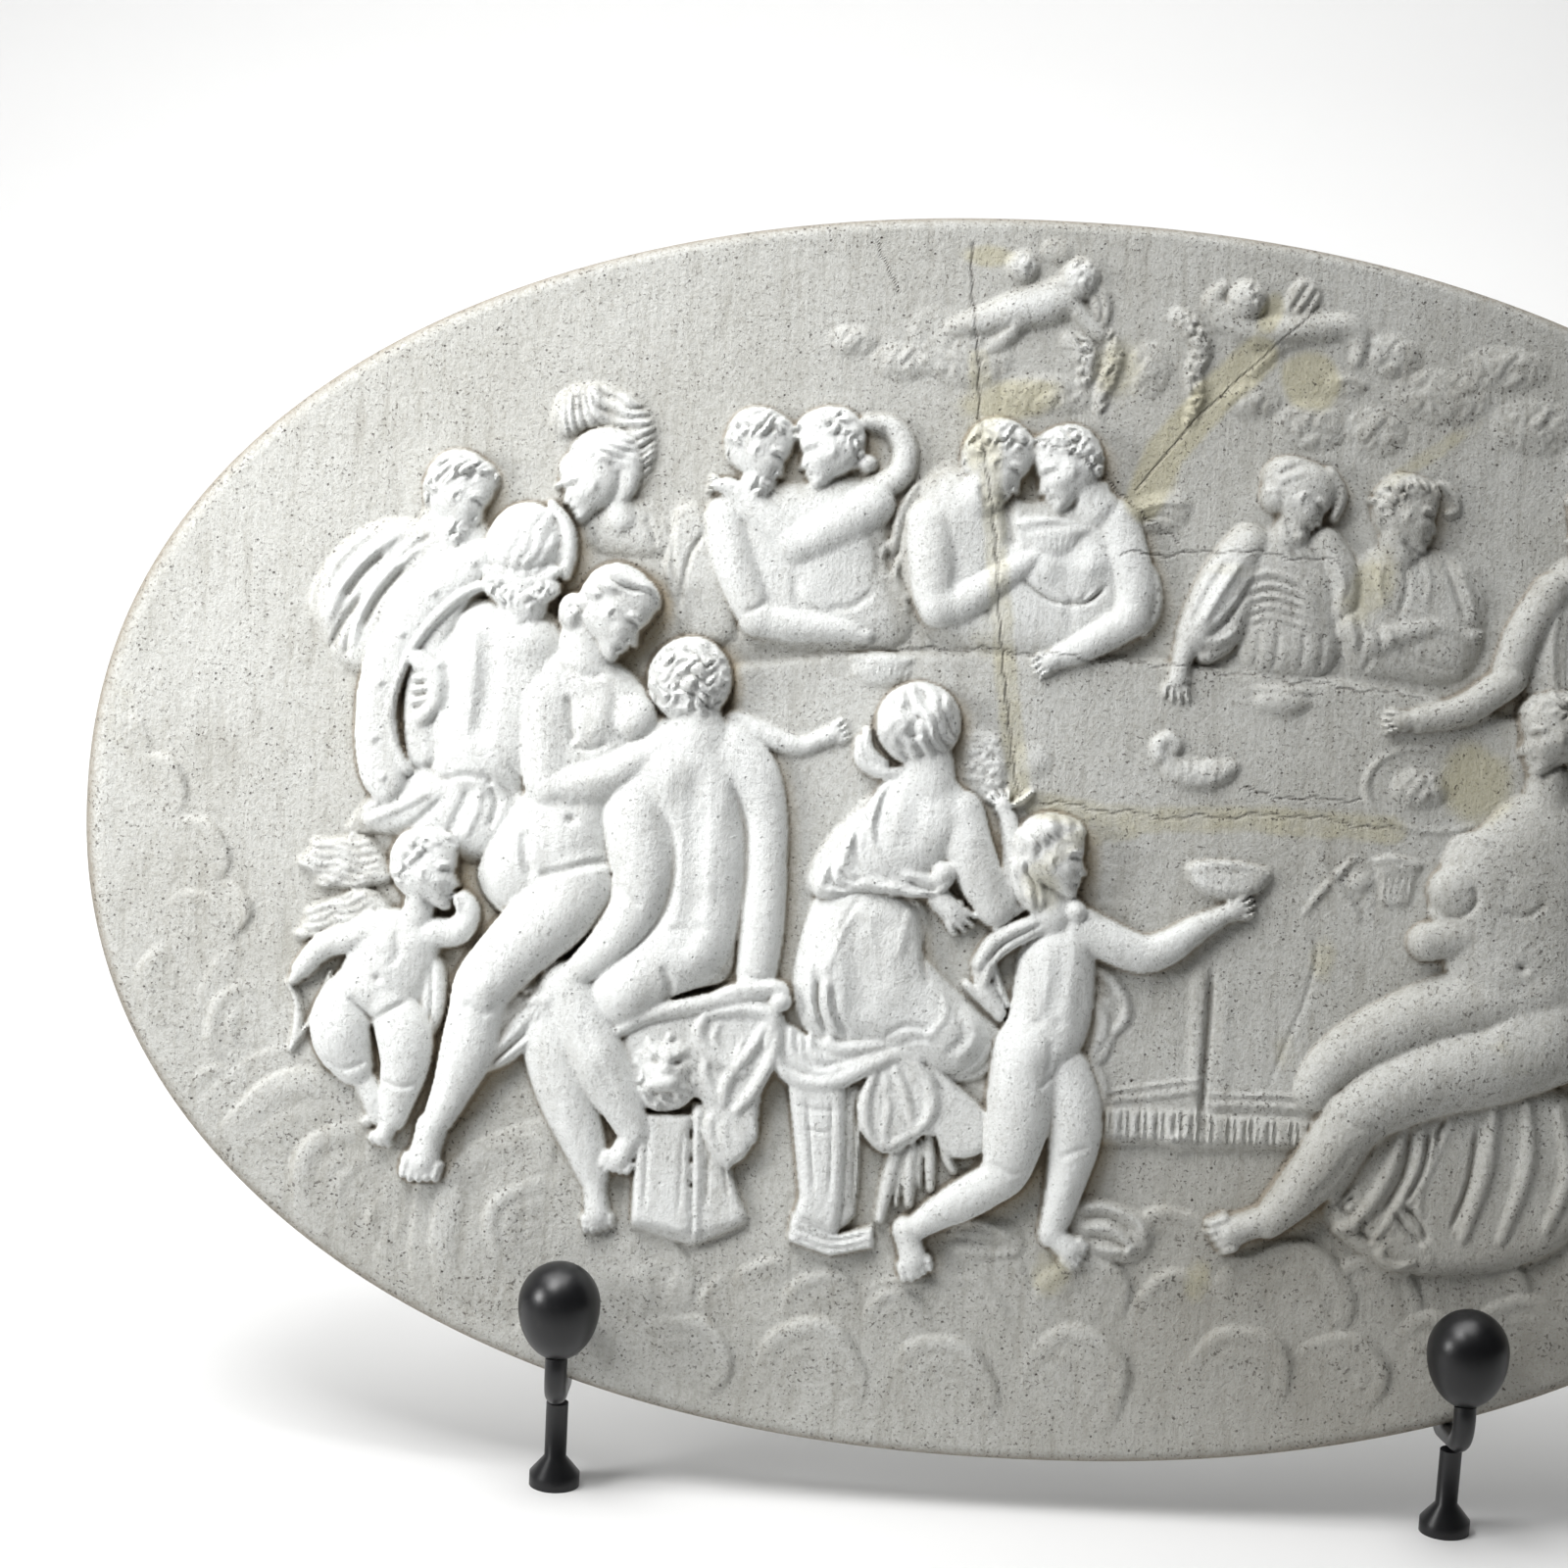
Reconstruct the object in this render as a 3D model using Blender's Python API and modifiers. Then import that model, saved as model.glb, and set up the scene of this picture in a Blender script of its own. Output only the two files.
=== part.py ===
"""An oval plaster plaque with a feast in relief, leaning back on a black rod stand.

X runs to the right, Y away from the viewer and Z up. The origin is on the table, under the middle
of the whole object's box.
"""
import math
import bmesh
import bpy
import numpy as np
from mathutils import Vector

# Plaque, in metres
PLAQUE_LENGTH = 0.600
PLAQUE_HEIGHT = 0.3916
OUTLINE_POWER = 2.153
BASE_THICKNESS = 0.018
RELIEF_DEPTH = 0.018
EDGE_ROUNDING = 0.004
BACK_CHAMFER = 0.005

# Stand, in metres and degrees
LEAN = 12.0
TABLE_CLEARANCE = 0.014
ROD_DIAMETER = 0.007
ARM_SPACING = 0.2826
BEND_RADIUS = 0.010
TOP_BEND_RADIUS = 0.022
BACKREST_HEIGHT = 0.215
REAR_REACH = 0.075
FOOT_DIAMETER = 0.016
LOW_BAR_RISE = 0.040
HIGH_BAR_RISE = 0.150
FINIAL_DIAMETER = 0.0257
FINIAL_UPPER = 0.0133
FINIAL_LOWER = 0.0175
FINIAL_CENTRE_RISE = 0.0253
FINIAL_STANDOFF = 0.0055
CLEARANCE = 0.0003

# Mesh fineness
CLAY_STEP = 1.2
FACE_COLUMNS = 360
FACE_ROWS = 236
FACE_TRIANGLES = 7260

# The relief is drawn in millimetres on a plaque of this size, and scaled to the real one.
DRAWN_LENGTH = 600.0
DRAWN_HEIGHT = 391.6
DRAWN_DEPTH = 18.0

# Clay: the level of empty places in mm, plain heads and hair from the side in parts of their height,
# and how soft the rolls and the grooves between the forms are
NOTHING = -99.0
FACE_OUTLINE = ((0.02, 0.5), (0.2, 0.46), (0.31, 0.36), (0.35, 0.22), (0.352, 0.1), (0.34, 0.045),
                (0.38, -0.04), (0.43, -0.115), (0.41, -0.15), (0.362, -0.165), (0.362, -0.19),
                (0.384, -0.222), (0.358, -0.246), (0.372, -0.275), (0.338, -0.318), (0.352, -0.37),
                (0.33, -0.43), (0.26, -0.47), (0.14, -0.43), (0.02, -0.35), (-0.1, -0.34), (-0.22, -0.3),
                (-0.36, -0.14), (-0.44, 0.06), (-0.43, 0.24), (-0.32, 0.4), (-0.15, 0.48))
HAIR_OUTLINE = ((0.03, 0.54), (0.22, 0.5), (0.34, 0.38), (0.31, 0.3), (0.2, 0.26), (0.12, 0.14),
                (0.07, 0.04), (-0.04, 0.07), (-0.08, -0.1), (-0.12, -0.26), (-0.26, -0.32),
                (-0.42, -0.16), (-0.49, 0.06), (-0.48, 0.26), (-0.36, 0.44), (-0.17, 0.53))
BEARD_OUTLINE = ((0.02, -0.06), (0.1, -0.14), (0.2, -0.19), (0.36, -0.19), (0.4, -0.26), (0.41, -0.36),
                 (0.36, -0.5), (0.24, -0.6), (0.1, -0.54), (0.0, -0.38), (-0.03, -0.2))
SOFTER = 0.18
ROLL_BLUR = 0.9
GROOVE = 0.45


def through(points, pieces=5):
    """A smooth path through rows of numbers."""
    rows = np.array(points, float)
    if len(rows) == 1:
        rows = np.vstack([rows, rows + 1e-6])
    ends = np.vstack([2 * rows[0] - rows[1], rows, 2 * rows[-1] - rows[-2]])
    t = (np.arange(pieces) / pieces)[:, None]
    path = []
    for a, b, c, d in zip(ends, ends[1:], ends[2:], ends[3:]):
        path.append(0.5 * (2 * b + (c - a) * t + (2 * a - 5 * b + 4 * c - d) * t ** 2
                           + (3 * b - 3 * c + d - a) * t ** 3))
    path.append(rows[-1:])
    return np.vstack(path)


def ring(points, pieces=5):
    """A smooth closed outline through the points."""
    rows = np.array(points, float)
    n = len(rows)
    t = (np.arange(pieces) / pieces)[:, None]
    path = []
    for i in range(n):
        a, b, c, d = (rows[(i + k) % n] for k in (-1, 0, 1, 2))
        path.append(0.5 * (2 * b + (c - a) * t + (2 * a - 5 * b + 4 * c - d) * t ** 2
                           + (3 * b - 3 * c + d - a) * t ** 3))
    return np.vstack(path)


def ease(t):
    t = np.clip(t, 0, 1)
    return t * t * (3 - 2 * t)


def soften(field, cells):
    """Blurs a field by three box passes along each axis."""
    r = int(round(cells))
    if r < 1:
        return field
    for axis in (0, 1):
        n = field.shape[axis]
        for _ in range(3):
            low = np.repeat(np.take(field, [0], axis), r + 1, axis)
            high = np.repeat(np.take(field, [-1], axis), r, axis)
            total = np.cumsum(np.concatenate([low, field, high], axis), axis)
            a = np.take(total, np.arange(n) + 2 * r + 1, axis)
            field = (a - np.take(total, np.arange(n), axis)) / (2 * r + 1)
    return field


def turned(yaw, pitch, roll):
    """Rotation with y towards the viewer: yaw turns the face to the right, pitch nods it down,
    roll leans it to the right."""
    a, b, c = math.radians(yaw), math.radians(pitch), math.radians(roll)
    nod = np.array([[1, 0, 0], [0, math.cos(b), math.sin(b)], [0, -math.sin(b), math.cos(b)]])
    spin = np.array([[math.cos(a), math.sin(a), 0], [-math.sin(a), math.cos(a), 0], [0, 0, 1]])
    lean = np.array([[math.cos(c), 0, math.sin(c)], [0, 1, 0], [-math.sin(c), 0, math.cos(c)]])
    return lean @ spin @ nod


class Clay:
    """The face of the plaque as a height over each point of a grid, built up from back to front."""

    def __init__(self, half_wide, half_high, step):
        self.step = step
        across = np.arange(-half_wide, half_wide + step / 2, step)
        up = np.arange(-half_high, half_high + step / 2, step)
        self.left, self.low = across[0], up[0]
        self.x, self.z = np.meshgrid(across, up)
        self.height = np.zeros_like(self.x)
        self.form = np.full_like(self.x, NOTHING)

    def window(self, points, margin):
        low = points[:, :2].min(0) - margin
        high = points[:, :2].max(0) + margin
        rows, cols = self.x.shape
        c0 = max(0, int((low[0] - self.left) / self.step))
        c1 = min(cols, int((high[0] - self.left) / self.step) + 2)
        r0 = max(0, int((low[1] - self.low) / self.step))
        r1 = min(rows, int((high[1] - self.low) / self.step) + 2)
        return slice(r0, r1), slice(c0, max(c1, c0))

    def add(self, where, new, join):
        old = self.form[where]
        t = np.clip(0.5 + 0.5 * (old - new) / join, 0, 1)
        blend = new + (old - new) * t + join * t * (1 - t)
        self.form[where] = np.where(old <= NOTHING, new, np.where(new <= NOTHING, old, blend))

    def nearest(self, path, where):
        """For each point of the window: how deep it lies inside the roll, from 1 on its axis to 0 at
        its edge, and the radius and level there, and the place along it."""
        x, z = self.x[where], self.z[where]
        deep = np.full(x.shape, -1e9)
        place, radius, level = (np.zeros(x.shape) for _ in range(3))
        last = len(path) - 1
        for i in range(last):
            ax, az, ar, ay = path[i]
            bx, bz, br, by = path[i + 1]
            dx, dz = bx - ax, bz - az
            t = np.clip(((x - ax) * dx + (z - az) * dz) / max(dx * dx + dz * dz, 1e-9), 0, 1)
            r = ar + (br - ar) * t
            inside = 1 - ((x - ax - t * dx) ** 2 + (z - az - t * dz) ** 2) / (r * r)
            better = inside > deep
            deep = np.where(better, inside, deep)
            place = np.where(better, (i + t) / last, place)
            radius = np.where(better, r, radius)
            level = np.where(better, ay + (by - ay) * t, level)
        return deep, radius, level, place

    def roll(self, points, y=0.0, thick=0.7, join=1.0, power=0.5, pieces=6):
        """A rounded roll along (x, z, radius) or (x, z, radius, level)."""
        rows = [tuple(p) if len(p) > 3 else tuple(p) + (y,) for p in points]
        path = through(rows, pieces)
        path[:, 2] = np.maximum(path[:, 2], 0.3)
        where = self.window(path, path[:, 2].max() + 1)
        deep, radius, level, _ = self.nearest(path, where)
        blur = ROLL_BLUR / self.step
        deep, radius, level = soften(np.clip(deep, -1, 1), blur), soften(radius, blur), soften(level,
                blur)
        new = level + thick * radius * np.clip(deep, 0, 1) ** (power + SOFTER)
        self.add(where, np.where(deep > 0, new, NOTHING), join)

    def strand(self, points, radius, y=0.0, thick=0.8, join=0.5, tip=0.5):
        """A roll of cloth that thins towards both ends."""
        last = len(points) - 1
        self.roll([(p[0], p[1],
                    radius * (tip + (1 - tip) * math.sin(math.pi * (0.12 + 0.76 * i / last)))) for i,
                   p in enumerate(points)], y, thick, join)

    def pad(self, points, y=0.0, high=3.0, soft=6.0, join=1.0, power=0.6, smooth=True):
        """A cushion inside an outline: level at its edge, rounded over the soft width."""
        outline = ring(points) if smooth else np.array(points, float)
        where = self.window(outline, soft + 2)
        x, z = self.x[where], self.z[where]
        inside = np.zeros(x.shape, bool)
        for (ax, az), (bx, bz) in zip(outline, np.roll(outline, -1, 0)):
            if az != bz:
                hit = (az > z) != (bz > z)
                inside ^= hit & (x < (bx - ax) * (z - az) / (bz - az) + ax)
        pillow = np.clip(2 * soften(inside.astype(float), soft / self.step / 2.2) - 1, 0, 1)
        self.add(where, np.where(inside, y + high * pillow ** power, NOTHING), join)

    def egg(self, centre, radii, y=0.0, turn=None, join=1.0, flat=1.0):
        """An ellipsoid at (x, z) and level y, with radii (across, deep, up)."""
        turn = np.eye(3) if turn is None else turn
        m = turn @ np.diag([1 / r ** 2 for r in radii]) @ turn.T
        reach = max(radii)
        where = self.window(np.array([centre]), reach + 1)
        dx, dz = self.x[where] - centre[0], self.z[where] - centre[1]
        half = m[0, 1] * dx + m[2, 1] * dz
        rest = m[0, 0] * dx ** 2 + 2 * m[0, 2] * dx * dz + m[2, 2] * dz ** 2 - 1
        under_root = half ** 2 - m[1, 1] * rest
        top = (-half + math.sqrt(m[1, 1]) * np.clip(under_root / m[1, 1], 0, 1) ** (0.5 + SOFTER)) / m[1,
                1]
        self.add(where, np.where(under_root > 0, y + flat * top, NOTHING), join)

    def swell(self, x, z, wide, high, rise, turn=0.0):
        """Raises, or with a minus sign sinks, a soft oval place of the form in hand."""
        where = self.window(np.array([[x, z]]), 2.4 * max(wide, high))
        c, s = math.cos(math.radians(turn)), math.sin(math.radians(turn))
        u = ((self.x[where] - x) * c + (self.z[where] - z) * s) / wide
        v = (-(self.x[where] - x) * s + (self.z[where] - z) * c) / high
        self.form[where] += rise * np.exp(-(u * u + v * v)) * (self.form[where] > NOTHING / 2)

    def line(self, points, wide, rise, power=1.0, ends=0.15, pieces=5):
        """A ridge, or with a minus sign a groove, that thins out at its ends."""
        path = through([(p[0], p[1], p[2] if len(p) > 2 else wide, 0) for p in points], pieces)
        path[:, 2] = np.maximum(path[:, 2], 0.2)
        where = self.window(path, path[:, 2].max() + 1)
        deep, _, _, place = self.nearest(path, where)
        fade = ease(np.minimum(place, 1 - place) * 5 + ends)
        self.form[where] += rise * np.clip(deep, 0, 1) ** power * fade * (self.form[where] > NOTHING / 2)

    def folds(self, first, last, count, wide, rise, sharp=1.5):
        """Ridges spread between two edges of a cloth."""
        a, b = (through([(p[0], p[1]) for p in first], 4), through([(p[0], p[1]) for p in last], 4))
        n = max(len(a), len(b))
        place = np.linspace(0, 1, n)
        a = np.array([np.interp(place, np.linspace(0, 1, len(a)), a[:, k]) for k in (0, 1)]).T
        b = np.array([np.interp(place, np.linspace(0, 1, len(b)), b[:, k]) for k in (0, 1)]).T
        for i in range(count):
            t = (i + 0.5 + 0.22 * math.sin(i * 2.3 + count)) / count
            path = (a + (b - a) * t)[::2]
            width = wide * (0.8 + 0.45 * math.sin(i * 1.7 + 0.4) ** 2)
            self.line(path, width, rise * (0.75 + 0.35 * math.sin(i * 2.9) ** 2), power=sharp, pieces=2)
            t = (i + 1.0) / count
            self.line((a + (b - a) * t)[::2], 0.5 * wide, -0.5 * rise, power=1, pieces=2)

    def crest(self, x, z, radius, facing, sweep, rise):
        """A curling puff of cloud: a disc tilted up towards one side, steep and lipped there."""
        where = self.window(np.array([[x, z]]), radius + 6)
        dx, dz = self.x[where] - x, self.z[where] - z
        turn = np.angle(np.exp(1j * (np.arctan2(dz, dx) - math.radians(facing))))
        far = np.hypot(dx, dz)
        past = far - radius * (1 + 0.07 * np.sin(2 * turn + x) + 0.03 * np.sin(5 * turn + z))
        slope = np.clip(0.5 + 0.5 * far * np.cos(turn) / radius, 0, 1) ** (260 / sweep)
        lip = 0.3 * np.exp(-((past + 0.14 * radius) / (0.1 * radius + 0.8)) ** 2)
        curl = 0.25 * np.exp(-((past + 0.5 * radius) / (0.12 * radius + 0.6)) ** 2)
        self.add(where, rise * slope * (np.where(past > 0, np.exp(-(past / 1.4) ** 2), 1) + lip + curl)
                 - 0.9, 0.5)

    def settle(self, groove=0.6, reach=1.5, join=0.5):
        """Sets the finished form down on what lies behind it, with a narrow groove round it."""
        there = self.form > NOTHING / 2
        rows, cols = np.where(there.any(1))[0], np.where(there.any(0))[0]
        if not len(rows):
            return
        pad = int(reach / self.step * 3) + 2
        where = (slice(max(rows[0] - pad, 0), rows[-1] + pad),
                 slice(max(cols[0] - pad, 0), cols[-1] + pad))
        mask = there[where].astype(float)
        near = soften(mask, reach / self.step / 1.5)
        brink = soften(np.where(there[where], self.form[where], 0),
                       reach / self.step / 1.5) / np.maximum(near, 0.001)
        step_up = np.clip((brink - self.height[where]) / 3, 0, 1)
        ground = self.height[where] - GROOVE * groove * np.clip(near * 2, 0, 1) * step_up
        if join:
            t = np.clip(0.5 + 0.5 * (ground - self.form[where]) / join, 0, 1)
            both = self.form[where] + (ground - self.form[where]) * t + join * t * (1 - t)
            self.height[where] = np.where(mask > 0, both, ground)
        else:
            self.height[where] = np.where(mask > 0, self.form[where], ground)
        self.form[where] = NOTHING

    def profile(self, x, z, size, y, way, nod=0.0, beard=False, high=0.3, cap=True):
        """A calm, plain head seen from the side, looking right for way 1 and left for -1. Its lengths
        are parts of the size, from crown to chin."""
        a = math.radians(nod)

        def at(u, v):
            return x + way * size * (u * math.cos(a) + v * math.sin(a)), z + size * (v * math.cos(a) - u
                    * math.sin(a))

        def shape(points, level, rise, soft, join=0.05):
            self.pad([at(u, v) for u, v in points], y + level * size, rise * size, soft * size,
                     join * size, power=0.55)

        def mark(points, wide, rise):
            self.line([at(u, v) for u, v in points], wide * size, 1.6 * rise * size, pieces=3)

        def bump(u, v, wide, tall, rise):
            self.swell(*at(u, v), wide * size, tall * size, 1.5 * rise * size, -way * nod)
        shape(FACE_OUTLINE, 0, 0.62 * high, 0.13)
        bump(-0.05, 0.05, 0.36, 0.4, 0.33 * high)
        if beard:
            shape(BEARD_OUTLINE, 0.05, high * 0.8, 0.2, 0.02)
        if cap:
            shape(HAIR_OUTLINE, 0.07, high * 0.9, 0.28, 0.02)
        return at

    def hand(self, x, z, angle, size, y):
        """A closed hand from the wrist at x, z, pointing along the angle."""
        a = math.radians(angle)
        tip = (x + size * math.cos(a), z + size * math.sin(a))
        self.roll([(x, z, 0.22 * size), ((x + tip[0]) / 2, (z + tip[1]) / 2, 0.27 * size),
                   (*tip, 0.15 * size)], y)

    def foot(self, ax, az, tx, tz, size, y):
        """A foot from the ankle to the tips of its toes."""
        far = math.hypot(tx - ax, tz - az)
        ux, uz = (tx - ax) / far, (tz - az) / far
        bx, bz = tx - 0.3 * size * ux, tz - 0.3 * size * uz
        self.roll([(ax, az, 0.26 * size), ((ax + bx) / 2, (az + bz) / 2, 0.24 * size),
                   (bx, bz, 0.27 * size)], y, 0.8)


def clouds(c):
    """Banks of cloud along the lower edge and the left end, with curling edges."""
    crests = [(-150, -130, 16, 165, 220, 1.7), (-150, -129, 24, 190, 90, 0.9),
              (-151, -128, 32, 168, 170, 1.8), (-152, -129, 40, 165, 100, 1.4),
              (-155, -109, 8, 50, 150, 1.2), (-146, -124, 16, 40, 110, 1.0),
              (-205, -123, 23, 160, 190, 1.8), (-203, -124, 13, 165, 190, 1.4),
              (-197, -131, 7, 175, 150, 1.1), (-190, -132, 5, 180, 120, 0.9),
              (-224, -124, 36, 100, 120, 1.6), (-222, -122, 28, 108, 110, 1.3),
              (-228, -122, 44, 125, 60, 1.0), (-232, -104, 12, 100, 130, 1.0),
              (-246, -71, 12, 175, 190, 1.3), (-245, -71, 6, 180, 200, 1.1),
              (-240, -66, 22, 150, 80, 0.9), (-262, -60, 17, 190, 130, 1.2),
              (-264, -46, 14, 50, 110, 1.2), (-256, -36, 9, 10, 170, 1.3), (-268, -20, 13, 35, 120, 1.3),
              (-281, 0, 12, 40, 120, 1.3), (-290, 14, 10, 50, 120, 1.1), (-262, -84, 14, 200, 140, 1.0),
              (-254, -97, 11, 120, 120, 0.9), (-172, -151, 10, 190, 160, 1.1),
              (-187, -141, 12, 200, 120, 0.9), (-127, -148, 14, 15, 130, 1.1),
              (-124, -149, 22, 25, 110, 1.2), (-108, -152, 14, 100, 130, 1.1),
              (-96, -149, 12, 165, 150, 1.3), (-88, -150, 9, 170, 150, 1.1),
              (-78, -147, 10, 100, 150, 1.2), (-60, -153, 13, 95, 160, 1.5),
              (-60, -154, 7, 95, 150, 1.0), (-36, -157, 12, 90, 150, 1.3), (-35, -160, 20, 80, 90, 1.1),
              (-14, -150, 12, 60, 140, 1.2), (-18, -146, 7, 150, 150, 0.9), (-4, -142, 9, 70, 130, 1.0),
              (22, -144, 14, 80, 210, 2.0), (22, -145, 8, 90, 150, 0.9), (50, -127, 13, 90, 180, 1.6),
              (50, -128, 7, 90, 150, 0.9), (52, -149, 14, 100, 150, 1.3), (85, -143, 21, 75, 190, 2.0),
              (85, -144, 14, 70, 160, 1.3), (84, -145, 7, 70, 150, 0.9), (102, -128, 12, 35, 110, 1.1),
              (72, -128, 8, 140, 110, 0.9)]
    for i, (x, z, r) in enumerate(((114, -142, 16), (141, -138, 20), (169, -127, 18), (196, -111, 20),
                                   (223, -93, 18), (244, -70, 17), (262, -45, 15), (275, -17, 12),
                                   (283, 10, 10), (72, -166, 16), (104, -164, 14), (132, -160, 16),
                                   (162, -150, 15), (192, -136, 16), (220, -118, 14), (243, -98, 13),
                                   (-62, -174, 18), (-20, -174, 16), (20, -172, 18), (-104, -170, 15),
                                   (-140, -168, 14))):
        crests += [(x, z, r, 78 - 12 * (i % 4), 190, 1.7), (x + 1, z - 1, 0.6 * r, 70, 160, 1.1)]
    for x, z, radius, facing, sweep, rise in sorted(crests, key=lambda crest: -crest[2]):
        c.crest(x, z, radius, facing, sweep, 1.5 * rise)
    c.settle(groove=0, join=0.8)
    for i, (x, z, wide, high) in enumerate(((-30, 150, 15, 9), (-50, 148, 10, 6), (-4, 140, 14, 7),
                                            (80, 135, 12, 8), (100, 134, 10, 8), (28, 150, 7, 9),
                                            (120, 146, 16, 9), (150, 138, 14, 9), (60, 142, 10, 6),
                                            (104, 158, 10, 7), (140, 156, 14, 7), (-66, 154, 8, 5),
                                            (174, 128, 14, 8))):
        c.egg((x, z), (wide, 4, high), -1.7, flat=0.72, join=3)
    c.settle(groove=0.0, join=3)


def old_man(c):
    """Bearded man in a cloak at the left end, behind the shield."""
    c.pad([(-192, 92), (-200, 90.5), (-208, 91), (-217, 87), (-225, 80), (-231, 70), (-233.5, 61),
           (-229, 54), (-223, 44), (-215, 40), (-196, 46), (-176, 70), (-176, 88)], 0.2, 3.6, 9,
          power=0.7)
    c.settle(0.4)
    c.roll([(-190, 90, 9), (-184, 84, 9)], 0.6, 0.5, 3)
    c.settle(0.2, join=2)
    c.profile(-187, 98.5, 26, 1.6, 1, 30, beard=True, high=0.25)
    c.settle(join=0.8)


def plumed_man(c):
    """Man in a plumed helmet, looking down to the left."""
    c.pad([(-150, 92), (-145, 83.5), (-132, 82.5), (-119, 83), (-119, 90), (-125, 97), (-132, 101),
           (-141, 103)], 0.0, 2.6, 8)
    c.settle(0.3, join=0.8)
    c.pad([(-159, 119), (-159, 130), (-153, 135.5), (-142, 136.5), (-133, 133), (-127, 125), (-126, 114),
           (-129.5, 101), (-133, 110), (-134, 120), (-140, 122), (-148, 122), (-153, 119)], 0.2, 3.0, 5)
    c.settle(0.4)
    c.roll([(-138, 101, 4.6), (-136, 94, 6)], 0.8, 0.6, 2)
    c.settle(0.2)
    c.profile(-146, 104.4, 24, 1.4, -1, 22, high=0.24, cap=False)
    c.settle()
    c.egg((-142, 114), (11.4, 8, 8.6), 2.0, turned(0, 0, -10), flat=0.6)
    c.roll([(-134.5, 112, 4.5), (-134.5, 105, 3.8), (-137, 100, 2.4)], 2.8, 0.6)
    c.roll([(-133, 111, 1.4), (-141, 109, 1.6), (-149, 106.6, 1.6), (-157, 103, 0.9)], 4.6, 0.8,
           join=0.4)
    c.settle(0.4)


def lovers(c):
    """Embracing couple behind the table's left end."""
    c.pad([(-118, 101), (-110, 99), (-103, 88), (-99, 72), (-98, 58), (-108, 55), (-117, 62),
           (-120, 82)], 0.2, 2.4, 6)
    c.settle(0.4)
    c.pad([(-64, 114), (-57, 110), (-51.5, 100), (-52, 91), (-53, 83), (-48, 76), (-42, 67), (-36, 59.5),
           (-50, 57), (-92, 57), (-98, 68), (-104, 86), (-104, 98), (-96, 108), (-80, 108)], 0.6, 4.4,
          14, power=0.6)
    c.swell(-66, 98, 9, 8, 1.4)
    c.swell(-72, 80, 8, 9, 0.9)
    c.settle(0.5)
    c.roll([(-103, 97, 6.5, 1.8), (-100.5, 85, 6.6, 3.4), (-95, 72, 6.4, 3.6), (-91, 64.5, 5.6, 3.6)], 0,
           0.62, join=2)
    c.roll([(-92, 64.5, 5.4), (-80, 63.5, 5.6), (-66, 63, 4.4), (-57, 61.5, 3.0)], 3.4, 0.62, join=1.5)
    c.settle(0.5)
    c.roll([(-94, 108, 5), (-96, 100, 6)], 2.5, 0.6)
    c.profile(-93.5, 117.5, 25, 1.8, 1, 28, beard=True, high=0.24)
    c.settle()
    c.roll([(-58, 107, 4.6, 0.6), (-49.5, 112, 4.4, 1.6), (-47.5, 120, 4.2, 1.8), (-52, 127, 3.8, 1.6),
            (-60, 128.5, 2.8, 1.6)], 0, 0.66)
    c.settle(0.4)
    c.profile(-71.5, 119, 25, 2.2, -1, 18, high=0.25)
    c.egg((-59.5, 115.5), (3.4, 3, 3), 2.4)
    c.settle()
    c.roll([(-57, 103, 7.5, 2.2), (-66, 96.5, 7.4, 3.4), (-75, 91, 7, 4.2), (-81, 88.5, 5.8, 4.4)], 0,
           0.6, join=3)
    c.roll([(-80, 88, 6.0), (-90, 96, 5.2), (-99, 103.5, 3.8), (-103, 106, 3.2)], 4.2, 0.6, join=2)
    c.settle(0.5, join=1.2)
    c.hand(-101, 105, 165, 10, 4.8)
    c.settle(0.3)


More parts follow.
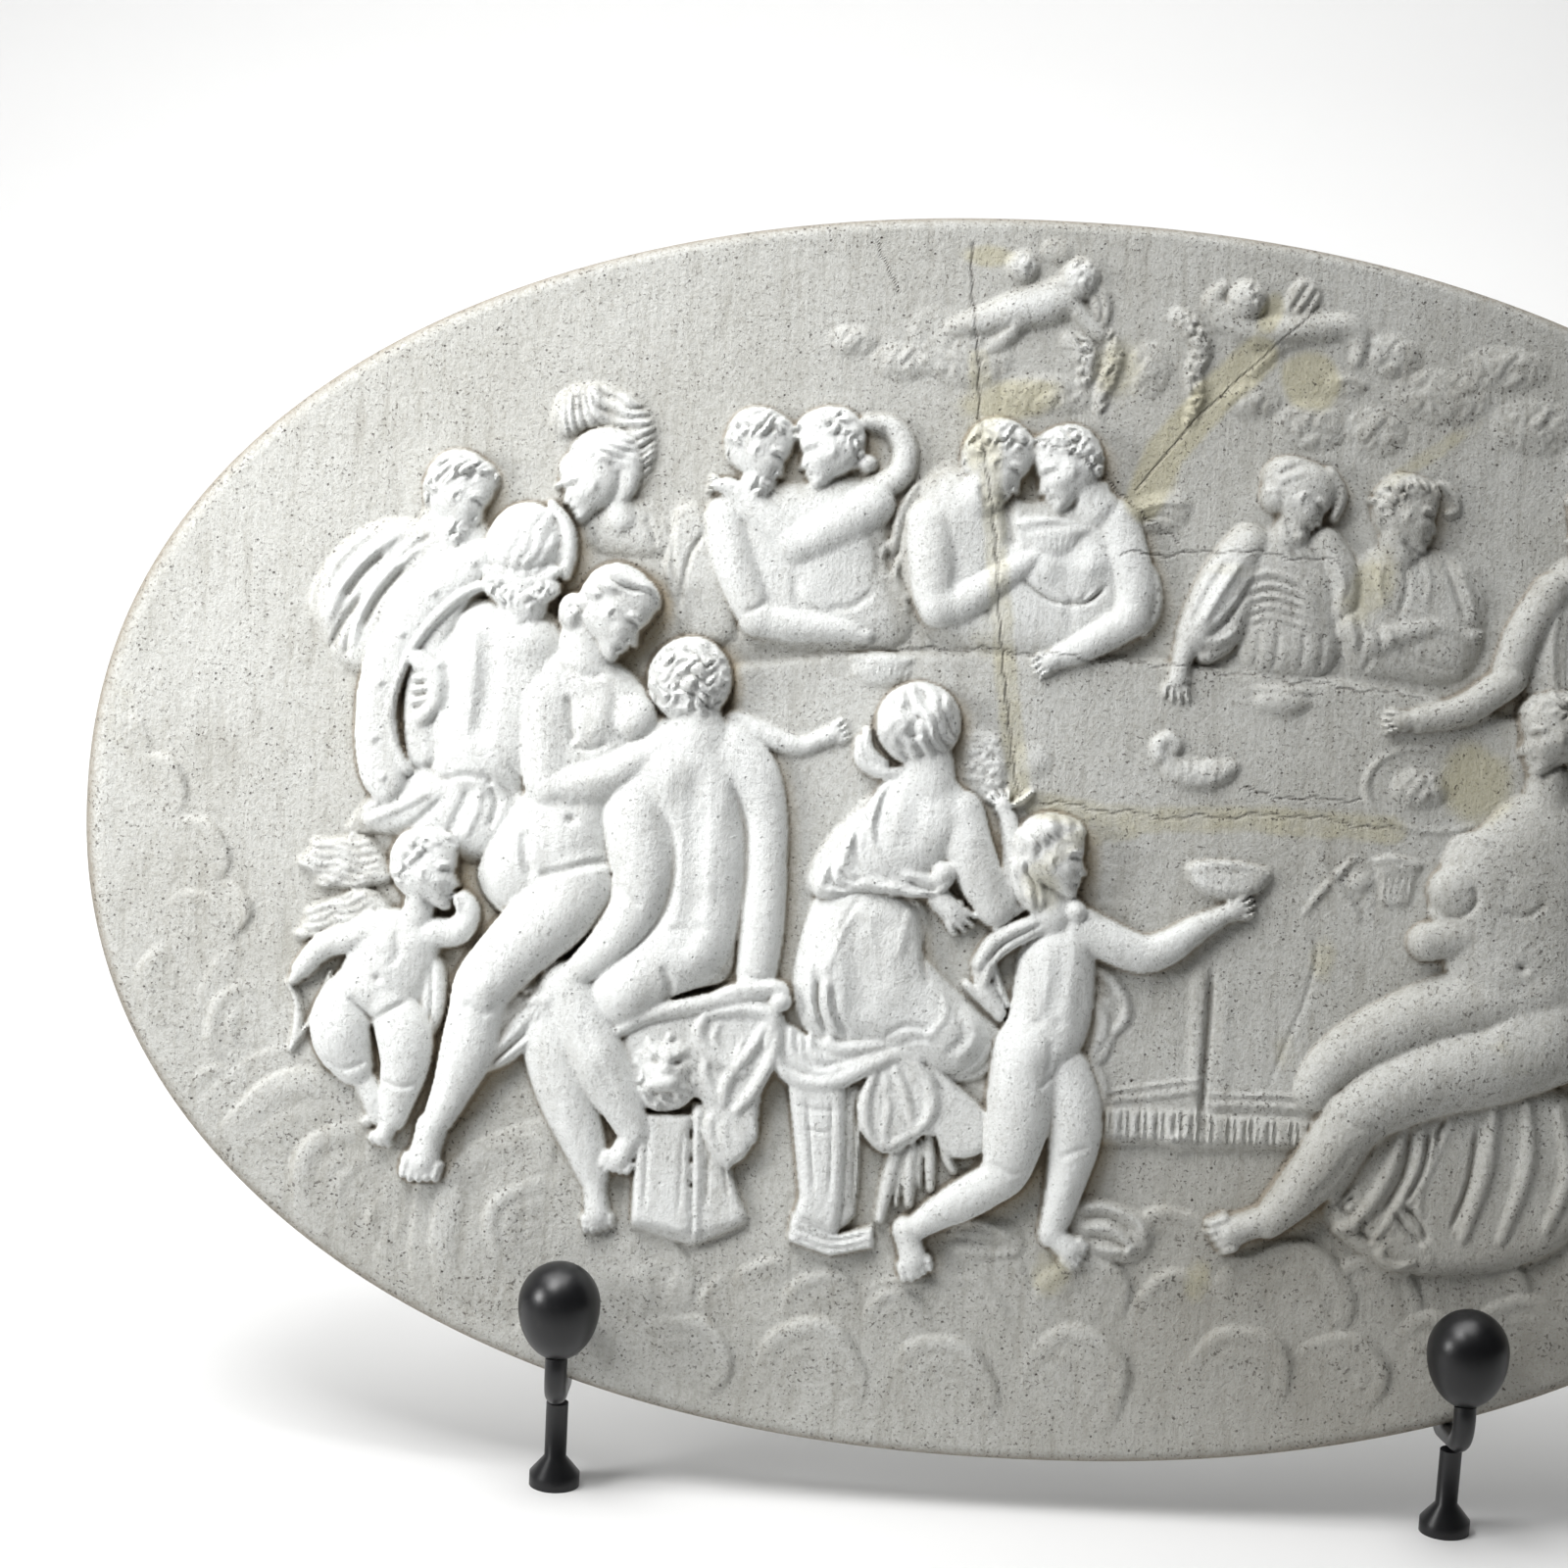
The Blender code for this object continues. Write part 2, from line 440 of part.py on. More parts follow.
def couple_with_bowl(c):
    """Man holding out a bowl and the woman beside him."""
    c.pad([(-32, 118), (-42, 111.5), (-47, 104), (-48.5, 92), (-47, 80), (-42, 70), (-36, 63), (-22, 58),
           (8, 56), (26, 62), (31, 74), (30, 90), (26, 100), (18, 108), (8, 110), (-8, 106), (-18, 112)],
          0.4, 4.4, 13, power=0.6)
    c.swell(-30, 100, 9, 10, 1.2)
    c.swell(12.5, 87, 5.2, 5.4, 2.2)
    c.swell(-1, 86, 5, 4.6, 1.4)
    c.line([(-16, 112), (-14, 100), (-12, 90)], 2.6, -1.8)
    c.settle(0.5)
    for points, r in (([(-43, 110), (-48, 100), (-50, 88)], 1.8),
                      ([(-50, 92), (-54, 86), (-50, 78), (-44, 70)], 1.6),
                      ([(-47, 88), (-49, 80), (-44, 73)], 1.4)):
        c.strand(points, r, 1.6)
    c.settle(0.4)
    c.roll([(-38, 98, 8.4, 2.0), (-37.5, 88, 7.6, 3.6), (-36, 76, 7, 4.0), (-34, 71, 6, 4)], 0, 0.6,
           join=2)
    c.roll([(-35, 71, 6), (-26, 74, 6), (-17, 80.5, 5), (-8, 87, 4)], 4.2, 0.62, join=2)
    c.settle(0.5)
    c.hand(-10, 86, 30, 11, 4.6)
    c.settle(0.3)
    c.pad([(-11, 99), (-8, 93), (-3, 87), (4, 88), (9, 93), (10.6, 98), (6, 99.6), (-4, 100.4)], 3.4,
          3.6, 5)
    c.egg((-0.4, 98.4), (11.8, 4.5, 3.2), 4.6, turned(0, 0, 3), join=0.3, flat=0.7)
    c.swell(-0.4, 98.6, 8.4, 1.6, -2.2, 3)
    c.settle(0.5)
    c.roll([(-20, 112, 6), (-24, 106, 8)], 2.5, 0.6)
    c.profile(-18.5, 117.5, 26, 2.2, 1, 36, high=0.25)
    c.settle()
    c.roll([(10, 110, 5.5), (14, 105, 7)], 2.5, 0.6)
    c.profile(3.5, 116.5, 26, 2.4, -1, 26, high=0.25)
    c.egg((14.6, 111), (3.0, 2.6, 3.2), 2.2)
    c.settle()
    c.roll([(20, 101, 7.5, 1.8), (24, 91, 6.8, 3.2), (27, 80, 6.4, 3.8), (25.5, 70.5, 6, 4)], 0, 0.6,
           join=2)
    c.roll([(26, 71, 6), (17, 65, 5.4), (9, 60, 4.4), (4, 58, 3.4)], 4.2, 0.62, join=2)
    c.settle(0.5)
    for points, r in (([(29, 90), (33, 84), (34, 74), (30, 66)], 1.7),
                      ([(27, 92), (31, 84), (31.5, 76)], 1.2)):
        c.strand(points, r, 3.2)
    c.settle(0.4)
    c.hand(6, 59, 208, 12, 4.4)
    c.settle(0.3)
    c.pad([(20, 106), (30, 111), (41, 113), (44.5, 107), (40, 99.5), (28, 98)], -0.6, 1.7, 4)
    c.settle(0.2)


def veiled_figure(c):
    """Wrapped figure leaning a hand on the table."""
    c.pad([(70, 103), (62, 99), (54, 90), (57, 80), (60, 66), (60, 57), (90, 56), (92, 74), (92, 88),
           (88, 98), (82, 103)], 0.4, 4.4, 11)
    c.settle(0.5)
    c.roll([(62, 96, 7, 1.4), (56, 86, 8, 2.4), (50, 74, 7.4, 3.0), (46.5, 67, 6, 3)], 0, 0.62, join=2)
    c.roll([(60, 78, 5), (56, 68, 5), (50, 62, 4)], 2.6, 0.6, join=2)
    c.roll([(45, 66, 4.0), (43, 60, 3.4), (42.5, 57, 3)], 3.4, 0.66)
    c.roll([(86, 98, 5.5, 1.6), (91, 90, 5.5, 2.2), (93, 82, 5, 2.2), (92, 77, 4, 2.2)], 0, 0.62)
    c.settle(0.5)
    c.hand(42.5, 58, 262, 13, 3.4)
    c.settle(0.3)
    c.roll([(76, 104, 5), (75, 100, 6)], 2.4, 0.6)
    c.profile(78, 111.5, 24, 2.0, 1, 38, high=0.24, cap=False)
    c.settle()
    c.egg((75.5, 116.5), (10.6, 8, 8), 3.2, turned(0, 0, 18), flat=0.55)
    c.egg((70, 112.5), (5.2, 5, 5.6), 3.4, flat=0.6)
    c.roll([(86, 120, 2.4), (90, 113, 2.2), (88, 106, 1.6)], 3.6, 0.7)
    c.settle()


def wreathed_figure(c):
    """Figure in a wreath, reaching over the table."""
    c.pad([(100, 98), (94, 90), (92, 76), (92, 60), (108, 57), (132, 56), (137, 70), (138, 84),
           (132, 93), (120, 98), (110, 99)], 0.2, 4.0, 11)
    c.settle(0.5)
    c.roll([(96, 72, 6, 1.8), (102, 68, 5.6, 2.4), (112, 71, 4.8, 2.6), (122, 73.5, 4, 2.6),
            (130, 72, 3, 2.4)], 0, 0.64)
    c.settle(0.4)
    c.hand(129, 72, -14, 10, 3.0)
    c.settle(0.3)
    c.roll([(108, 100, 5), (110, 96, 6)], 2.2, 0.6)
    c.profile(111.5, 108, 24, 1.6, 1, 12, high=0.24)
    c.settle()
    for i in range(8):
        a = math.radians(165 - i * 20)
        x, z = 109 + 9.4 * math.cos(a), 109.5 + 8.6 * math.sin(a)
        c.roll([(x, z, 1.3), (x + 2 * math.cos(a - 1.2), z + 2 * math.sin(a - 1.2), 0.6)], 5.4, 0.8,
               join=0.5)
    c.roll([(121, 119, 1.2), (125, 116, 1.8), (127, 110.5, 1.4), (123, 109, 1.0)], 1.2, 0.7)
    c.settle(0.4)


def putti(c):
    """Two winged children with garlands, low and worn, under the upper edge."""
    c.pad([(-49, 163), (-40, 166), (-28, 164), (-24, 152), (-34, 148), (-47, 150)], -1.3, 1.5, 5)
    c.pad([(8, 177), (14, 174), (15.5, 166), (12, 161), (8, 168)], -0.6, 2.4, 3)
    c.pad([(-8, 184), (-2, 181), (2, 184), (0, 189), (-7, 189)], -0.6, 1.8, 3)
    c.line([(-48, 160), (-44, 154), (-36, 150)], 2.4, 0.7)
    c.line([(10, 174), (12, 169), (12, 163)], 1.0, -0.8)
    c.settle(0.1, join=1.6)
    c.roll([(-16, 161, 4.8), (-20, 156, 3.6), (-24, 152.5, 2.0)], -0.5, 0.7)
    c.roll([(-39, 156.5, 1.8), (-34, 159.5, 3.6), (-26, 162, 5.0), (-16, 166, 6.0)], -0.2, 0.62, join=2)
    c.roll([(-16, 165.5, 6.4), (-8, 168, 7.2), (0, 170.5, 6.2)], 0, 0.6, join=2)
    c.line([(-14, 158), (-8, 161.5), (0, 161)], 1.4, -1.0)
    c.line([(-30, 158), (-22, 158), (-15, 163)], 1.2, -1.0)
    c.settle(0.3, join=0.8)
    c.roll([(-2, 174, 3.6), (4, 167.5, 3.2), (12, 160, 2.6)], 0.8, 0.7)
    c.egg((4.6, 177), (6.4, 6, 7.0), 0.3, turned(0, 0, 20), flat=0.75)
    c.egg((-13.6, 180), (5.6, 5, 5.4), -0.3, flat=0.75)
    c.settle(0.3, join=0.6)
    c.roll([(2, 158, 3.2), (7, 155, 4.4), (8.5, 149, 3.6), (7, 144, 2.2)], -0.4, 0.7)
    c.roll([(15, 160, 2.4), (16.6, 153, 3.6), (14.6, 145, 3.2), (12.6, 138, 2.4), (13.6, 133, 1.6)],
           -0.4, 0.7)
    c.settle(0.2, join=0.8)
    c.pad([(68, 170), (73, 181), (80, 179), (80.5, 173), (74, 168)], -0.4, 2.2, 3)
    c.pad([(84, 152), (92, 153), (98, 148), (92, 144), (84, 146)], -1.2, 1.8, 3)
    for points in ([(71, 170), (74, 175), (77, 180)], [(74, 169), (77.4, 174), (79.4, 178)]):
        c.line(points, 0.9, -1.2)
    c.line([(86, 149), (92, 150), (98, 147)], 1.2, 0.8)
    c.settle(0.2, join=1.2)
    c.roll([(50, 168, 4.6), (57, 164, 5.4), (66, 163, 5.6), (76, 165, 5.6), (84, 166, 4.6)], -0.3, 0.62,
           join=2)
    c.roll([(82, 166, 4.6), (90, 166.5, 4.0), (94, 162, 3.2), (93, 156, 2.6)], -0.1, 0.66, join=1)
    c.roll([(72, 162, 3.6), (66, 157, 3.2), (60, 150, 2.2)], -0.8, 0.66)
    c.roll([(52, 168, 3.6), (46, 172, 3.0), (50, 177, 2.4)], 0.2, 0.7)
    c.line([(68, 160), (74, 161), (82, 161)], 1.2, -0.9)
    c.line([(60, 160), (54, 160), (50, 163)], 1.4, -0.8)
    c.settle(0.3, join=0.8)
    c.egg((57.5, 173), (6.4, 6, 6.6), 0.5, flat=0.75)
    c.settle(0.3, join=0.6)
    c.roll([(36, 167, 3.4), (41, 163, 4.4), (44, 157, 4.0), (42, 149, 3.2), (43.6, 142, 3.2),
            (41, 133, 2.0)], -0.4, 0.7)
    c.settle(0.2, join=0.8)


def table(c):
    """The laid table: the top and the cloth that hangs down at the front are one soft sheet."""
    c.pad([(-98, 50), (-65, 55.5), (-20, 58.5), (30, 59), (60, 57), (90, 56), (115, 53), (150, 46),
           (200, 38), (205, -20), (200, -92), (92, -93), (60, -95), (50, -95.5), (46, -94), (24, -94.5),
           (-60, -94), (-100, -60)], 0.3, 2.0, 2.5, smooth=False)
    c.line([(57.5, -36), (57, -60), (56.5, -78), (57.5, -93)], 1.3, -2.4)
    c.line([(53.5, -34), (53.8, -60), (54, -80)], 3.2, 0.9)
    c.settle(0.2)
    dishes(c)


def soldier(c):
    """Helmeted soldier seen from behind, leaning on his shield."""
    c.pad([(-192, 52), (-188, 60), (-180, 66), (-166, 67), (-156, 63), (-150, 56), (-149, 42),
           (-153, 26), (-158, 12), (-163, 4), (-178, 2), (-190, 8), (-192, 16), (-192.5, 30),
           (-193.5, 42)], 2.6, 6.6, 15, join=2)
    c.pad([(-192, 16), (-180, 11), (-160, 10), (-160, 0), (-165, -8), (-176, -16), (-190, -12),
           (-204, -9), (-216, -9), (-215, -4), (-206, 7)], 1.8, 4.2, 10, join=3)
    c.line([(-185.5, 61), (-186.5, 44), (-185, 26)], 3.4, -1.9)
    c.line([(-174.5, 58), (-174, 40), (-176, 20)], 4.4, -1.3)
    c.swell(-180, 44, 4, 14, 0.9)
    c.swell(-163, 54, 7, 6, 1.2)
    c.swell(-161, 34, 5, 12, 0.6)
    c.settle(0.5, join=0.8)
    c.roll([(-166, 74, 7), (-165, 66, 8)], 5.0, 0.6, 2)
    c.settle(0.2, join=2.5)
    c.egg((-165, 84), (12.6, 10, 13.6), 4.8, turned(0, 0, 8), flat=0.72)
    c.roll([(-158, 97.5, 1.6), (-153, 91, 2.6), (-151.5, 83, 2.8), (-152.5, 75, 2.0)], 6.0, 0.75,
           join=0.5)
    c.roll([(-176, 75, 2.0), (-170, 72, 2.0), (-162, 72.5, 2.0), (-155, 76, 2.0)], 8.2, 0.7, join=1.5)
    c.roll([(-175, 71, 3.6), (-166, 67, 4.6), (-157, 71, 4)], 6.5, 0.8, join=1)
    c.settle()


def shield(c):
    """Round shield seen half from its side, with a raised rim and rivets."""
    rim = [(-177, 85), (-188, 80), (-197, 73), (-205, 62), (-211, 50), (-214, 38), (-215, 28),
           (-214.5, 18), (-212, 8), (-208, 2), (-203, 0.5), (-199, 8), (-201, 18), (-203, 30),
           (-201, 42), (-196, 54), (-189, 64), (-180, 71), (-175, 77)]
    c.pad(rim, 5.5, 2.2, 4)
    c.settle(0.8)
    c.pad([(-177, 74), (-186, 68), (-194, 58), (-199, 46), (-201, 34), (-200, 20), (-197, 12),
           (-190, 16), (-190, 34), (-189, 50), (-184, 62)], 3.5, 1.6, 3)
    c.settle(0.4)
    lip = [(-177, 71, 1.6), (-185, 67, 1.8), (-193, 59, 1.8), (-199, 50, 1.8), (-203, 40, 1.8),
           (-205, 30, 1.8), (-204, 22, 1.8), (-201, 15, 1.7), (-198, 11, 1.4)]
    c.roll(lip, 6.5, 0.8)
    outer = [(-176, 84.5, 1.3), (-188, 79.5, 1.4), (-197, 72, 1.4), (-205, 61.5, 1.4), (-211, 50, 1.4),
             (-214, 38, 1.4), (-214.6, 28, 1.4), (-214, 18, 1.4), (-211.6, 8, 1.4), (-207, 2, 1.3)]
    c.roll(outer, 6.0, 0.8)
    c.settle(0.2)
    c.roll([(-198, 47, 3), (-192, 42, 3.4), (-191, 34, 3), (-195, 28, 2.6)], 6.0, 0.7)
    c.settle(0.4)


def seated_woman(c):
    """Seated woman at the left, leaning over her forearm."""
    c.pad([(-158, 50), (-148, 53), (-136, 50), (-127, 43), (-120, 34), (-120, 26), (-126, 14), (-132, 4),
           (-133, -8), (-130, -20), (-140, -28), (-158, -32), (-168, -31), (-175, -21), (-172, -11),
           (-166, 0), (-161, 7), (-162, 20), (-164, 30), (-163, 43)], 3.8, 6.6, 14, join=2, power=0.6)
    c.roll([(-142, -21, 12, 4.0), (-150, -31, 12.2, 6.0), (-158.5, -39.5, 11.2, 7.0),
            (-166, -48, 10.2, 7.6), (-171, -55, 9.6, 7.8), (-173, -64, 8.8, 7), (-175, -75, 8.8, 6.6),
            (-179, -87, 6.6, 6), (-183, -97, 5, 6)], 0, 0.66, join=4)
    c.roll([(-154, 44, 8.5, 3.5), (-156.5, 36, 8.6, 5.8), (-156, 24, 8, 6.6), (-154.5, 11, 7.4, 7.4)], 0,
           0.66, join=2.5)
    c.egg((-140.5, 29.5), (8, 6, 8.6), 7.4, join=3, flat=0.75)
    c.egg((-128, 31.5), (7, 6, 7.6), 7.0, join=3, flat=0.75)
    c.swell(-134.3, 34, 2.0, 6, -0.9)
    c.swell(-147, -6, 9, 9, 1.5)
    c.swell(-167, -16, 6, 8, 0.8)
    c.line([(-149.3, 38), (-147.5, 30), (-146.5, 22)], 1.7, -1.6)
    c.line([(-160.5, -5), (-159.5, -14), (-157, -20)], 2.2, -1.7)
    c.line([(-157, -20), (-148, -17.5), (-140, -15), (-133, -14)], 1.8, -1.6)
    c.settle(0.5)
    c.roll([(-146.5, 58, 6.4), (-145, 50, 7.6)], 4.8, 0.6, 3)
    c.settle(0.1, join=3.5)
    c.profile(-136, 64, 28, 6.0, 1, 38, high=0.3)
    c.egg((-149, 64), (5, 5, 6), 7.0, flat=0.8)
    c.settle()
    c.roll([(-153, 8.8, 7.0, 8.2), (-146, 9.4, 7.4), (-137, 12.4, 7.4), (-127, 18.5, 6),
            (-118, 22.6, 4.8)], 8.0, 0.64)
    c.roll([(-119, 22.6, 4.9), (-112, 22, 5.2), (-107, 21, 4)], 8.8, 0.5, join=2)
    c.swell(-141, 12.5, 6, 4, 0.5)
    c.settle()
    c.foot(-185, -100, -188.5, -116.5, 20, 5.2)
    c.settle(0.4, join=1)


def seated_man(c):
    """Seated man seen from behind at the table's left end."""
    c.roll([(-97, 32, 4), (-86, 28, 4), (-76, 25.5, 3.2), (-69, 28, 2.6)], 3.0, 0.6)
    c.settle(0.4, join=0.8)
    c.hand(-71, 27.5, 22, 12, 3.4)
    c.settle(0.3)
    c.roll([(-150, -58, 9.4, 1.6), (-148, -72, 10.4, 2.8), (-143, -88, 9.4, 3.0), (-137, -103, 7.0, 2.8),
            (-133.4, -113, 5.0, 2.6)], 0, 0.62, join=2)
    c.line([(-156, -72), (-150, -86), (-143, -100)], 2.0, -0.6)
    c.settle(0.4)
    c.foot(-133.4, -113, -131, -130, 16, 2.4)
    c.settle(0.3)
    c.roll([(-145, -54, 9, 5.0), (-138, -68, 9.4, 6.0), (-131.4, -80, 8.8, 6.2), (-125.6, -90, 7.0, 5.6),
            (-121.6, -98, 5.2, 5.0)], 0, 0.62, join=2)
    c.swell(-134, -76, 5, 8, 0.8, -30)
    c.line([(-140, -64), (-134, -76), (-127, -88)], 1.6, -0.5)
    c.settle(0.4)
    c.foot(-121.6, -98, -127.5, -111, 16, 4.6)
    c.settle(0.3)
    c.roll([(-98, 22, 11, 3), (-90, 14, 9, 4.8), (-85.5, 2, 7, 5.4), (-84.6, -14, 6.7, 5.4),
            (-84.8, -28, 7.2, 5.4), (-85.4, -40, 6.8, 5.2), (-86, -51, 6, 5.0)], 0, 0.62, join=3)
    c.pad([(-124, 30), (-112, 35), (-101, 32), (-97, 26), (-94, 18), (-92, 8), (-91, 0), (-90, -10),
           (-90.5, -20), (-92, -30), (-92.5, -38), (-93.5, -45), (-97, -50), (-106, -53), (-113, -56.5),
           (-117, -61), (-123, -66), (-131, -70), (-137, -63), (-140, -55), (-138, -47), (-128, -38),
           (-119, -28), (-118, -10), (-124, 2), (-134, 10), (-133, 22)], 5.0, 7.4, 15, join=2.5,
          power=0.6)
    c.roll([(-124, 14, 9, 4.5), (-126.5, 4, 9.6, 7.2), (-124.6, -8, 10, 8.2), (-123, -18, 9.2, 8.6),
            (-125, -28.5, 8, 8.4), (-132, -39, 6.8, 8), (-141, -48, 5, 7.6), (-147, -55, 4, 7)], 0, 0.62,
           join=1.4)
    c.line([(-107, 20), (-107, 6), (-106.5, -10), (-107, -30), (-111, -46)], 4.4, -1.3, ends=0.0)
    c.line([(-97, 14), (-94, 6), (-91, -4), (-90.5, -16), (-91, -30), (-93, -46)], 1.6, -1.2)
    c.swell(-115, 14, 6, 8, 1.2)
    c.swell(-99.5, 10, 4.5, 8, 1.0)
    c.swell(-126, -56, 9, 9, 1.7)
    c.swell(-104, -43, 8, 7, 1.5)
    c.swell(-101, -24, 6, 5, -0.9)
    c.settle(0.5)
    c.roll([(-109, 36, 7.5), (-108, 28, 9)], 5.8, 0.6)
    c.settle(0.1, join=3.5)
    c.egg((-111.5, 44.5), (13.2, 11, 13.6), 6.6, turned(0, 0, 20), flat=0.7)
    c.settle()
    c.hand(-146.5, -54, 225, 13, 7.4)
    c.settle(0.3)
    c.roll([(-150, -60, 2.6), (-158, -62, 3.6), (-166, -68, 4), (-172, -78, 3)], 4.5, 0.7)
    c.pad([(-150, -56), (-158, -52), (-165, -60), (-170, -70), (-175, -79), (-172, -83), (-162, -79),
           (-153, -71), (-146, -64)], 3.6, 2.6, 4)
    c.settle(0.4)


def standing_cupid(c):
    """Winged child with a bow in front of the seated woman's leg."""
    feathers(c, (-204, -22), [(-215, -11), (-226, -13), (-230, -19), (-224, -25)], 3.0, 1.2)
    feathers(c, (-204, -32), [(-217, -31), (-227, -35), (-230, -42), (-222, -41)], 3.0, 1.4)
    c.settle(0.4)
    c.roll([(-233, -57, 1.2), (-230, -62, 1.4), (-229, -70, 1.6), (-231, -79, 1.1)], 2.2, 0.8)
    c.roll([(-231, -79, 0.9), (-225, -68, 1.0), (-219, -52, 0.9)], 2.6, 0.8)
    c.settle(0.3)
    c.pad([(-191, -48), (-186, -46), (-183, -52), (-183, -64), (-187, -73), (-191, -66)], 2.8, 2.6, 4)
    c.settle(0.4)
    c.pad([(-212, -35), (-203, -32), (-190, -34), (-185, -41), (-187, -50), (-190, -58), (-191, -65),
           (-203, -70), (-215, -67), (-218, -58), (-215, -48), (-214, -41)], 3.2, 4.8, 10, join=2,
          power=0.6)
    c.roll([(-208, -85, 3.8, 2.6), (-204.4, -91, 4.0, 2.8), (-202.4, -98, 3.0, 2.8)], 0, 0.66, join=1)
    c.roll([(-212, -58, 7.4, 3.4), (-215.4, -66, 9.2, 4.8), (-214.6, -74, 9.4, 4.8),
            (-210.6, -82, 6.4, 4.0)], 0, 0.62, join=1.2)
    c.roll([(-200, -63, 7.4, 4.6), (-195.4, -71, 9, 5.6), (-194.4, -80, 8.0, 5.6), (-196, -90, 6.0, 5.0),
            (-197.2, -98, 4.2, 4.6)], 0, 0.64, join=1.4)
    c.swell(-204, -52, 7, 7, 1.4)
    c.swell(-205, -59, 5, 4, 0.6)
    c.line([(-214, -59), (-209, -64), (-205, -67), (-200, -64), (-193, -60)], 1.3, -1.5)
    c.settle(0.4)
    c.roll([(-207, -38, 5, 3.5), (-213, -42, 4.8, 4.4), (-222, -45, 4.2, 4.2), (-229, -53, 3.2, 3.8)], 0,
           0.7)
    c.roll([(-188, -39, 5, 4.0), (-180, -38, 4.6, 5), (-177, -32, 3.8, 5.6), (-179, -28, 3, 6)], 0, 0.7)
    c.settle(0.4, join=1)
    c.hand(-229, -53, 240, 8, 4.0)
    c.foot(-197.4, -98, -202, -107, 12, 4.4)
    c.foot(-202.4, -97, -208, -101, 8, 2.6)
    c.settle(0.3)
    c.roll([(-193, -34, 5, 4.5), (-192, -27, 5, 5)], 0, 0.6)
    c.profile(-190.5, -20, 25, 5.0, 1, 4, high=0.28)
    c.settle()


def left_seat(c):
    """The seated man's carved seat, a lion's mask under the rim, with its drapery."""
    c.pad([(-121, -92), (-104, -92), (-102, -130), (-121, -127)], 3.6, 2.6, 2, smooth=False)
    c.pad([(-104, -88), (-90, -88), (-92, -104), (-87, -118), (-84, -124), (-102, -131)], 2.2, 2.0, 2,
          smooth=False)
    c.line([(-102, -92), (-101.5, -112), (-101, -130)], 2.2, 1.4, ends=1)
    c.settle(0.5)
    c.pad([(-121, -125), (-102, -129.5), (-86, -122.5), (-84.5, -125), (-101, -133.5), (-121, -128.5)],
          2.0, 1.4, 1.6, smooth=False)
    c.settle(0.3)
    c.pad([(-126, -66), (-110, -60), (-98, -56), (-84, -52), (-78, -56), (-79, -70), (-82, -84),
           (-84, -100), (-90, -107), (-96, -104), (-98, -92), (-104, -86), (-116, -90), (-124, -82)],
          4.4, 2.4, 3)
    c.settle(0.5)
    c.egg((-113, -78), (12.4, 6, 13.6), 4.6, flat=0.7)
    c.egg((-112.4, -78), (7.4, 6, 9.0), 6.4, flat=0.8, join=1)
    c.egg((-112.4, -81.5), (4.2, 4, 3.4), 9.6, flat=0.8)
    for side in (-1, 1):
        c.swell(-112.4 + side * 3.6, -75.4, 1.8, 1.2, -2.4, side * 18)
        c.swell(-112.4 + side * 3.8, -72.6, 2.6, 1.2, 1.2, side * 18)
        c.swell(-112.4 + side * 4.4, -84.4, 2.4, 2.6, 1.0)
    c.settle(0.4)
    cloth = (([(-130, -68), (-119, -61), (-106, -57.5), (-92, -54), (-81, -51.5)], 3.0, 7.0),
             ([(-104, -57), (-91, -52), (-79, -50.5), (-76, -55)], 2.6, 7.6),
             ([(-101, -60), (-88, -57.5), (-80, -60), (-81, -69)], 2.4, 7.2),
             ([(-101, -60), (-103, -66), (-98, -73), (-88, -78)], 2.4, 7.0),
             ([(-96, -62), (-98, -68), (-92, -74), (-85, -76)], 1.5, 7.0),
             ([(-82, -62), (-86, -70), (-93, -80), (-94, -88)], 2.2, 7.2),
             ([(-79, -58), (-79, -70), (-84, -82), (-90, -90)], 2.4, 7.0),
             ([(-100, -72), (-100, -80), (-94, -88)], 2.0, 6.8),
             ([(-103, -68), (-104, -78), (-98, -86), (-92, -89)], 1.6, 6.4),
             ([(-88, -66), (-92, -76), (-95, -86)], 1.2, 7.4),
             ([(-95, -88), (-98, -95), (-95, -103), (-91, -107)], 2.2, 5.6),
             ([(-92, -89), (-93, -97), (-90, -105)], 2.0, 6.0),
             ([(-89, -89), (-88, -97), (-87, -103)], 1.8, 5.8),
             ([(-86, -87), (-84, -94), (-84, -100)], 1.6, 5.4))
    for points, r, y in cloth:
        c.strand(points, r, y, 0.85, join=0.35)
    c.egg((-77.6, -54.6), (3.4, 3, 3.4), 7.4, join=0.5)
    c.settle(0.5)


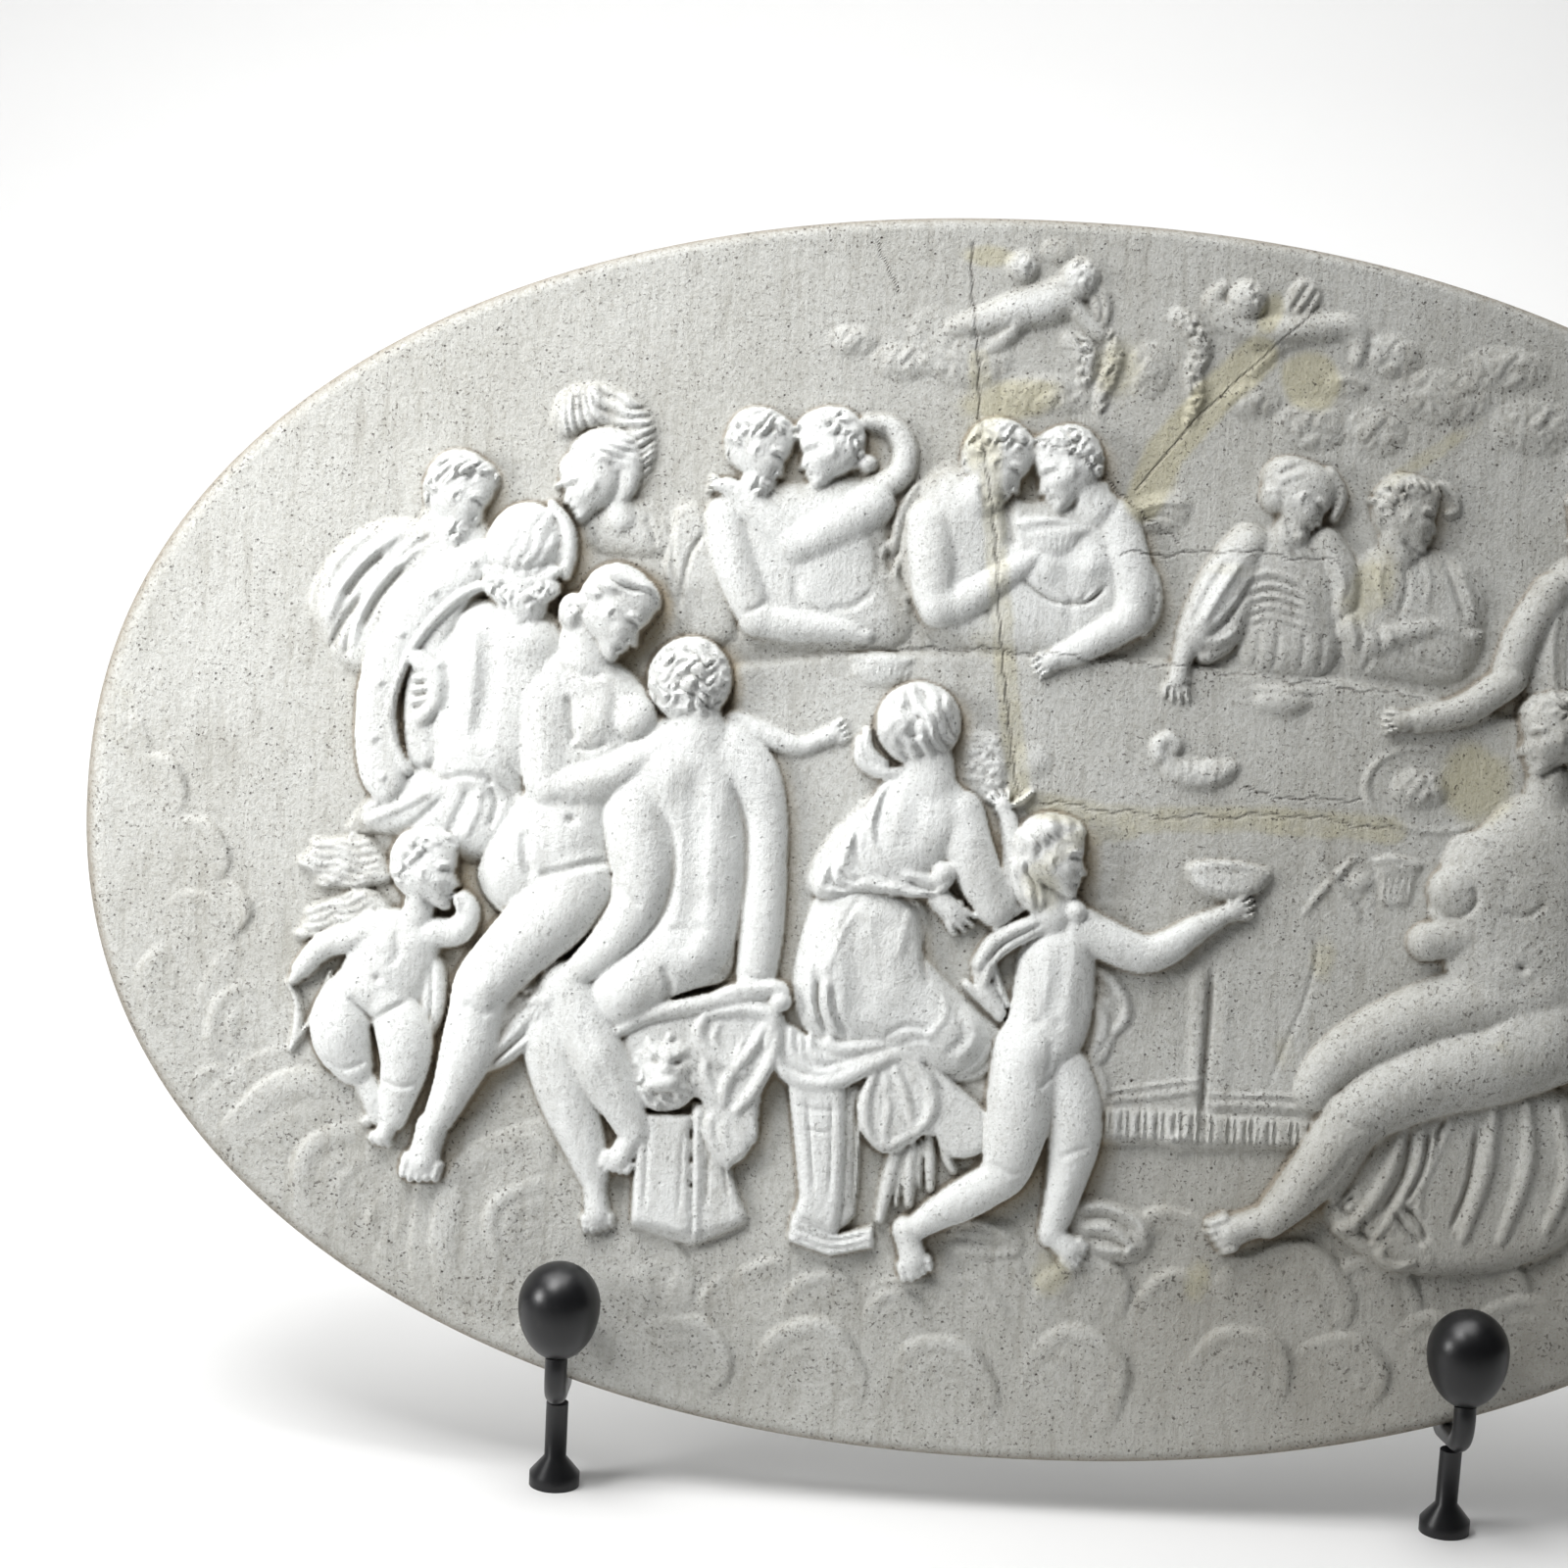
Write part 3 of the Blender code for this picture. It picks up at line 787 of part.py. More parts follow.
def seated_servant(c):
    """Seated clothed woman seen from behind, turned to the table."""
    c.pad([(-49, 15), (-57, 8), (-64, -1), (-70, -10), (-73, -19), (-68, -22), (-60, -18), (-53, -6),
           (-48, 4)], 2.0, 3.4, 5)
    c.settle(0.4)
    c.pad([(-67, -20), (-58, -16), (-46, -18), (-36, -21), (-33, -28), (-34, -37), (-28, -44),
           (-21, -50), (-14, -56), (-8, -61), (-9, -68), (-13, -75), (-22, -77), (-31, -73), (-40, -68),
           (-52, -66), (-64, -67), (-71, -61), (-74, -50), (-73.5, -40), (-71, -29)], 4.0, 6.4, 15,
          power=0.6)
    c.pad([(-50, 15), (-43, 22), (-31, 24), (-26, 17), (-20, 11), (-16, 5), (-18, -3), (-26, -7),
           (-32, -14), (-42, -19), (-58, -18), (-60, -9), (-55, 2)], 4.6, 6.2, 12, join=3, power=0.6)
    c.swell(-31, 2, 7, 8, 1.2)
    c.swell(-42, 6, 4, 7, 0.7)
    c.swell(-54, -42, 10, 14, 1.2)
    c.swell(-26, -62, 10, 8, 1.2)
    c.line([(-38, 18), (-39, 8), (-41, -6)], 4.2, -0.6)
    c.line([(-35, -24), (-34, -34), (-31, -43), (-24, -50), (-14, -58)], 2.2, -1.6)
    c.swell(-63, -40, 8, 20, 1.4, -6)
    c.swell(-43, -48, 7, 15, 1.0, 8)
    c.line([(-56, -26), (-54, -42), (-52, -60)], 5, -0.9)
    for points, wide, rise in (([(-66, -46), (-66, -56), (-62, -65)], 1.1, -2.0),
                               ([(-62, -48), (-60, -58), (-55, -65)], 1.6, -1.1),
                               ([(-71, -36), (-72, -48), (-69, -60)], 1.6, -1.0),
                               ([(-69, -40), (-69, -52), (-66, -62)], 1.8, 1.2),
                               ([(-64, -46), (-63, -56), (-59, -64)], 1.8, 1.3),
                               ([(-58, -26), (-62, -36), (-65, -46)], 2.4, 0.7),
                               ([(-46, -26), (-48, -38), (-46, -50)], 4, -0.6),
                               ([(-34, -38), (-33, -43), (-31, -47)], 1.2, -1.8),
                               ([(-20, -52), (-16, -62), (-22, -71)], 1.8, 0.8),
                               ([(-24, -52), (-20, -62), (-26, -69)], 1.6, -0.7),
                               ([(-45, -64), (-38, -60), (-30, -61)], 1.2, -1.0),
                               ([(-40, -66), (-33, -64), (-26, -66)], 1.2, -0.8),
                               ([(-12, -62), (-14, -68), (-22, -75)], 1.2, -0.8)):
        c.line(points, wide, rise)
    c.settle(0.5)
    c.pad([(-47, 16), (-50, 8), (-50, 0), (-45, -6), (-37, -11), (-30, -13), (-28, -17), (-34, -20),
           (-44, -19.5), (-55, -19), (-64, -21.5), (-69, -20), (-67, -13), (-61, -5), (-56, 4),
           (-51, 12)], 7.4, 2.0, 2.2)
    for points, wide, rise in (([(-49, 12), (-52, 2), (-50, -6), (-42, -12), (-33, -15)], 1.7, 1.1),
                               ([(-53, 6), (-57, -2), (-55, -10), (-46, -15)], 1.3, -1.5),
                               ([(-56, 2), (-60, -6), (-59, -13), (-50, -17), (-40, -17.5)], 1.6, 1.0),
                               ([(-50, -1), (-47, -8), (-40, -13)], 1.0, -1.2),
                               ([(-60, -5), (-64, -12), (-63, -17), (-56, -18.5)], 1.2, -1.5),
                               ([(-61, -12), (-58, -15), (-54, -15.6)], 1.3, -1.6),
                               ([(-40, -14.5), (-34, -17), (-30, -17)], 1.1, -1.6),
                               ([(-66, -13), (-67, -18), (-62, -20)], 1.2, 0.9),
                               ([(-46, -16), (-40, -18.6), (-33, -18.4)], 1.2, 0.9)):
        c.line(points, wide, rise)
    c.settle(0.35, join=1)
    c.egg((-29, -12), (3.4, 3, 3.6), 8.4, flat=0.9)
    c.strand([(-30, -9), (-26.4, -10), (-27, -15), (-31, -18)], 1.4, 9.0)
    c.settle(0.35, join=0.8)
    c.hand(-29, -19, 310, 14, 6.4)
    c.roll([(-30, -20, 3.4), (-24, -25, 4)], 6.0, 0.6)
    c.settle(0.3)
    c.roll([(-8.5, -20, 4.2, 5.6), (-6.8, -10, 3.9, 5.6), (-7.8, 0, 3.3, 5.2), (-9.5, 7, 2.8, 5)], 0,
           0.66)
    c.settle(0.4)
    c.hand(-9.5, 6, 112, 11, 5.0)
    c.strand([(-9, 10), (-5, 12.6), (-1.5, 15.5)], 1.3, 5.4)
    c.settle(0.3)
    c.roll([(-25, 6, 8.6, 5.2), (-22, -2, 8, 6.8), (-17.5, -12, 7.4, 7.2), (-12, -22, 6, 7.0)], 0, 0.62,
           join=2)
    c.settle(0.5)
    c.roll([(-35, 24, 7.4), (-35, 17, 8.6)], 5.4, 0.6)
    c.settle(0.1, join=3)
    for points, r in (([(-57, 29), (-56, 22), (-49, 18.5), (-40, 19)], 2.2),
                      ([(-55, 32), (-54, 25), (-48, 21)], 1.8)):
        c.strand(points, r, 6.4)
    c.settle(0.3)
    c.egg((-39, 34.5), (13.4, 11, 13), 6.4, turned(0, 0, -25), flat=0.66)
    c.egg((-45, 33), (7.2, 5, 6.8), 11.0, flat=0.75, join=0.5)
    c.settle()


def right_seat(c):
    """Pedestal with a panel, and the drapery that hangs from it."""
    c.pad([(-74.5, -78), (-72, -92), (-70, -105), (-68.5, -116), (-70, -122), (-56, -127), (-55, -115),
           (-55, -100), (-56, -80)], 4.4, 2.6, 3, smooth=False)
    c.pad([(-56.5, -80), (-55, -100), (-55.4, -115), (-56, -127), (-50.6, -121), (-50, -100),
           (-51, -80)], 2.8, 1.0, 2, smooth=False)
    c.line([(-52.4, -82), (-52, -100), (-51.6, -120)], 0.9, -1.4)
    c.settle(0.5)
    c.pad([(-70.5, -121), (-71.5, -130), (-58, -134), (-44, -130.5), (-45, -124), (-56, -127)], 3.8, 1.6,
          1.8, smooth=False)
    c.settle(0.5)
    c.pad([(-79, -60), (-66, -66), (-48, -65), (-36, -68), (-30, -76), (-12, -86), (-11, -98),
           (-20, -101), (-28, -94), (-34, -97), (-42, -101), (-49, -95), (-50, -84), (-47, -76),
           (-60, -80), (-72, -81), (-79, -72)], 4.4, 1.8, 3)
    c.settle(0.5)
    cloth = (([(-78, -60), (-78.5, -70), (-73, -78), (-62, -79.5), (-50, -74), (-40, -69), (-32, -70)],
              3.2, 5.8), ([(-74, -63), (-73, -71), (-66, -76), (-56, -74.5), (-46, -69)], 2.0, 6.2),
             ([(-68, -65), (-66, -71), (-59, -72.5)], 1.7, 6.2),
             ([(-71, -64), (-69, -73), (-62, -76)], 1.2, 6.6),
             ([(-62, -66), (-58, -68.5), (-48, -67), (-40, -66)], 2.2, 6.2),
             ([(-40, -69), (-31, -76), (-28.6, -86), (-33, -93.5)], 2.4, 6.4),
             ([(-47, -75), (-49.5, -85), (-48, -94), (-43, -99.5)], 2.3, 6.0),
             ([(-44, -75), (-42, -84), (-43, -93), (-42, -99)], 1.8, 6.0),
             ([(-41, -73), (-37, -82), (-34, -92)], 2.0, 6.2),
             ([(-37, -72), (-33, -80), (-31, -90)], 1.6, 6.4),
             ([(-46, -80), (-45, -88), (-45.6, -96)], 1.2, 6.0),
             ([(-34, -94), (-39, -97), (-43, -100)], 1.5, 6.0),
             ([(-30, -73), (-22, -80), (-12, -87.5)], 2.2, 5.2),
             ([(-29, -78), (-22, -86), (-12, -94)], 2.0, 5.0),
             ([(-28, -84), (-22, -93), (-14, -99)], 1.9, 4.8),
             ([(-28, -89), (-24, -97), (-19, -101)], 1.5, 4.6),
             ([(-27, -76), (-20, -84), (-12, -90.5)], 1.0, 5.6))
    for points, r, y in cloth:
        c.strand(points, r, y, 0.8, join=0.35)
    c.settle(0.5)
    for points, r in (([(-38, -97), (-40.5, -108), (-43, -122)], 2.6),
                      ([(-33.6, -97), (-34.4, -108), (-34, -117)], 2.3),
                      ([(-29, -93), (-28, -103), (-27.4, -112)], 2.0),
                      ([(-25, -96), (-22.6, -102), (-20, -106)], 1.8),
                      ([(-36, -98), (-37.4, -108), (-38, -118)], 1.4),
                      ([(-31, -95), (-31.4, -104), (-31, -112)], 1.3)):
        c.strand(points, r, 2.6, 0.8, join=0.3)
    c.settle(0.4)


def serving_boy(c):
    """Standing boy seen from behind, holding out a bowl."""
    for points, r in (([(20, -39), (27, -44), (31, -53), (27, -60)], 2.4),
                      ([(20, -44), (25, -50), (29, -55)], 1.6), ([(22, -50), (24, -58), (21, -68)], 2.6),
                      ([(27, -60), (24, -67), (20, -70)], 2.0), ([(21, -68), (25, -76), (25, -84)], 2.2),
                      ([(18, -70), (20, -78), (22, -84)], 1.8)):
        c.strand(points, r, 2.4, 0.75, join=0.4)
    c.settle(0.4)
    c.pad([(16, -113), (26, -112), (34, -114), (42, -117), (44, -123), (40, -130), (30, -132),
           (22, -131), (16, -124)], 0.6, 2.0, 4)
    c.pad([(-24, -120), (-10, -118), (2, -122), (4, -130), (-4, -134), (-18, -132)], -0.2, 1.4, 5)
    for points, wide, rise in (([(19, -115), (28, -114), (38, -118), (42, -124)], 1.6, 1.4),
                               ([(20, -121), (29, -121), (35, -125), (36, -130)], 1.5, 1.3),
                               ([(24, -127), (32, -128), (39, -126)], 1.4, 1.0),
                               ([(20, -118), (29, -117.6), (38, -122)], 1.0, -1.3),
                               ([(22, -124), (30, -124.6), (38, -128)], 1.0, -1.2),
                               ([(-22, -123), (-12, -121), (0, -125)], 1.6, 1.0),
                               ([(-22, -127), (-12, -127), (0, -129)], 1.4, -0.9),
                               ([(-20, -130), (-10, -131), (2, -131)], 1.6, 0.8)):
        c.line(points, wide, rise)
    c.settle(0.4)
    c.roll([(12, -72, 8.5, 4.0), (15.5, -82, 9.0, 4.6), (16.6, -93, 8.6, 4.8), (15.6, -103, 7, 4.4),
            (13.4, -114, 5.4, 4.2), (11, -124, 4, 4)], 0, 0.62, join=2)
    c.swell(14, -108, 4, 7, 0.7)
    c.settle(0.5)
    c.foot(11, -123, 21, -131, 16, 3.6)
    c.settle(0.3)
    c.pad([(14, -22), (5, -26), (-3, -33), (-4.5, -44), (-6, -55), (-9, -62), (-10, -70), (2, -78),
           (12, -74), (17, -66), (20, -56), (20.5, -46), (20.5, -38), (20, -28)], 4.6, 6.4, 13,
          power=0.6)
    c.roll([(0, -66, 10, 5.6), (-0.6, -78, 10.6, 6.6), (-1.4, -90, 10, 6.8), (-4, -103, 8, 6.6),
            (-7, -108, 6.6, 6.0)], 0, 0.62, join=4)
    c.roll([(-6, -107, 6.6, 6.2), (-15, -113, 6.6, 5.8), (-25, -119, 5.2, 5.2), (-33, -125, 3.8, 4.8)],
           0, 0.64, join=2.5)
    c.line([(9, -30), (9, -44), (6, -58)], 3.4, -0.8, ends=0.0)
    c.swell(1, -67, 8, 7, 1.5)
    c.swell(12, -67, 5, 6, 1.0)
    c.swell(14, -32, 5, 6, 0.9)
    c.line([(7, -62), (7.6, -68), (6.4, -73)], 1.3, -0.8)
    c.settle(0.5)
    c.foot(-34.5, -124.5, -30, -139, 17, 4.4)
    c.settle(0.3)
    c.roll([(15, -27, 7, 5.2), (25, -31, 6.4, 5.8), (35, -34, 6, 6), (43, -31.5, 5.4, 5.8),
            (52, -25, 4.2, 5.4), (59, -21, 3.2, 5.2)], 0, 0.62, join=2)
    c.settle(0.5)
    c.hand(58, -21, 22, 13, 5.2)
    c.settle(0.3)
    c.pad([(47.5, -6), (52, -4), (64, -4.4), (73, -5), (74.4, -8.4), (69, -13.5), (61, -16), (54, -14.6),
           (49, -10.5)], 3.6, 3.0, 4)
    c.egg((61, -6.8), (13.4, 4, 3.4), 5.0, turned(0, 0, 1.5), join=0.4, flat=0.6)
    c.swell(61, -6.6, 9.6, 1.7, -1.6, -1.5)
    c.settle(0.5)
    for points, r in (([(13, -19), (6, -24), (-4, -28), (-12, -33), (-16.5, -40)], 3.0),
                      ([(14, -22), (4, -27), (-5, -32), (-12, -38), (-14, -46)], 2.0),
                      ([(-16.5, -39), (-14, -47), (-8, -55)], 2.6),
                      ([(-12, -38), (-10, -46), (-6, -53)], 1.6),
                      ([(-20, -46), (-15, -50), (-8, -57)], 1.8),
                      ([(0, -19), (-6, -23), (-12, -29)], 1.8)):
        c.strand(points, r, 7.4 if points[0][0] > 0 else 5.6, 0.75, join=0.4)
    c.egg((13.4, -21.5), (3.2, 3, 3.2), 9.2, flat=0.8)
    c.settle(0.4)
    c.roll([(6, -18, 6), (6, -23, 7.6)], 5.6, 0.6)
    c.profile(5.5, -5.5, 26, 6.2, 1, 6, high=0.3)
    c.roll([(-3, -8, 5), (-2, -14, 5), (0, -19, 4)], 8.6, 0.6, join=2)
    c.settle()


def reclining_figure(c):
    """Seated nude figure at the right end of the table, legs stretched to the left."""
    c.pad([(112, -80), (128, -74), (152, -68), (170, -70), (182, -84), (182, -104), (170, -120),
           (150, -128), (128, -130), (112, -126), (98, -116), (97, -106), (104, -96)], 2.4, 3.2, 6)
    for points, r in (([(116, -80), (108, -94), (99, -107)], 3.0),
                      ([(121, -80), (116, -98), (107, -114), (101, -117)], 3.0),
                      ([(126, -79), (124.5, -96), (120, -108), (112, -120)], 2.4),
                      ([(131, -78), (129, -90), (124, -104), (117, -118)], 1.9),
                      ([(136, -80), (131.5, -90), (126, -104), (127, -116), (131, -126)], 1.7),
                      ([(131, -88), (136, -91), (139, -95)], 1.3),
                      ([(100, -106), (104, -109), (103, -114)], 1.8),
                      ([(112, -118), (118, -114), (126, -120), (132, -124)], 1.7),
                      ([(118, -120), (114, -124), (119, -128), (126, -126)], 1.6),
                      ([(148, -76), (146, -96), (140, -118)], 3.2),
                      ([(158, -74), (159, -94), (152, -118)], 3.2),
                      ([(168, -76), (172, -96), (166, -114)], 3.2)):
        c.strand(points, r, 5.2, 0.8, join=0.4)
    c.settle(0.5)
    c.roll([(160, -40, 14, 4.2), (142, -44, 12.6, 4.2), (124, -50, 11, 4.2), (106, -59, 9.4, 4.2),
            (96, -67, 8, 4.0), (92, -74, 7, 3.4)], 0, 0.62, join=3)
    c.settle(0.5)
    c.pad([(139, 11), (131, 7), (127, -3), (124.5, -12), (126, -22), (131, -34), (134, -48), (140, -62),
           (166, -66), (180, -52), (180, -34), (176, -14), (178, 6), (174, 20), (162, 26), (148, 20)],
          4.6, 6.8, 15, power=0.6)
    c.roll([(164, -54, 15, 5.0), (146, -62, 13.6, 6.2), (128, -68, 12, 6.6), (112, -76, 10.6, 6.8),
            (105, -82, 9.6, 6.6)], 0, 0.62, join=4)
    c.roll([(104, -82, 9.6, 6.6), (97, -94, 9.2, 6.4), (88, -106, 7.6, 5.8), (79, -116, 5.4, 5.2)], 0,
           0.62, join=3)
    c.egg((131.5, -9), (7.6, 6.4, 8), 6.8, join=2.4, flat=0.75)
    c.egg((153, -7), (8, 6, 7.4), 6.6, join=3, flat=0.7)
    c.swell(150, -34, 10, 9, 1.2)
    c.settle(0.5)
    c.foot(77, -116, 62, -122, 19, 4.4)
    c.settle(0.4)
    c.roll([(174, 10, 8, 5), (177, -6, 7.6, 5.6), (170, -20, 6.6, 6.4)], 0, 0.64, join=2)
    c.settle(0.4, join=0.8)
    c.roll([(124, -25.4, 6.0), (134, -23.5, 6.2), (148, -20, 6.0), (164, -20, 6.4)], 7.0, 0.62, join=1.5)
    c.settle(0.5)
    c.roll([(160, 26, 7), (160, 18, 8)], 5.0, 0.6)
    c.profile(160, 41, 26, 5.8, -1, 12, high=0.3)
    c.roll([(171, 40, 5), (173, 32, 5), (171, 24, 3.6)], 6.4, 0.6, join=2)
    c.settle()


def right_end(c):
    """Plainer company at the right end: a standing servant, a seated elder and a child."""
    c.pad([(160, 96), (176, 98), (190, 90), (196, 68), (192, 40), (180, 24), (162, 28), (152, 50),
           (150, 76)], 1.0, 5.0, 10)
    c.folds([(160, 92), (156, 66), (164, 34)], [(190, 86), (192, 62), (184, 30)], 5, 2.4, 1.1)
    c.settle()
    c.profile(172, 108, 25, 3, -1, 14, beard=True, high=0.25)
    c.settle()
    c.roll([(158, 86, 6.4), (150, 72, 6.2), (146, 60, 5.6)], 4, 0.65)
    c.roll([(146, 58, 5.4), (132, 48, 4.8), (118, 44, 3.8)], 5, 0.65)
    c.settle(0.5)
    c.hand(118, 44, 185, 12, 5.4)
    c.settle(0.4)
    c.pad([(198, 60), (214, 64), (228, 56), (234, 36), (230, 8), (222, -10), (200, -14), (190, 6),
           (190, 36)], 2.5, 6.0, 11)
    c.folds([(198, 56), (192, 30), (200, -8)], [(230, 48), (232, 22), (220, -8)], 6, 2.6, 1.3)
    c.settle()
    c.profile(208, 76, 26, 4, -1, 16, high=0.28)
    c.settle()
    c.roll([(202, 52, 7), (194, 34, 6.6), (184, 22, 6)], 5.5, 0.62)
    c.roll([(184, 20, 5.8), (172, 30, 5), (164, 38, 3.8)], 6.5, 0.62)
    c.settle(0.6)
    c.pad([(188, -6), (214, -12), (232, -20), (236, -44), (224, -72), (196, -84), (178, -66),
           (178, -30)], 3.5, 6.5, 12)
    c.folds([(190, -10), (182, -40), (192, -76)], [(230, -22), (230, -44), (216, -70)], 7, 3.0, 1.5)
    c.settle()
    c.roll([(206, -30, 12), (192, -44, 11), (180, -58, 9.6)], 6.5, 0.6)
    c.roll([(180, -58, 9), (184, -78, 8), (188, -98, 5.6), (190, -108, 4.4)], 6.0, 0.6)
    c.settle()
    c.foot(190, -108, 180, -114, 14, 6)
    c.settle(0.4)
    c.roll([(250, 0, 8), (252, -12, 9), (250, -24, 8.6)], 3.5, 0.6)
    c.roll([(248, -26, 6.4), (246, -40, 5.4), (247, -54, 3.8)], 3.6, 0.6)
    c.roll([(256, -26, 6), (260, -38, 5), (262, -50, 3.4)], 3.0, 0.6)
    c.roll([(244, -2, 4.6), (236, 6, 4), (230, 14, 3)], 5, 0.6)
    c.settle(0.6)
    c.profile(250, 14, 21, 4.4, -1, 6, high=0.28)
    c.settle()


def dishes(c):
    """Bowls, plates, bread and knives on the table."""
    c.egg((-51.5, 51), (9.6, 4, 5.6), 2.1, flat=0.7)
    c.egg((-51.5, 54.2), (10, 3, 2.2), 2.6, join=0.3, flat=0.6)
    c.settle(0.4)
    c.egg((75, 47.5), (9.6, 4, 4.6), 1.9, flat=0.7)
    c.egg((75, 51), (10.4, 3, 1.8), 2.2, join=0.3, flat=0.6)
    c.roll([(83, 49, 1.0), (85.6, 47, 1.1), (84, 43.5, 0.8)], 2.0, 0.8)
    c.roll([(66, 49, 0.9), (63.5, 51, 1.0), (66, 53, 0.8)], 2.0, 0.8)
    c.roll([(70, 43, 1.0), (79, 43, 1.0)], 2.2, 0.8)
    c.settle(0.3)
    c.pad([(36, 30), (41, 31), (46, 27.5), (55, 28), (64, 28.5), (62, 23.5), (56, 19), (46, 18),
           (39, 21.5)], 1.6, 2.8, 3.4)
    c.roll([(37.4, 28, 2.6), (36.6, 32, 2.6), (40, 34.2, 2.4), (43, 31.8, 2.0), (41, 29.4, 1.2)], 3.0,
           0.8)
    c.settle(0.4)
    c.egg((-2, 25), (7, 4, 6.8), 1.4, flat=0.5)
    c.pad([(-25, 32), (-15, 34), (-10, 26), (-10, 16), (-16, 10), (-23, 14)], 1.6, 1.4, 3)
    c.settle(0.3)
    c.egg((122, 22), (20, 5, 13.5), 0.8, flat=0.35)
    c.settle(0.2)
    c.roll([(138, 12, 1), (128, 9.4, 1.1), (115, 10.4, 1.2), (105, 16, 1.3), (102.6, 24, 1.3),
            (107, 31, 1.2), (116, 34.8, 1.1), (128, 35, 1)], 2.6, 0.6)
    c.egg((119.5, 22.5), (9.4, 4, 6.6), 2.2, flat=0.5)
    c.settle(0.2)
    c.pad([(106.4, -0.5), (113, 1), (121.5, -1.6), (120.4, -9), (119, -15), (113, -15.6), (108, -14.6),
           (107.6, -8)], 1.6, 2.0, 3, smooth=False)
    c.egg((114, -1.2), (7.8, 3, 2.2), 3.0, turned(0, 0, 5), join=0.3, flat=0.6)
    c.swell(114, -1.3, 4.8, 1.1, -1.3, -5)
    c.egg((102.5, -8), (4.4, 3, 3.6), 1.8, flat=0.6)
    for points in ([(87, 1), (94, -8), (99, -14), (103, -20)],
                   [(101, 0), (95, -6), (90, -12), (85, -19)]):
        c.strand(points, 1.5, 2.6, 0.6)
    c.settle(0.3)


def feathers(c, root, tips, wide, y):
    """A small wing of overlapping downy feathers that spread from the root."""
    outline = [root] + [(x, z) for x, z in tips] + [((root[0] + tips[-1][0]) / 2,
            (root[1] + tips[-1][1]) / 2 - 2)]
    c.pad(outline, y, 1.8, 3)
    for i, (x, z) in enumerate(tips):
        bend = 2.4 - 0.8 * i
        middle = ((root[0] + x) / 2, (root[1] + z) / 2 + bend)
        c.roll([(*root, wide * 0.9), (*middle, wide * 1.1), (x, z, wide * 0.7)], y + 0.5, 0.55, join=0.6)


def feast(c):
    """The whole relief, from back to front."""
    for part in (clouds, putti, old_man, plumed_man, lovers, couple_with_bowl, veiled_figure,
                 wreathed_figure, right_end, table, soldier, shield, left_seat, right_seat, seated_woman,
                 seated_man, seated_servant, serving_boy, reclining_figure, standing_cupid):
        part(c)
    c.height = soften(c.height, 1)


# Plaque

def oval(u, v):
    """Takes a point of the square from -1 to 1 to the plaque's outline or the place inside it."""
    x = u * np.sqrt(1 - v ** 2 / 2)
    z = v * np.sqrt(1 - u ** 2 / 2)
    reach = np.hypot(x, z)
    safe = np.maximum(reach, 1e-9)
    spread = np.abs(x / safe) ** OUTLINE_POWER + np.abs(z / safe) ** OUTLINE_POWER
    bulge = np.where(reach > 0, np.maximum(spread, 1e-9), 1) ** (-1 / OUTLINE_POWER)
    return x * bulge * PLAQUE_LENGTH / 2, z * bulge * PLAQUE_HEIGHT / 2, reach


def rim_below(x):
    """Height of the plaque's lower rim at x, from its centre, and the cosine of its slope."""
    a, b, n = PLAQUE_LENGTH / 2, PLAQUE_HEIGHT / 2, OUTLINE_POWER
    z = b * (1 - abs(x / a) ** n) ** (1 / n)
    slope = (b / a) * abs(x / a) ** (n - 1) / (z / b) ** (n - 1)
    return -z, 1 / math.hypot(1, slope)


def read_clay(clay, x, z):
    """Height of the clay at drawn places, read between its grid points."""
    col = (x - clay.left) / clay.step
    row = (z - clay.low) / clay.step
    c0 = np.clip(col.astype(int), 0, clay.height.shape[1] - 2)
    r0 = np.clip(row.astype(int), 0, clay.height.shape[0] - 2)
    s, t = col - c0, row - r0
    h = clay.height
    return ((h[r0, c0] * (1 - s) + h[r0, c0 + 1] * s) * (1 - t)
            + (h[r0 + 1, c0] * (1 - s) + h[r0 + 1, c0 + 1] * s) * t)


def plaque_mesh():
    """The relief as a sheet over the oval, thinned out where it is flat, with a rim and a flat back."""
    clay = Clay(DRAWN_LENGTH / 2 + 6, DRAWN_HEIGHT / 2 + 6, CLAY_STEP)
    feast(clay)
    u, v = np.meshgrid(np.linspace(-1, 1, FACE_COLUMNS + 1), np.linspace(-1, 1, FACE_ROWS + 1))
    x, z, reach = oval(u, v)
    height = read_clay(clay, x * DRAWN_LENGTH / PLAQUE_LENGTH, z * DRAWN_HEIGHT / PLAQUE_HEIGHT)
    inward = (1 - reach) * PLAQUE_HEIGHT / 2
    shoulder = np.sqrt(1 - (1 - np.clip(inward / EDGE_ROUNDING, 0, 1)) ** 2)
    relief = np.clip(height, -1, DRAWN_DEPTH) * RELIEF_DEPTH / DRAWN_DEPTH * ease(inward
            / (3 * EDGE_ROUNDING))
    y = -relief + EDGE_ROUNDING * (1 - shoulder)
    columns = FACE_COLUMNS + 1
    corner = np.arange(FACE_ROWS)[:, None] * columns + np.arange(FACE_COLUMNS)
    faces = np.stack([corner, corner + 1, corner + columns + 1, corner + columns], -1).reshape(-1, 4)
    mesh = bpy.data.meshes.new("relief_plaque")
    mesh.from_pydata(np.stack([x, y, z], -1).reshape(-1, 3).tolist(), [], faces.tolist())
    return mesh


def link(name, data, collection, material, place=(0, 0, 0), turn=(0, 0, 0)):
    """Places an object in a collection with its material."""
    thing = bpy.data.objects.new(name, data)
    thing.location = place
    thing.rotation_euler = turn
    if not data.materials:
        data.materials.append(material)
    collection.objects.link(thing)
    return thing


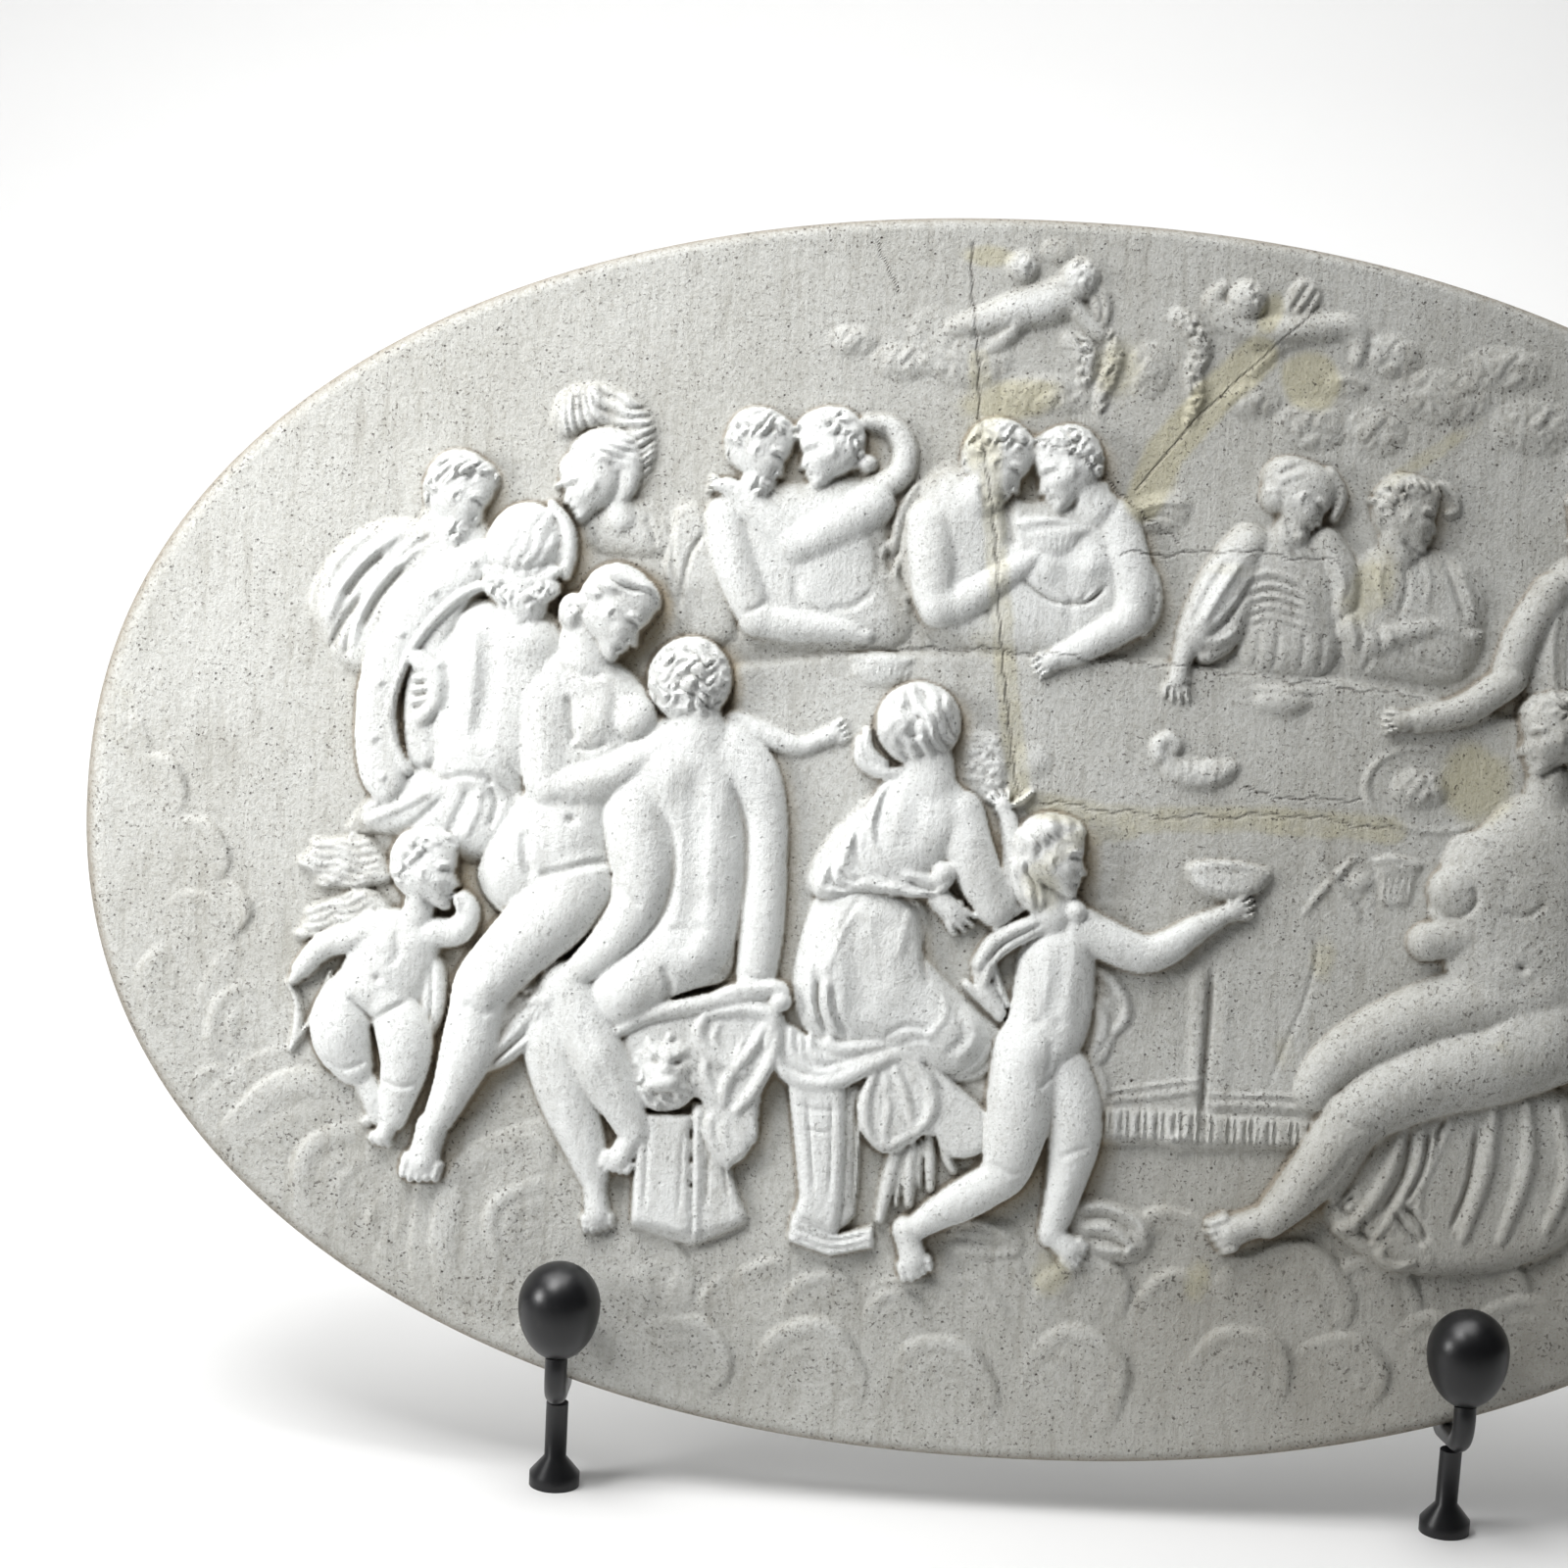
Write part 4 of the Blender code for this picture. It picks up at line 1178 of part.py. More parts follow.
def evaluated_mesh(thing):
    """The object's mesh with its modifiers applied."""
    bpy.context.view_layer.update()
    graph = bpy.context.evaluated_depsgraph_get()
    return bpy.data.meshes.new_from_object(thing.evaluated_get(graph))


def make_plaque(collection, material, place):
    sheet = link("relief_sheet", plaque_mesh(), collection, material)
    thin = sheet.modifiers.new("thin_out", 'DECIMATE')
    thin.ratio = FACE_TRIANGLES / (2 * FACE_COLUMNS * FACE_ROWS)
    mesh = evaluated_mesh(sheet)
    bpy.data.objects.remove(sheet)
    work = bmesh.new()
    work.from_mesh(mesh)
    edge = [e for e in work.edges if e.is_boundary]
    for vert in {v for e in edge for v in e.verts}:
        stray = ((2 * abs(vert.co.x) / PLAQUE_LENGTH) ** OUTLINE_POWER
                 + (2 * abs(vert.co.z) / PLAQUE_HEIGHT) ** OUTLINE_POWER) ** (1 / OUTLINE_POWER)
        vert.co = Vector((vert.co.x / stray, EDGE_ROUNDING, vert.co.z / stray))
    for depth, shrink in ((BASE_THICKNESS - BACK_CHAMFER, 1.0),
                          (BASE_THICKNESS, 1 - 2 * BACK_CHAMFER / PLAQUE_HEIGHT)):
        made = bmesh.ops.extrude_edge_only(work, edges=edge)["geom"]
        for vert in (g for g in made if isinstance(g, bmesh.types.BMVert)):
            vert.co = Vector((vert.co.x * shrink, depth, vert.co.z * shrink))
        edge = [g for g in made if isinstance(g, bmesh.types.BMEdge) and g.is_boundary]
    bmesh.ops.contextual_create(work, geom=edge)
    bmesh.ops.recalc_face_normals(work, faces=work.faces)
    work.to_mesh(mesh)
    work.free()
    mesh.name = "relief_plaque"
    mesh.shade_smooth()
    mesh.set_sharp_from_angle(angle=math.radians(40))
    return link("relief_plaque", mesh, collection, material, place, (-math.radians(LEAN), 0, 0))


# Stand

def leaned(depth, rise, centre):
    """World Y and Z of a place given behind the plaque's front plane and above its centre."""
    lean = math.radians(LEAN)
    return (centre[0] + depth * math.cos(lean) + rise * math.sin(lean),
            centre[1] - depth * math.sin(lean) + rise * math.cos(lean))


def rounded(corners, radii, pieces=6):
    """A path of straight runs whose corners are arcs."""
    path = [Vector(corners[0])]
    for before, corner, after, radius in zip(corners, corners[1:], corners[2:], radii):
        corner = Vector(corner)
        a = (Vector(before) - corner).normalized()
        b = (Vector(after) - corner).normalized()
        half = a.angle(b) / 2
        middle = corner + (a + b).normalized() * radius / math.sin(half)
        start = corner + a * radius / math.tan(half) - middle
        end = corner + b * radius / math.tan(half) - middle
        sweep = start.angle(end)
        for i in range(pieces + 1):
            t = i / pieces
            path.append(middle + (start * math.sin((1 - t) * sweep) + end * math.sin(t * sweep))
                        / math.sin(sweep))
    path.append(Vector(corners[-1]))
    return path


def rod(name, path, collection, material, x=0.0):
    """A round rod along a path in the plane X = x."""
    curve = bpy.data.curves.new(name, 'CURVE')
    curve.dimensions = '3D'
    curve.bevel_depth = ROD_DIAMETER / 2
    curve.bevel_resolution = 2
    curve.use_fill_caps = True
    spline = curve.splines.new('POLY')
    spline.points.add(len(path) - 1)
    for point, place in zip(spline.points, path):
        point.co = (0, place[1], place[2], 1)
    return link(name, curve, collection, material, (x, 0, 0))


def turned_piece(name, profile, steps, collection, material, place, turn):
    """A solid turned from (radius, height) pairs that run from its top down its outer side."""
    mesh = bpy.data.meshes.new(name)
    mesh.from_pydata([(r, 0, h) for r, h in profile], [(i, i + 1) for i in range(len(profile) - 1)], [])
    thing = link(name, mesh, collection, material, place, turn)
    screw = thing.modifiers.new("turn", 'SCREW')
    screw.steps = screw.render_steps = steps
    screw.use_merge_vertices = True
    screw.merge_threshold = 0.00005
    return thing


def egg_profile():
    """Egg with its blunt end up, cut flat below where the rod meets it."""
    radius, seat = FINIAL_DIAMETER / 2, ROD_DIAMETER / 2
    seat_angle = math.asin(seat / radius)
    rows = 6
    upper = [(radius * math.sin(a), FINIAL_UPPER * math.cos(a))
             for a in (i * math.pi / 2 / rows for i in range(rows))]
    span = math.pi / 2 - seat_angle
    lower = [(radius * math.cos(a), -FINIAL_LOWER * math.sin(a))
             for a in (i * span / rows for i in range(rows + 1))]
    return upper + lower + [(0, lower[-1][1])], -lower[-1][1]


def make_side(side, name, centre, collection, material):
    """One arm with its finial and front foot."""
    x = side * ARM_SPACING / 2
    radius = ROD_DIAMETER / 2
    rim, slope = rim_below(x)
    cradle = rim - (radius + CLEARANCE) / slope
    front = -(FINIAL_DIAMETER / 2 + FINIAL_STANDOFF)
    back = BASE_THICKNESS + CLEARANCE + radius
    profile, seat_drop = egg_profile()
    egg_rise = rim + FINIAL_CENTRE_RISE
    top = cradle + BACKREST_HEIGHT
    top_y, top_z = leaned(back, top, centre)
    corners = [(0, *leaned(front, egg_rise - seat_drop - CLEARANCE, centre)),
               (0, *leaned(front, cradle, centre)),
               (0, *leaned(back, cradle, centre)),
               (0, top_y, top_z),
               (0, top_y + REAR_REACH, 0.3 * top_z),
               (0, top_y + REAR_REACH, 0)]
    heel_bend = radius + 0.6 * BACK_CHAMFER
    path = rounded(corners, (BEND_RADIUS, heel_bend, TOP_BEND_RADIUS, 2 * TOP_BEND_RADIUS))
    rod("arm_" + name, path, collection, material, x)
    turned_piece("finial_" + name, profile, 20, collection, material,
                 (x, *leaned(front, egg_rise, centre)), (-math.radians(LEAN), 0, 0))
    foot_y, foot_top = leaned((front + back) / 2, cradle, centre)
    foot_top -= radius / math.cos(math.radians(LEAN)) + radius * math.tan(math.radians(LEAN)) + CLEARANCE
    foot = [(radius, foot_top), (radius, 0.35 * foot_top), (FOOT_DIAMETER / 2, 0.15 * foot_top),
            (FOOT_DIAMETER / 2, 0)]
    turned_piece("front_foot_" + name, [(0, foot_top)] + foot + [(0, 0)], 16, collection, material,
                 (x, foot_y, 0), (0, 0, 0))
    return cradle, back


def make_cross_bar(name, rise, depth, centre, collection, material):
    """A straight bar between the two arms."""
    half = ARM_SPACING / 2 - ROD_DIAMETER / 2 - CLEARANCE
    y, z = leaned(depth, rise, centre)
    bpy.ops.mesh.primitive_cylinder_add(vertices=12, radius=ROD_DIAMETER / 2, depth=2 * half,
                                        location=(0, y, z),
                                        rotation=(0, math.pi / 2, 0))
    bar = bpy.context.object
    bar.name = bar.data.name = name
    bar.data.materials.append(material)
    for owner in list(bar.users_collection):
        owner.objects.unlink(bar)
    collection.objects.link(bar)
    bar.data.shade_smooth()
    bar.data.set_sharp_from_angle(angle=math.radians(40))


def make_material(name, colour, roughness, metallic=0.0):
    material = bpy.data.materials.new(name)
    material.use_nodes = True
    shader = material.node_tree.nodes["Principled BSDF"]
    shader.inputs["Base Color"].default_value = (*colour, 1)
    shader.inputs["Roughness"].default_value = roughness
    shader.inputs["Metallic"].default_value = metallic
    return material


def centre_depth(collection):
    """Moves everything so that the middle of its depth is at Y = 0."""
    bpy.context.view_layer.update()
    graph = bpy.context.evaluated_depsgraph_get()
    depths = []
    for thing in collection.objects:
        mesh = bpy.data.meshes.new_from_object(thing.evaluated_get(graph))
        depths += [(thing.matrix_world @ vert.co).y for vert in mesh.vertices]
        bpy.data.meshes.remove(mesh)
    for thing in collection.objects:
        thing.location.y -= (min(depths) + max(depths)) / 2


def main():
    for thing in list(bpy.data.objects):
        bpy.data.objects.remove(thing, do_unlink=True)
    collection = bpy.data.collections.new("relief_plaque_on_stand")
    bpy.context.scene.collection.children.link(collection)
    plaster = make_material("aged_plaster", (0.72, 0.70, 0.64), 0.7)
    black = make_material("black_enamel", (0.012, 0.012, 0.013), 0.35)
    lean = math.radians(LEAN)
    lowest_front = -PLAQUE_HEIGHT / 2 * math.cos(lean)
    lowest_back = lowest_front - BASE_THICKNESS * math.sin(lean)
    centre_z = TABLE_CLEARANCE - lowest_back
    centre = (0, centre_z)
    make_plaque(collection, plaster, (0, *centre))
    for side, name in ((-1, "left"), (1, "right")):
        cradle, back = make_side(side, name, centre, collection, black)
    make_cross_bar("cross_bar_low", cradle + LOW_BAR_RISE, back, centre, collection, black)
    make_cross_bar("cross_bar_high", cradle + HIGH_BAR_RISE, back, centre, collection, black)
    centre_depth(collection)


main()
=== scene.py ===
"""Looks of an oval plaster plaque with a feast in relief, on a black rod stand."""

import math

import bpy
import numpy as np
from mathutils import Matrix, Vector


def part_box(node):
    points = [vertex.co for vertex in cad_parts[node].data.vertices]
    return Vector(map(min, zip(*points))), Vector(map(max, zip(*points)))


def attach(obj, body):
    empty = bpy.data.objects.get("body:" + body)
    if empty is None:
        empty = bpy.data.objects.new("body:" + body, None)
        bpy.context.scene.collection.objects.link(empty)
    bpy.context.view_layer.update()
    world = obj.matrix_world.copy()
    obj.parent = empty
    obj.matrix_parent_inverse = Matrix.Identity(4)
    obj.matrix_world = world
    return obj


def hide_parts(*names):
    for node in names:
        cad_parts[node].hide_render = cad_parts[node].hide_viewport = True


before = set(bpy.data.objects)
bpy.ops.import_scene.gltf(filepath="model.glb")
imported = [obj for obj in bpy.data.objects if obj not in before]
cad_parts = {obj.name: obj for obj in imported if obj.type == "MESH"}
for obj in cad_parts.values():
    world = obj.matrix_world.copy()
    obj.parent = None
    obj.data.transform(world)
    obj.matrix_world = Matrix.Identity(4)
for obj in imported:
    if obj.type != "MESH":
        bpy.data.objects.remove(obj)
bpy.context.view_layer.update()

# The level of a place that has no clay on it
NOTHING = -99.0

# A plain head from the side: forward from its middle and up, in parts of its height
FACE_OUTLINE = ((0.02, 0.5), (0.2, 0.46), (0.31, 0.36), (0.35, 0.22), (0.352, 0.1), (0.34, 0.045),
                (0.38, -0.04), (0.43, -0.115), (0.41, -0.15), (0.362, -0.165), (0.362, -0.19),
                (0.384, -0.222), (0.358, -0.246), (0.372, -0.275), (0.338, -0.318), (0.352, -0.37),
                (0.33, -0.43), (0.26, -0.47), (0.14, -0.43), (0.02, -0.35), (-0.1, -0.34), (-0.22, -0.3),
                (-0.36, -0.14), (-0.44, 0.06), (-0.43, 0.24), (-0.32, 0.4), (-0.15, 0.48))
HAIR_OUTLINE = ((0.03, 0.54), (0.22, 0.5), (0.34, 0.38), (0.31, 0.3), (0.2, 0.26), (0.12, 0.14),
                (0.07, 0.04), (-0.04, 0.07), (-0.08, -0.1), (-0.12, -0.26), (-0.26, -0.32), (-0.42, -0.16),
                (-0.49, 0.06), (-0.48, 0.26), (-0.36, 0.44), (-0.17, 0.53))
BEARD_OUTLINE = ((0.02, -0.06), (0.1, -0.14), (0.2, -0.19), (0.36, -0.19), (0.4, -0.26), (0.41, -0.36),
                 (0.36, -0.5), (0.24, -0.6), (0.1, -0.54), (0.0, -0.38), (-0.03, -0.2))

# How the clay is worked, with lengths in mm: how much rolls and eggs are flattened, how far rolls
# are blurred, and how deep and how wide the groove is that is cut round each form
SOFTER = 0.18
ROLL_BLUR = 0.9
GROOVE = 0.45
GROOVE_REACH = 1.5


def curved(a, b, c, d, t):
    """A smooth run from b to c, with a before and d after them."""
    return 0.5 * (2 * b + (c - a) * t + (2 * a - 5 * b + 4 * c - d) * t ** 2
                  + (3 * b - 3 * c + d - a) * t ** 3)


def through(points, pieces=5):
    """A smooth path through rows of numbers."""
    rows = np.array(points, float)
    if len(rows) == 1:
        rows = np.vstack([rows, rows + 1e-6])
    ends = np.vstack([2 * rows[0] - rows[1], rows, 2 * rows[-1] - rows[-2]])
    t = (np.arange(pieces) / pieces)[:, None]
    return np.vstack([curved(*four, t) for four in zip(ends, ends[1:], ends[2:], ends[3:])] + [rows[-1:]])


def ring(points):
    """A smooth closed outline through the points."""
    rows = np.array(points, float)
    n = len(rows)
    t = (np.arange(5) / 5)[:, None]
    return np.vstack([curved(*(rows[(i + k) % n] for k in (-1, 0, 1, 2)), t) for i in range(n)])


def ease(t):
    """0 below 0 and 1 above 1, eased between."""
    t = np.clip(t, 0, 1)
    return t * t * (3 - 2 * t)


def soften(field, cells):
    """Blurs a field by three box passes along each axis."""
    r = int(round(cells))
    if r < 1:
        return field
    for axis in (0, 1):
        n = field.shape[axis]
        for _ in range(3):
            low = np.repeat(np.take(field, [0], axis), r + 1, axis)
            high = np.repeat(np.take(field, [-1], axis), r, axis)
            total = np.cumsum(np.concatenate([low, field, high], axis), axis)
            a = np.take(total, np.arange(n) + 2 * r + 1, axis)
            field = (a - np.take(total, np.arange(n), axis)) / (2 * r + 1)
    return field


def smooth_once(field):
    """Takes the steps off the edges."""
    for axis in (0, 1):
        field = 0.5 * field + 0.25 * (np.roll(field, 1, axis) + np.roll(field, -1, axis))
    return field


def turned(yaw, pitch, roll):
    """Rotation with y towards the viewer: yaw turns the face to the right, pitch nods it down,
    roll leans it to the right."""
    a, b, c = math.radians(yaw), math.radians(pitch), math.radians(roll)
    nod = np.array([[1, 0, 0], [0, math.cos(b), math.sin(b)], [0, -math.sin(b), math.cos(b)]])
    spin = np.array([[math.cos(a), math.sin(a), 0], [-math.sin(a), math.cos(a), 0], [0, 0, 1]])
    lean = np.array([[math.cos(c), 0, math.sin(c)], [0, 1, 0], [-math.sin(c), 0, math.cos(c)]])
    return lean @ spin @ nod


class Clay:
    """The face of the plaque as a height over each point of a grid, built up from back to front."""

    def __init__(self, half_wide, half_high, step):
        self.step = step
        across = np.arange(-half_wide, half_wide + step / 2, step)
        up = np.arange(-half_high, half_high + step / 2, step)
        self.left, self.low = across[0], up[0]
        self.x, self.z = np.meshgrid(across, up)
        self.height = np.zeros_like(self.x)
        self.form = np.full_like(self.x, NOTHING)

    def window(self, points, margin):
        """The rows and columns of the grid that hold the points and a margin."""
        low = points[:, :2].min(0) - margin
        high = points[:, :2].max(0) + margin
        rows, cols = self.x.shape
        c0 = max(0, int((low[0] - self.left) / self.step))
        c1 = min(cols, int((high[0] - self.left) / self.step) + 2)
        r0 = max(0, int((low[1] - self.low) / self.step))
        r1 = min(rows, int((high[1] - self.low) / self.step) + 2)
        return slice(r0, r1), slice(c0, max(c1, c0))

    def around(self, x, z, reach):
        """The window round a place, and each of its points' distances from that place."""
        where = self.window(np.array([[x, z]]), reach)
        return where, self.x[where] - x, self.z[where] - z

    def add(self, where, new, join):
        """Joins something to the form in hand: the higher of the two, with a soft seam."""
        old = self.form[where]
        t = np.clip(0.5 + 0.5 * (old - new) / join, 0, 1)
        blend = new + (old - new) * t + join * t * (1 - t)
        self.form[where] = np.where(old <= NOTHING, new, np.where(new <= NOTHING, old, blend))

    def carve(self, where, change):
        """Raises or sinks the form in hand, where there is any."""
        self.form[where] += change * (self.form[where] > NOTHING / 2)

    def nearest(self, path, where):
        """For each point of the window: how deep it lies inside the roll, from 1 on its axis to 0 at
        its edge, and the radius and level there, and the place along it."""
        x, z = self.x[where], self.z[where]
        deep = np.full(x.shape, -1e9)
        place, radius, level = (np.zeros(x.shape) for _ in range(3))
        last = len(path) - 1
        for i in range(last):
            ax, az, ar, ay = path[i]
            bx, bz, br, by = path[i + 1]
            dx, dz = bx - ax, bz - az
            t = np.clip(((x - ax) * dx + (z - az) * dz) / max(dx * dx + dz * dz, 1e-9), 0, 1)
            r = ar + (br - ar) * t
            inside = 1 - ((x - ax - t * dx) ** 2 + (z - az - t * dz) ** 2) / (r * r)
            better = inside > deep
            deep = np.where(better, inside, deep)
            place = np.where(better, (i + t) / last, place)
            radius = np.where(better, r, radius)
            level = np.where(better, ay + (by - ay) * t, level)
        return deep, radius, level, place

    def roll(self, points, y=0.0, thick=0.7, join=1.0):
        """A rounded roll along (x, z, radius) or (x, z, radius, level)."""
        path = through([tuple(p) if len(p) > 3 else tuple(p) + (y,) for p in points], 6)
        path[:, 2] = np.maximum(path[:, 2], 0.3)
        where = self.window(path, path[:, 2].max() + 1)
        deep, radius, level, _ = self.nearest(path, where)
        blur = ROLL_BLUR / self.step
        deep, radius, level = (soften(field, blur) for field in (np.clip(deep, -1, 1), radius, level))
        new = level + thick * radius * np.clip(deep, 0, 1) ** (0.5 + SOFTER)
        self.add(where, np.where(deep > 0, new, NOTHING), join)

    def strand(self, points, radius, y=0.0, thick=0.8, join=0.5):
        """A roll of cloth that thins towards both ends."""
        last = len(points) - 1
        rows = [(p[0], p[1], radius * (0.5 + 0.5 * math.sin(math.pi * (0.12 + 0.76 * i / last))))
                for i, p in enumerate(points)]
        self.roll(rows, y, thick, join)

    def strands(self, y, *rows):
        """Strands at one level, each a row of points and a radius."""
        for points, radius in rows:
            self.strand(points, radius, y)

    def pad(self, points, y=0.0, high=3.0, soft=6.0, join=1.0, power=0.6, smooth=True):
        """A cushion inside an outline: level at its edge, rounded over the soft width."""
        outline = ring(points) if smooth else np.array(points, float)
        where = self.window(outline, soft + 2)
        x, z = self.x[where], self.z[where]
        inside = np.zeros(x.shape, bool)
        for (ax, az), (bx, bz) in zip(outline, np.roll(outline, -1, 0)):
            if az != bz:
                hit = (az > z) != (bz > z)
                inside ^= hit & (x < (bx - ax) * (z - az) / (bz - az) + ax)
        pillow = np.clip(2 * soften(inside.astype(float), soft / self.step / 2.2) - 1, 0, 1)
        self.add(where, np.where(inside, y + high * pillow ** power, NOTHING), join)

    def egg(self, centre, radii, y=0.0, turn=None, join=1.0, flat=1.0):
        """An ellipsoid at (x, z) and level y, with radii (across, deep, up)."""
        turn = np.eye(3) if turn is None else turn
        m = turn @ np.diag([1 / r ** 2 for r in radii]) @ turn.T
        where, dx, dz = self.around(*centre, max(radii) + 1)
        half = m[0, 1] * dx + m[2, 1] * dz
        rest = m[0, 0] * dx ** 2 + 2 * m[0, 2] * dx * dz + m[2, 2] * dz ** 2 - 1
        under_root = half ** 2 - m[1, 1] * rest
        root = math.sqrt(m[1, 1]) * np.clip(under_root / m[1, 1], 0, 1) ** (0.5 + SOFTER)
        top = (root - half) / m[1, 1]
        self.add(where, np.where(under_root > 0, y + flat * top, NOTHING), join)

    def swell(self, x, z, wide, high, rise, turn=0.0):
        """Raises, or with a minus sign sinks, a soft oval place of the form in hand."""
        where, dx, dz = self.around(x, z, 2.4 * max(wide, high))
        c, s = math.cos(math.radians(turn)), math.sin(math.radians(turn))
        u = (dx * c + dz * s) / wide
        v = (-dx * s + dz * c) / high
        self.carve(where, rise * np.exp(-(u * u + v * v)))

    def swells(self, *rows):
        """Several swells, each a row of place, widths, rise and turn."""
        for row in rows:
            self.swell(*row)

    def line(self, points, wide, rise, power=1.0, ends=0.15, pieces=5):
        """A ridge, or with a minus sign a groove, that thins out at its ends."""
        path = through([(p[0], p[1], p[2] if len(p) > 2 else wide, 0) for p in points], pieces)
        path[:, 2] = np.maximum(path[:, 2], 0.2)
        where = self.window(path, path[:, 2].max() + 1)
        deep, _, _, place = self.nearest(path, where)
        fade = ease(np.minimum(place, 1 - place) * 5 + ends)
        self.carve(where, rise * np.clip(deep, 0, 1) ** power * fade)

    def lines(self, *rows):
        """Several lines, each a row of points, width and rise."""
        for row in rows:
            self.line(*row)

    def folds(self, first, last, count, wide, rise):
        """Ridges spread between two edges of a cloth."""
        edges = [through([(p[0], p[1]) for p in edge], 4) for edge in (first, last)]
        place = np.linspace(0, 1, max(len(edge) for edge in edges))
        a, b = (np.array([np.interp(place, np.linspace(0, 1, len(edge)), edge[:, k]) for k in (0, 1)]).T
                for edge in edges)
        for i in range(count):
            t = (i + 0.5 + 0.22 * math.sin(i * 2.3 + count)) / count
            width = wide * (0.8 + 0.45 * math.sin(i * 1.7 + 0.4) ** 2)
            tall = rise * (0.75 + 0.35 * math.sin(i * 2.9) ** 2)
            self.line((a + (b - a) * t)[::2], width, tall, power=1.5, pieces=2)
            t = (i + 1.0) / count
            self.line((a + (b - a) * t)[::2], 0.5 * wide, -0.5 * rise, power=1, pieces=2)

    def mop(self, x, z, wide, high, size, rise, y, turn=0.0, seed=0.0):
        """Curly hair: small knobs, each with a curl, spread over an oval of the head."""
        size *= 0.85
        count = max(4, int(wide * high / size ** 2 * 2.2))
        c, s = math.cos(math.radians(turn)), math.sin(math.radians(turn))
        for i in range(count):
            reach = 0.92 * math.sqrt((i + 0.5) / count)
            angle = i * 2.39996 + seed
            u, v = reach * wide * math.cos(angle), reach * high * math.sin(angle)
            px, pz = x + u * c - v * s, z + u * s + v * c
            big = size * (0.75 + 0.45 * math.sin(5.1 * i + seed) ** 2)
            level = self.level_at(px, pz)
            if level < y:
                continue
            long = 1 + 0.35 * math.sin(i * 3.3 + seed)
            knob = turned(0, 0, 57 * math.sin(i * 1.9 + seed))
            lift = rise * (0.75 + 0.25 * math.sin(i)) * (1 - 0.45 * reach ** 2)
            radii = (0.62 * big * long, 0.62 * big, 0.62 * big / long)
            self.egg((px, pz), radii, level + lift - 0.62 * big, knob, join=0.45)
            self.curl(px, pz, 0.85 * big, 0.55 * rise, angle * 1.7, 1 if i % 3 else -1)

    def crest(self, x, z, radius, facing, sweep, rise):
        """A curling puff of cloud: a disc tilted up towards one side, steep and lipped there."""
        where, dx, dz = self.around(x, z, radius + 6)
        turn = np.angle(np.exp(1j * (np.arctan2(dz, dx) - math.radians(facing))))
        far = np.hypot(dx, dz)
        past = far - radius * (1 + 0.07 * np.sin(2 * turn + x) + 0.03 * np.sin(5 * turn + z))
        slope = np.clip(0.5 + 0.5 * far * np.cos(turn) / radius, 0, 1) ** (260 / sweep)
        lip = 0.3 * np.exp(-((past + 0.14 * radius) / (0.1 * radius + 0.8)) ** 2)
        curl = 0.25 * np.exp(-((past + 0.5 * radius) / (0.12 * radius + 0.6)) ** 2)
        edge = np.where(past > 0, np.exp(-(past / 1.4) ** 2), 1)
        self.add(where, rise * slope * (edge + lip + curl) - 0.9, 0.5)

    def waves(self, x, z, wide, high, size, rise, flow=0.0, bend=0.0, seed=0.0):
        """Wavy hair over an oval: locks of the given width that lie along the flow, in degrees."""
        where, dx, dz = self.around(x, z, max(wide, high) + 1)
        lie = math.radians(flow)
        u = (dx * math.cos(lie) + dz * math.sin(lie)) / size
        v = (dz * math.cos(lie) - dx * math.sin(lie)) / size + bend * u * u * size / wide
        warp = 0.8 * np.sin(1.3 * u + seed + np.sin(0.9 * v + seed))
        warp += 0.3 * np.sin(2.7 * u - v + 2 * seed)
        lock = np.abs(np.sin(math.pi * v + warp)) ** 0.8
        tips = 0.3 * np.sin(1.7 * u + 1.6 * np.sin(1.1 * v + seed) + 2 * seed)
        inside = 1 - (dx / wide) ** 2 - (dz / high) ** 2
        self.carve(where, rise * (lock - 0.6 + tips) * ease(2.5 * inside))

    def knots(self, x, z, wide, high, size, rise, seed=0.0):
        """Curly hair over an oval: knots of the given width, each with a winding groove."""
        where, dx, dz = self.around(x, z, max(wide, high) + 1)
        u, v = math.pi * dx / size, math.pi * dz / size
        p = u + 1.2 * np.sin(0.7 * v + seed) + 0.5 * np.sin(1.9 * v + 2 * seed)
        q = v + 1.2 * np.sin(0.8 * u + 2 * seed + 1) + 0.5 * np.sin(1.7 * u + seed)
        knot = np.sin(p) * np.sin(q)
        curl = np.cos(4.5 * knot + 0.8 * p + seed)
        inside = 1 - (dx / wide) ** 2 - (dz / high) ** 2
        self.carve(where, rise * (0.6 * np.abs(knot) + 0.5 * curl - 0.2) * ease(2.5 * inside))

    def grow(self, add, carve):
        """Adds something, then carves its surface and nothing else."""
        before = self.form.copy()
        add()
        grown = soften((self.form > before + 0.15).astype(float), 0.5 / self.step)
        plain = self.form.copy()
        carve()
        self.form = np.where(grown > 0.01, plain + (self.form - plain) * grown, plain)

    def level_at(self, x, z):
        """The level of the form in hand at a place."""
        row = min(max(int(round((z - self.low) / self.step)), 0), self.form.shape[0] - 1)
        col = min(max(int(round((x - self.left) / self.step)), 0), self.form.shape[1] - 1)
        return self.form[row, col]

    def curl(self, x, z, size, rise, start=0.0, way=1):
        """One snail curl."""
        where, dx, dz = self.around(x, z, size * 1.3)
        far = np.hypot(dx, dz) / size
        wave = np.cos(np.arctan2(dz, dx) * way - 5.2 * far + start)
        snail = 0.5 * wave * np.exp(-far ** 2 * 1.5) * np.clip(far * 3, 0, 1)
        self.carve(where, rise * (0.75 * np.exp(-far ** 2 * 1.2) + snail))

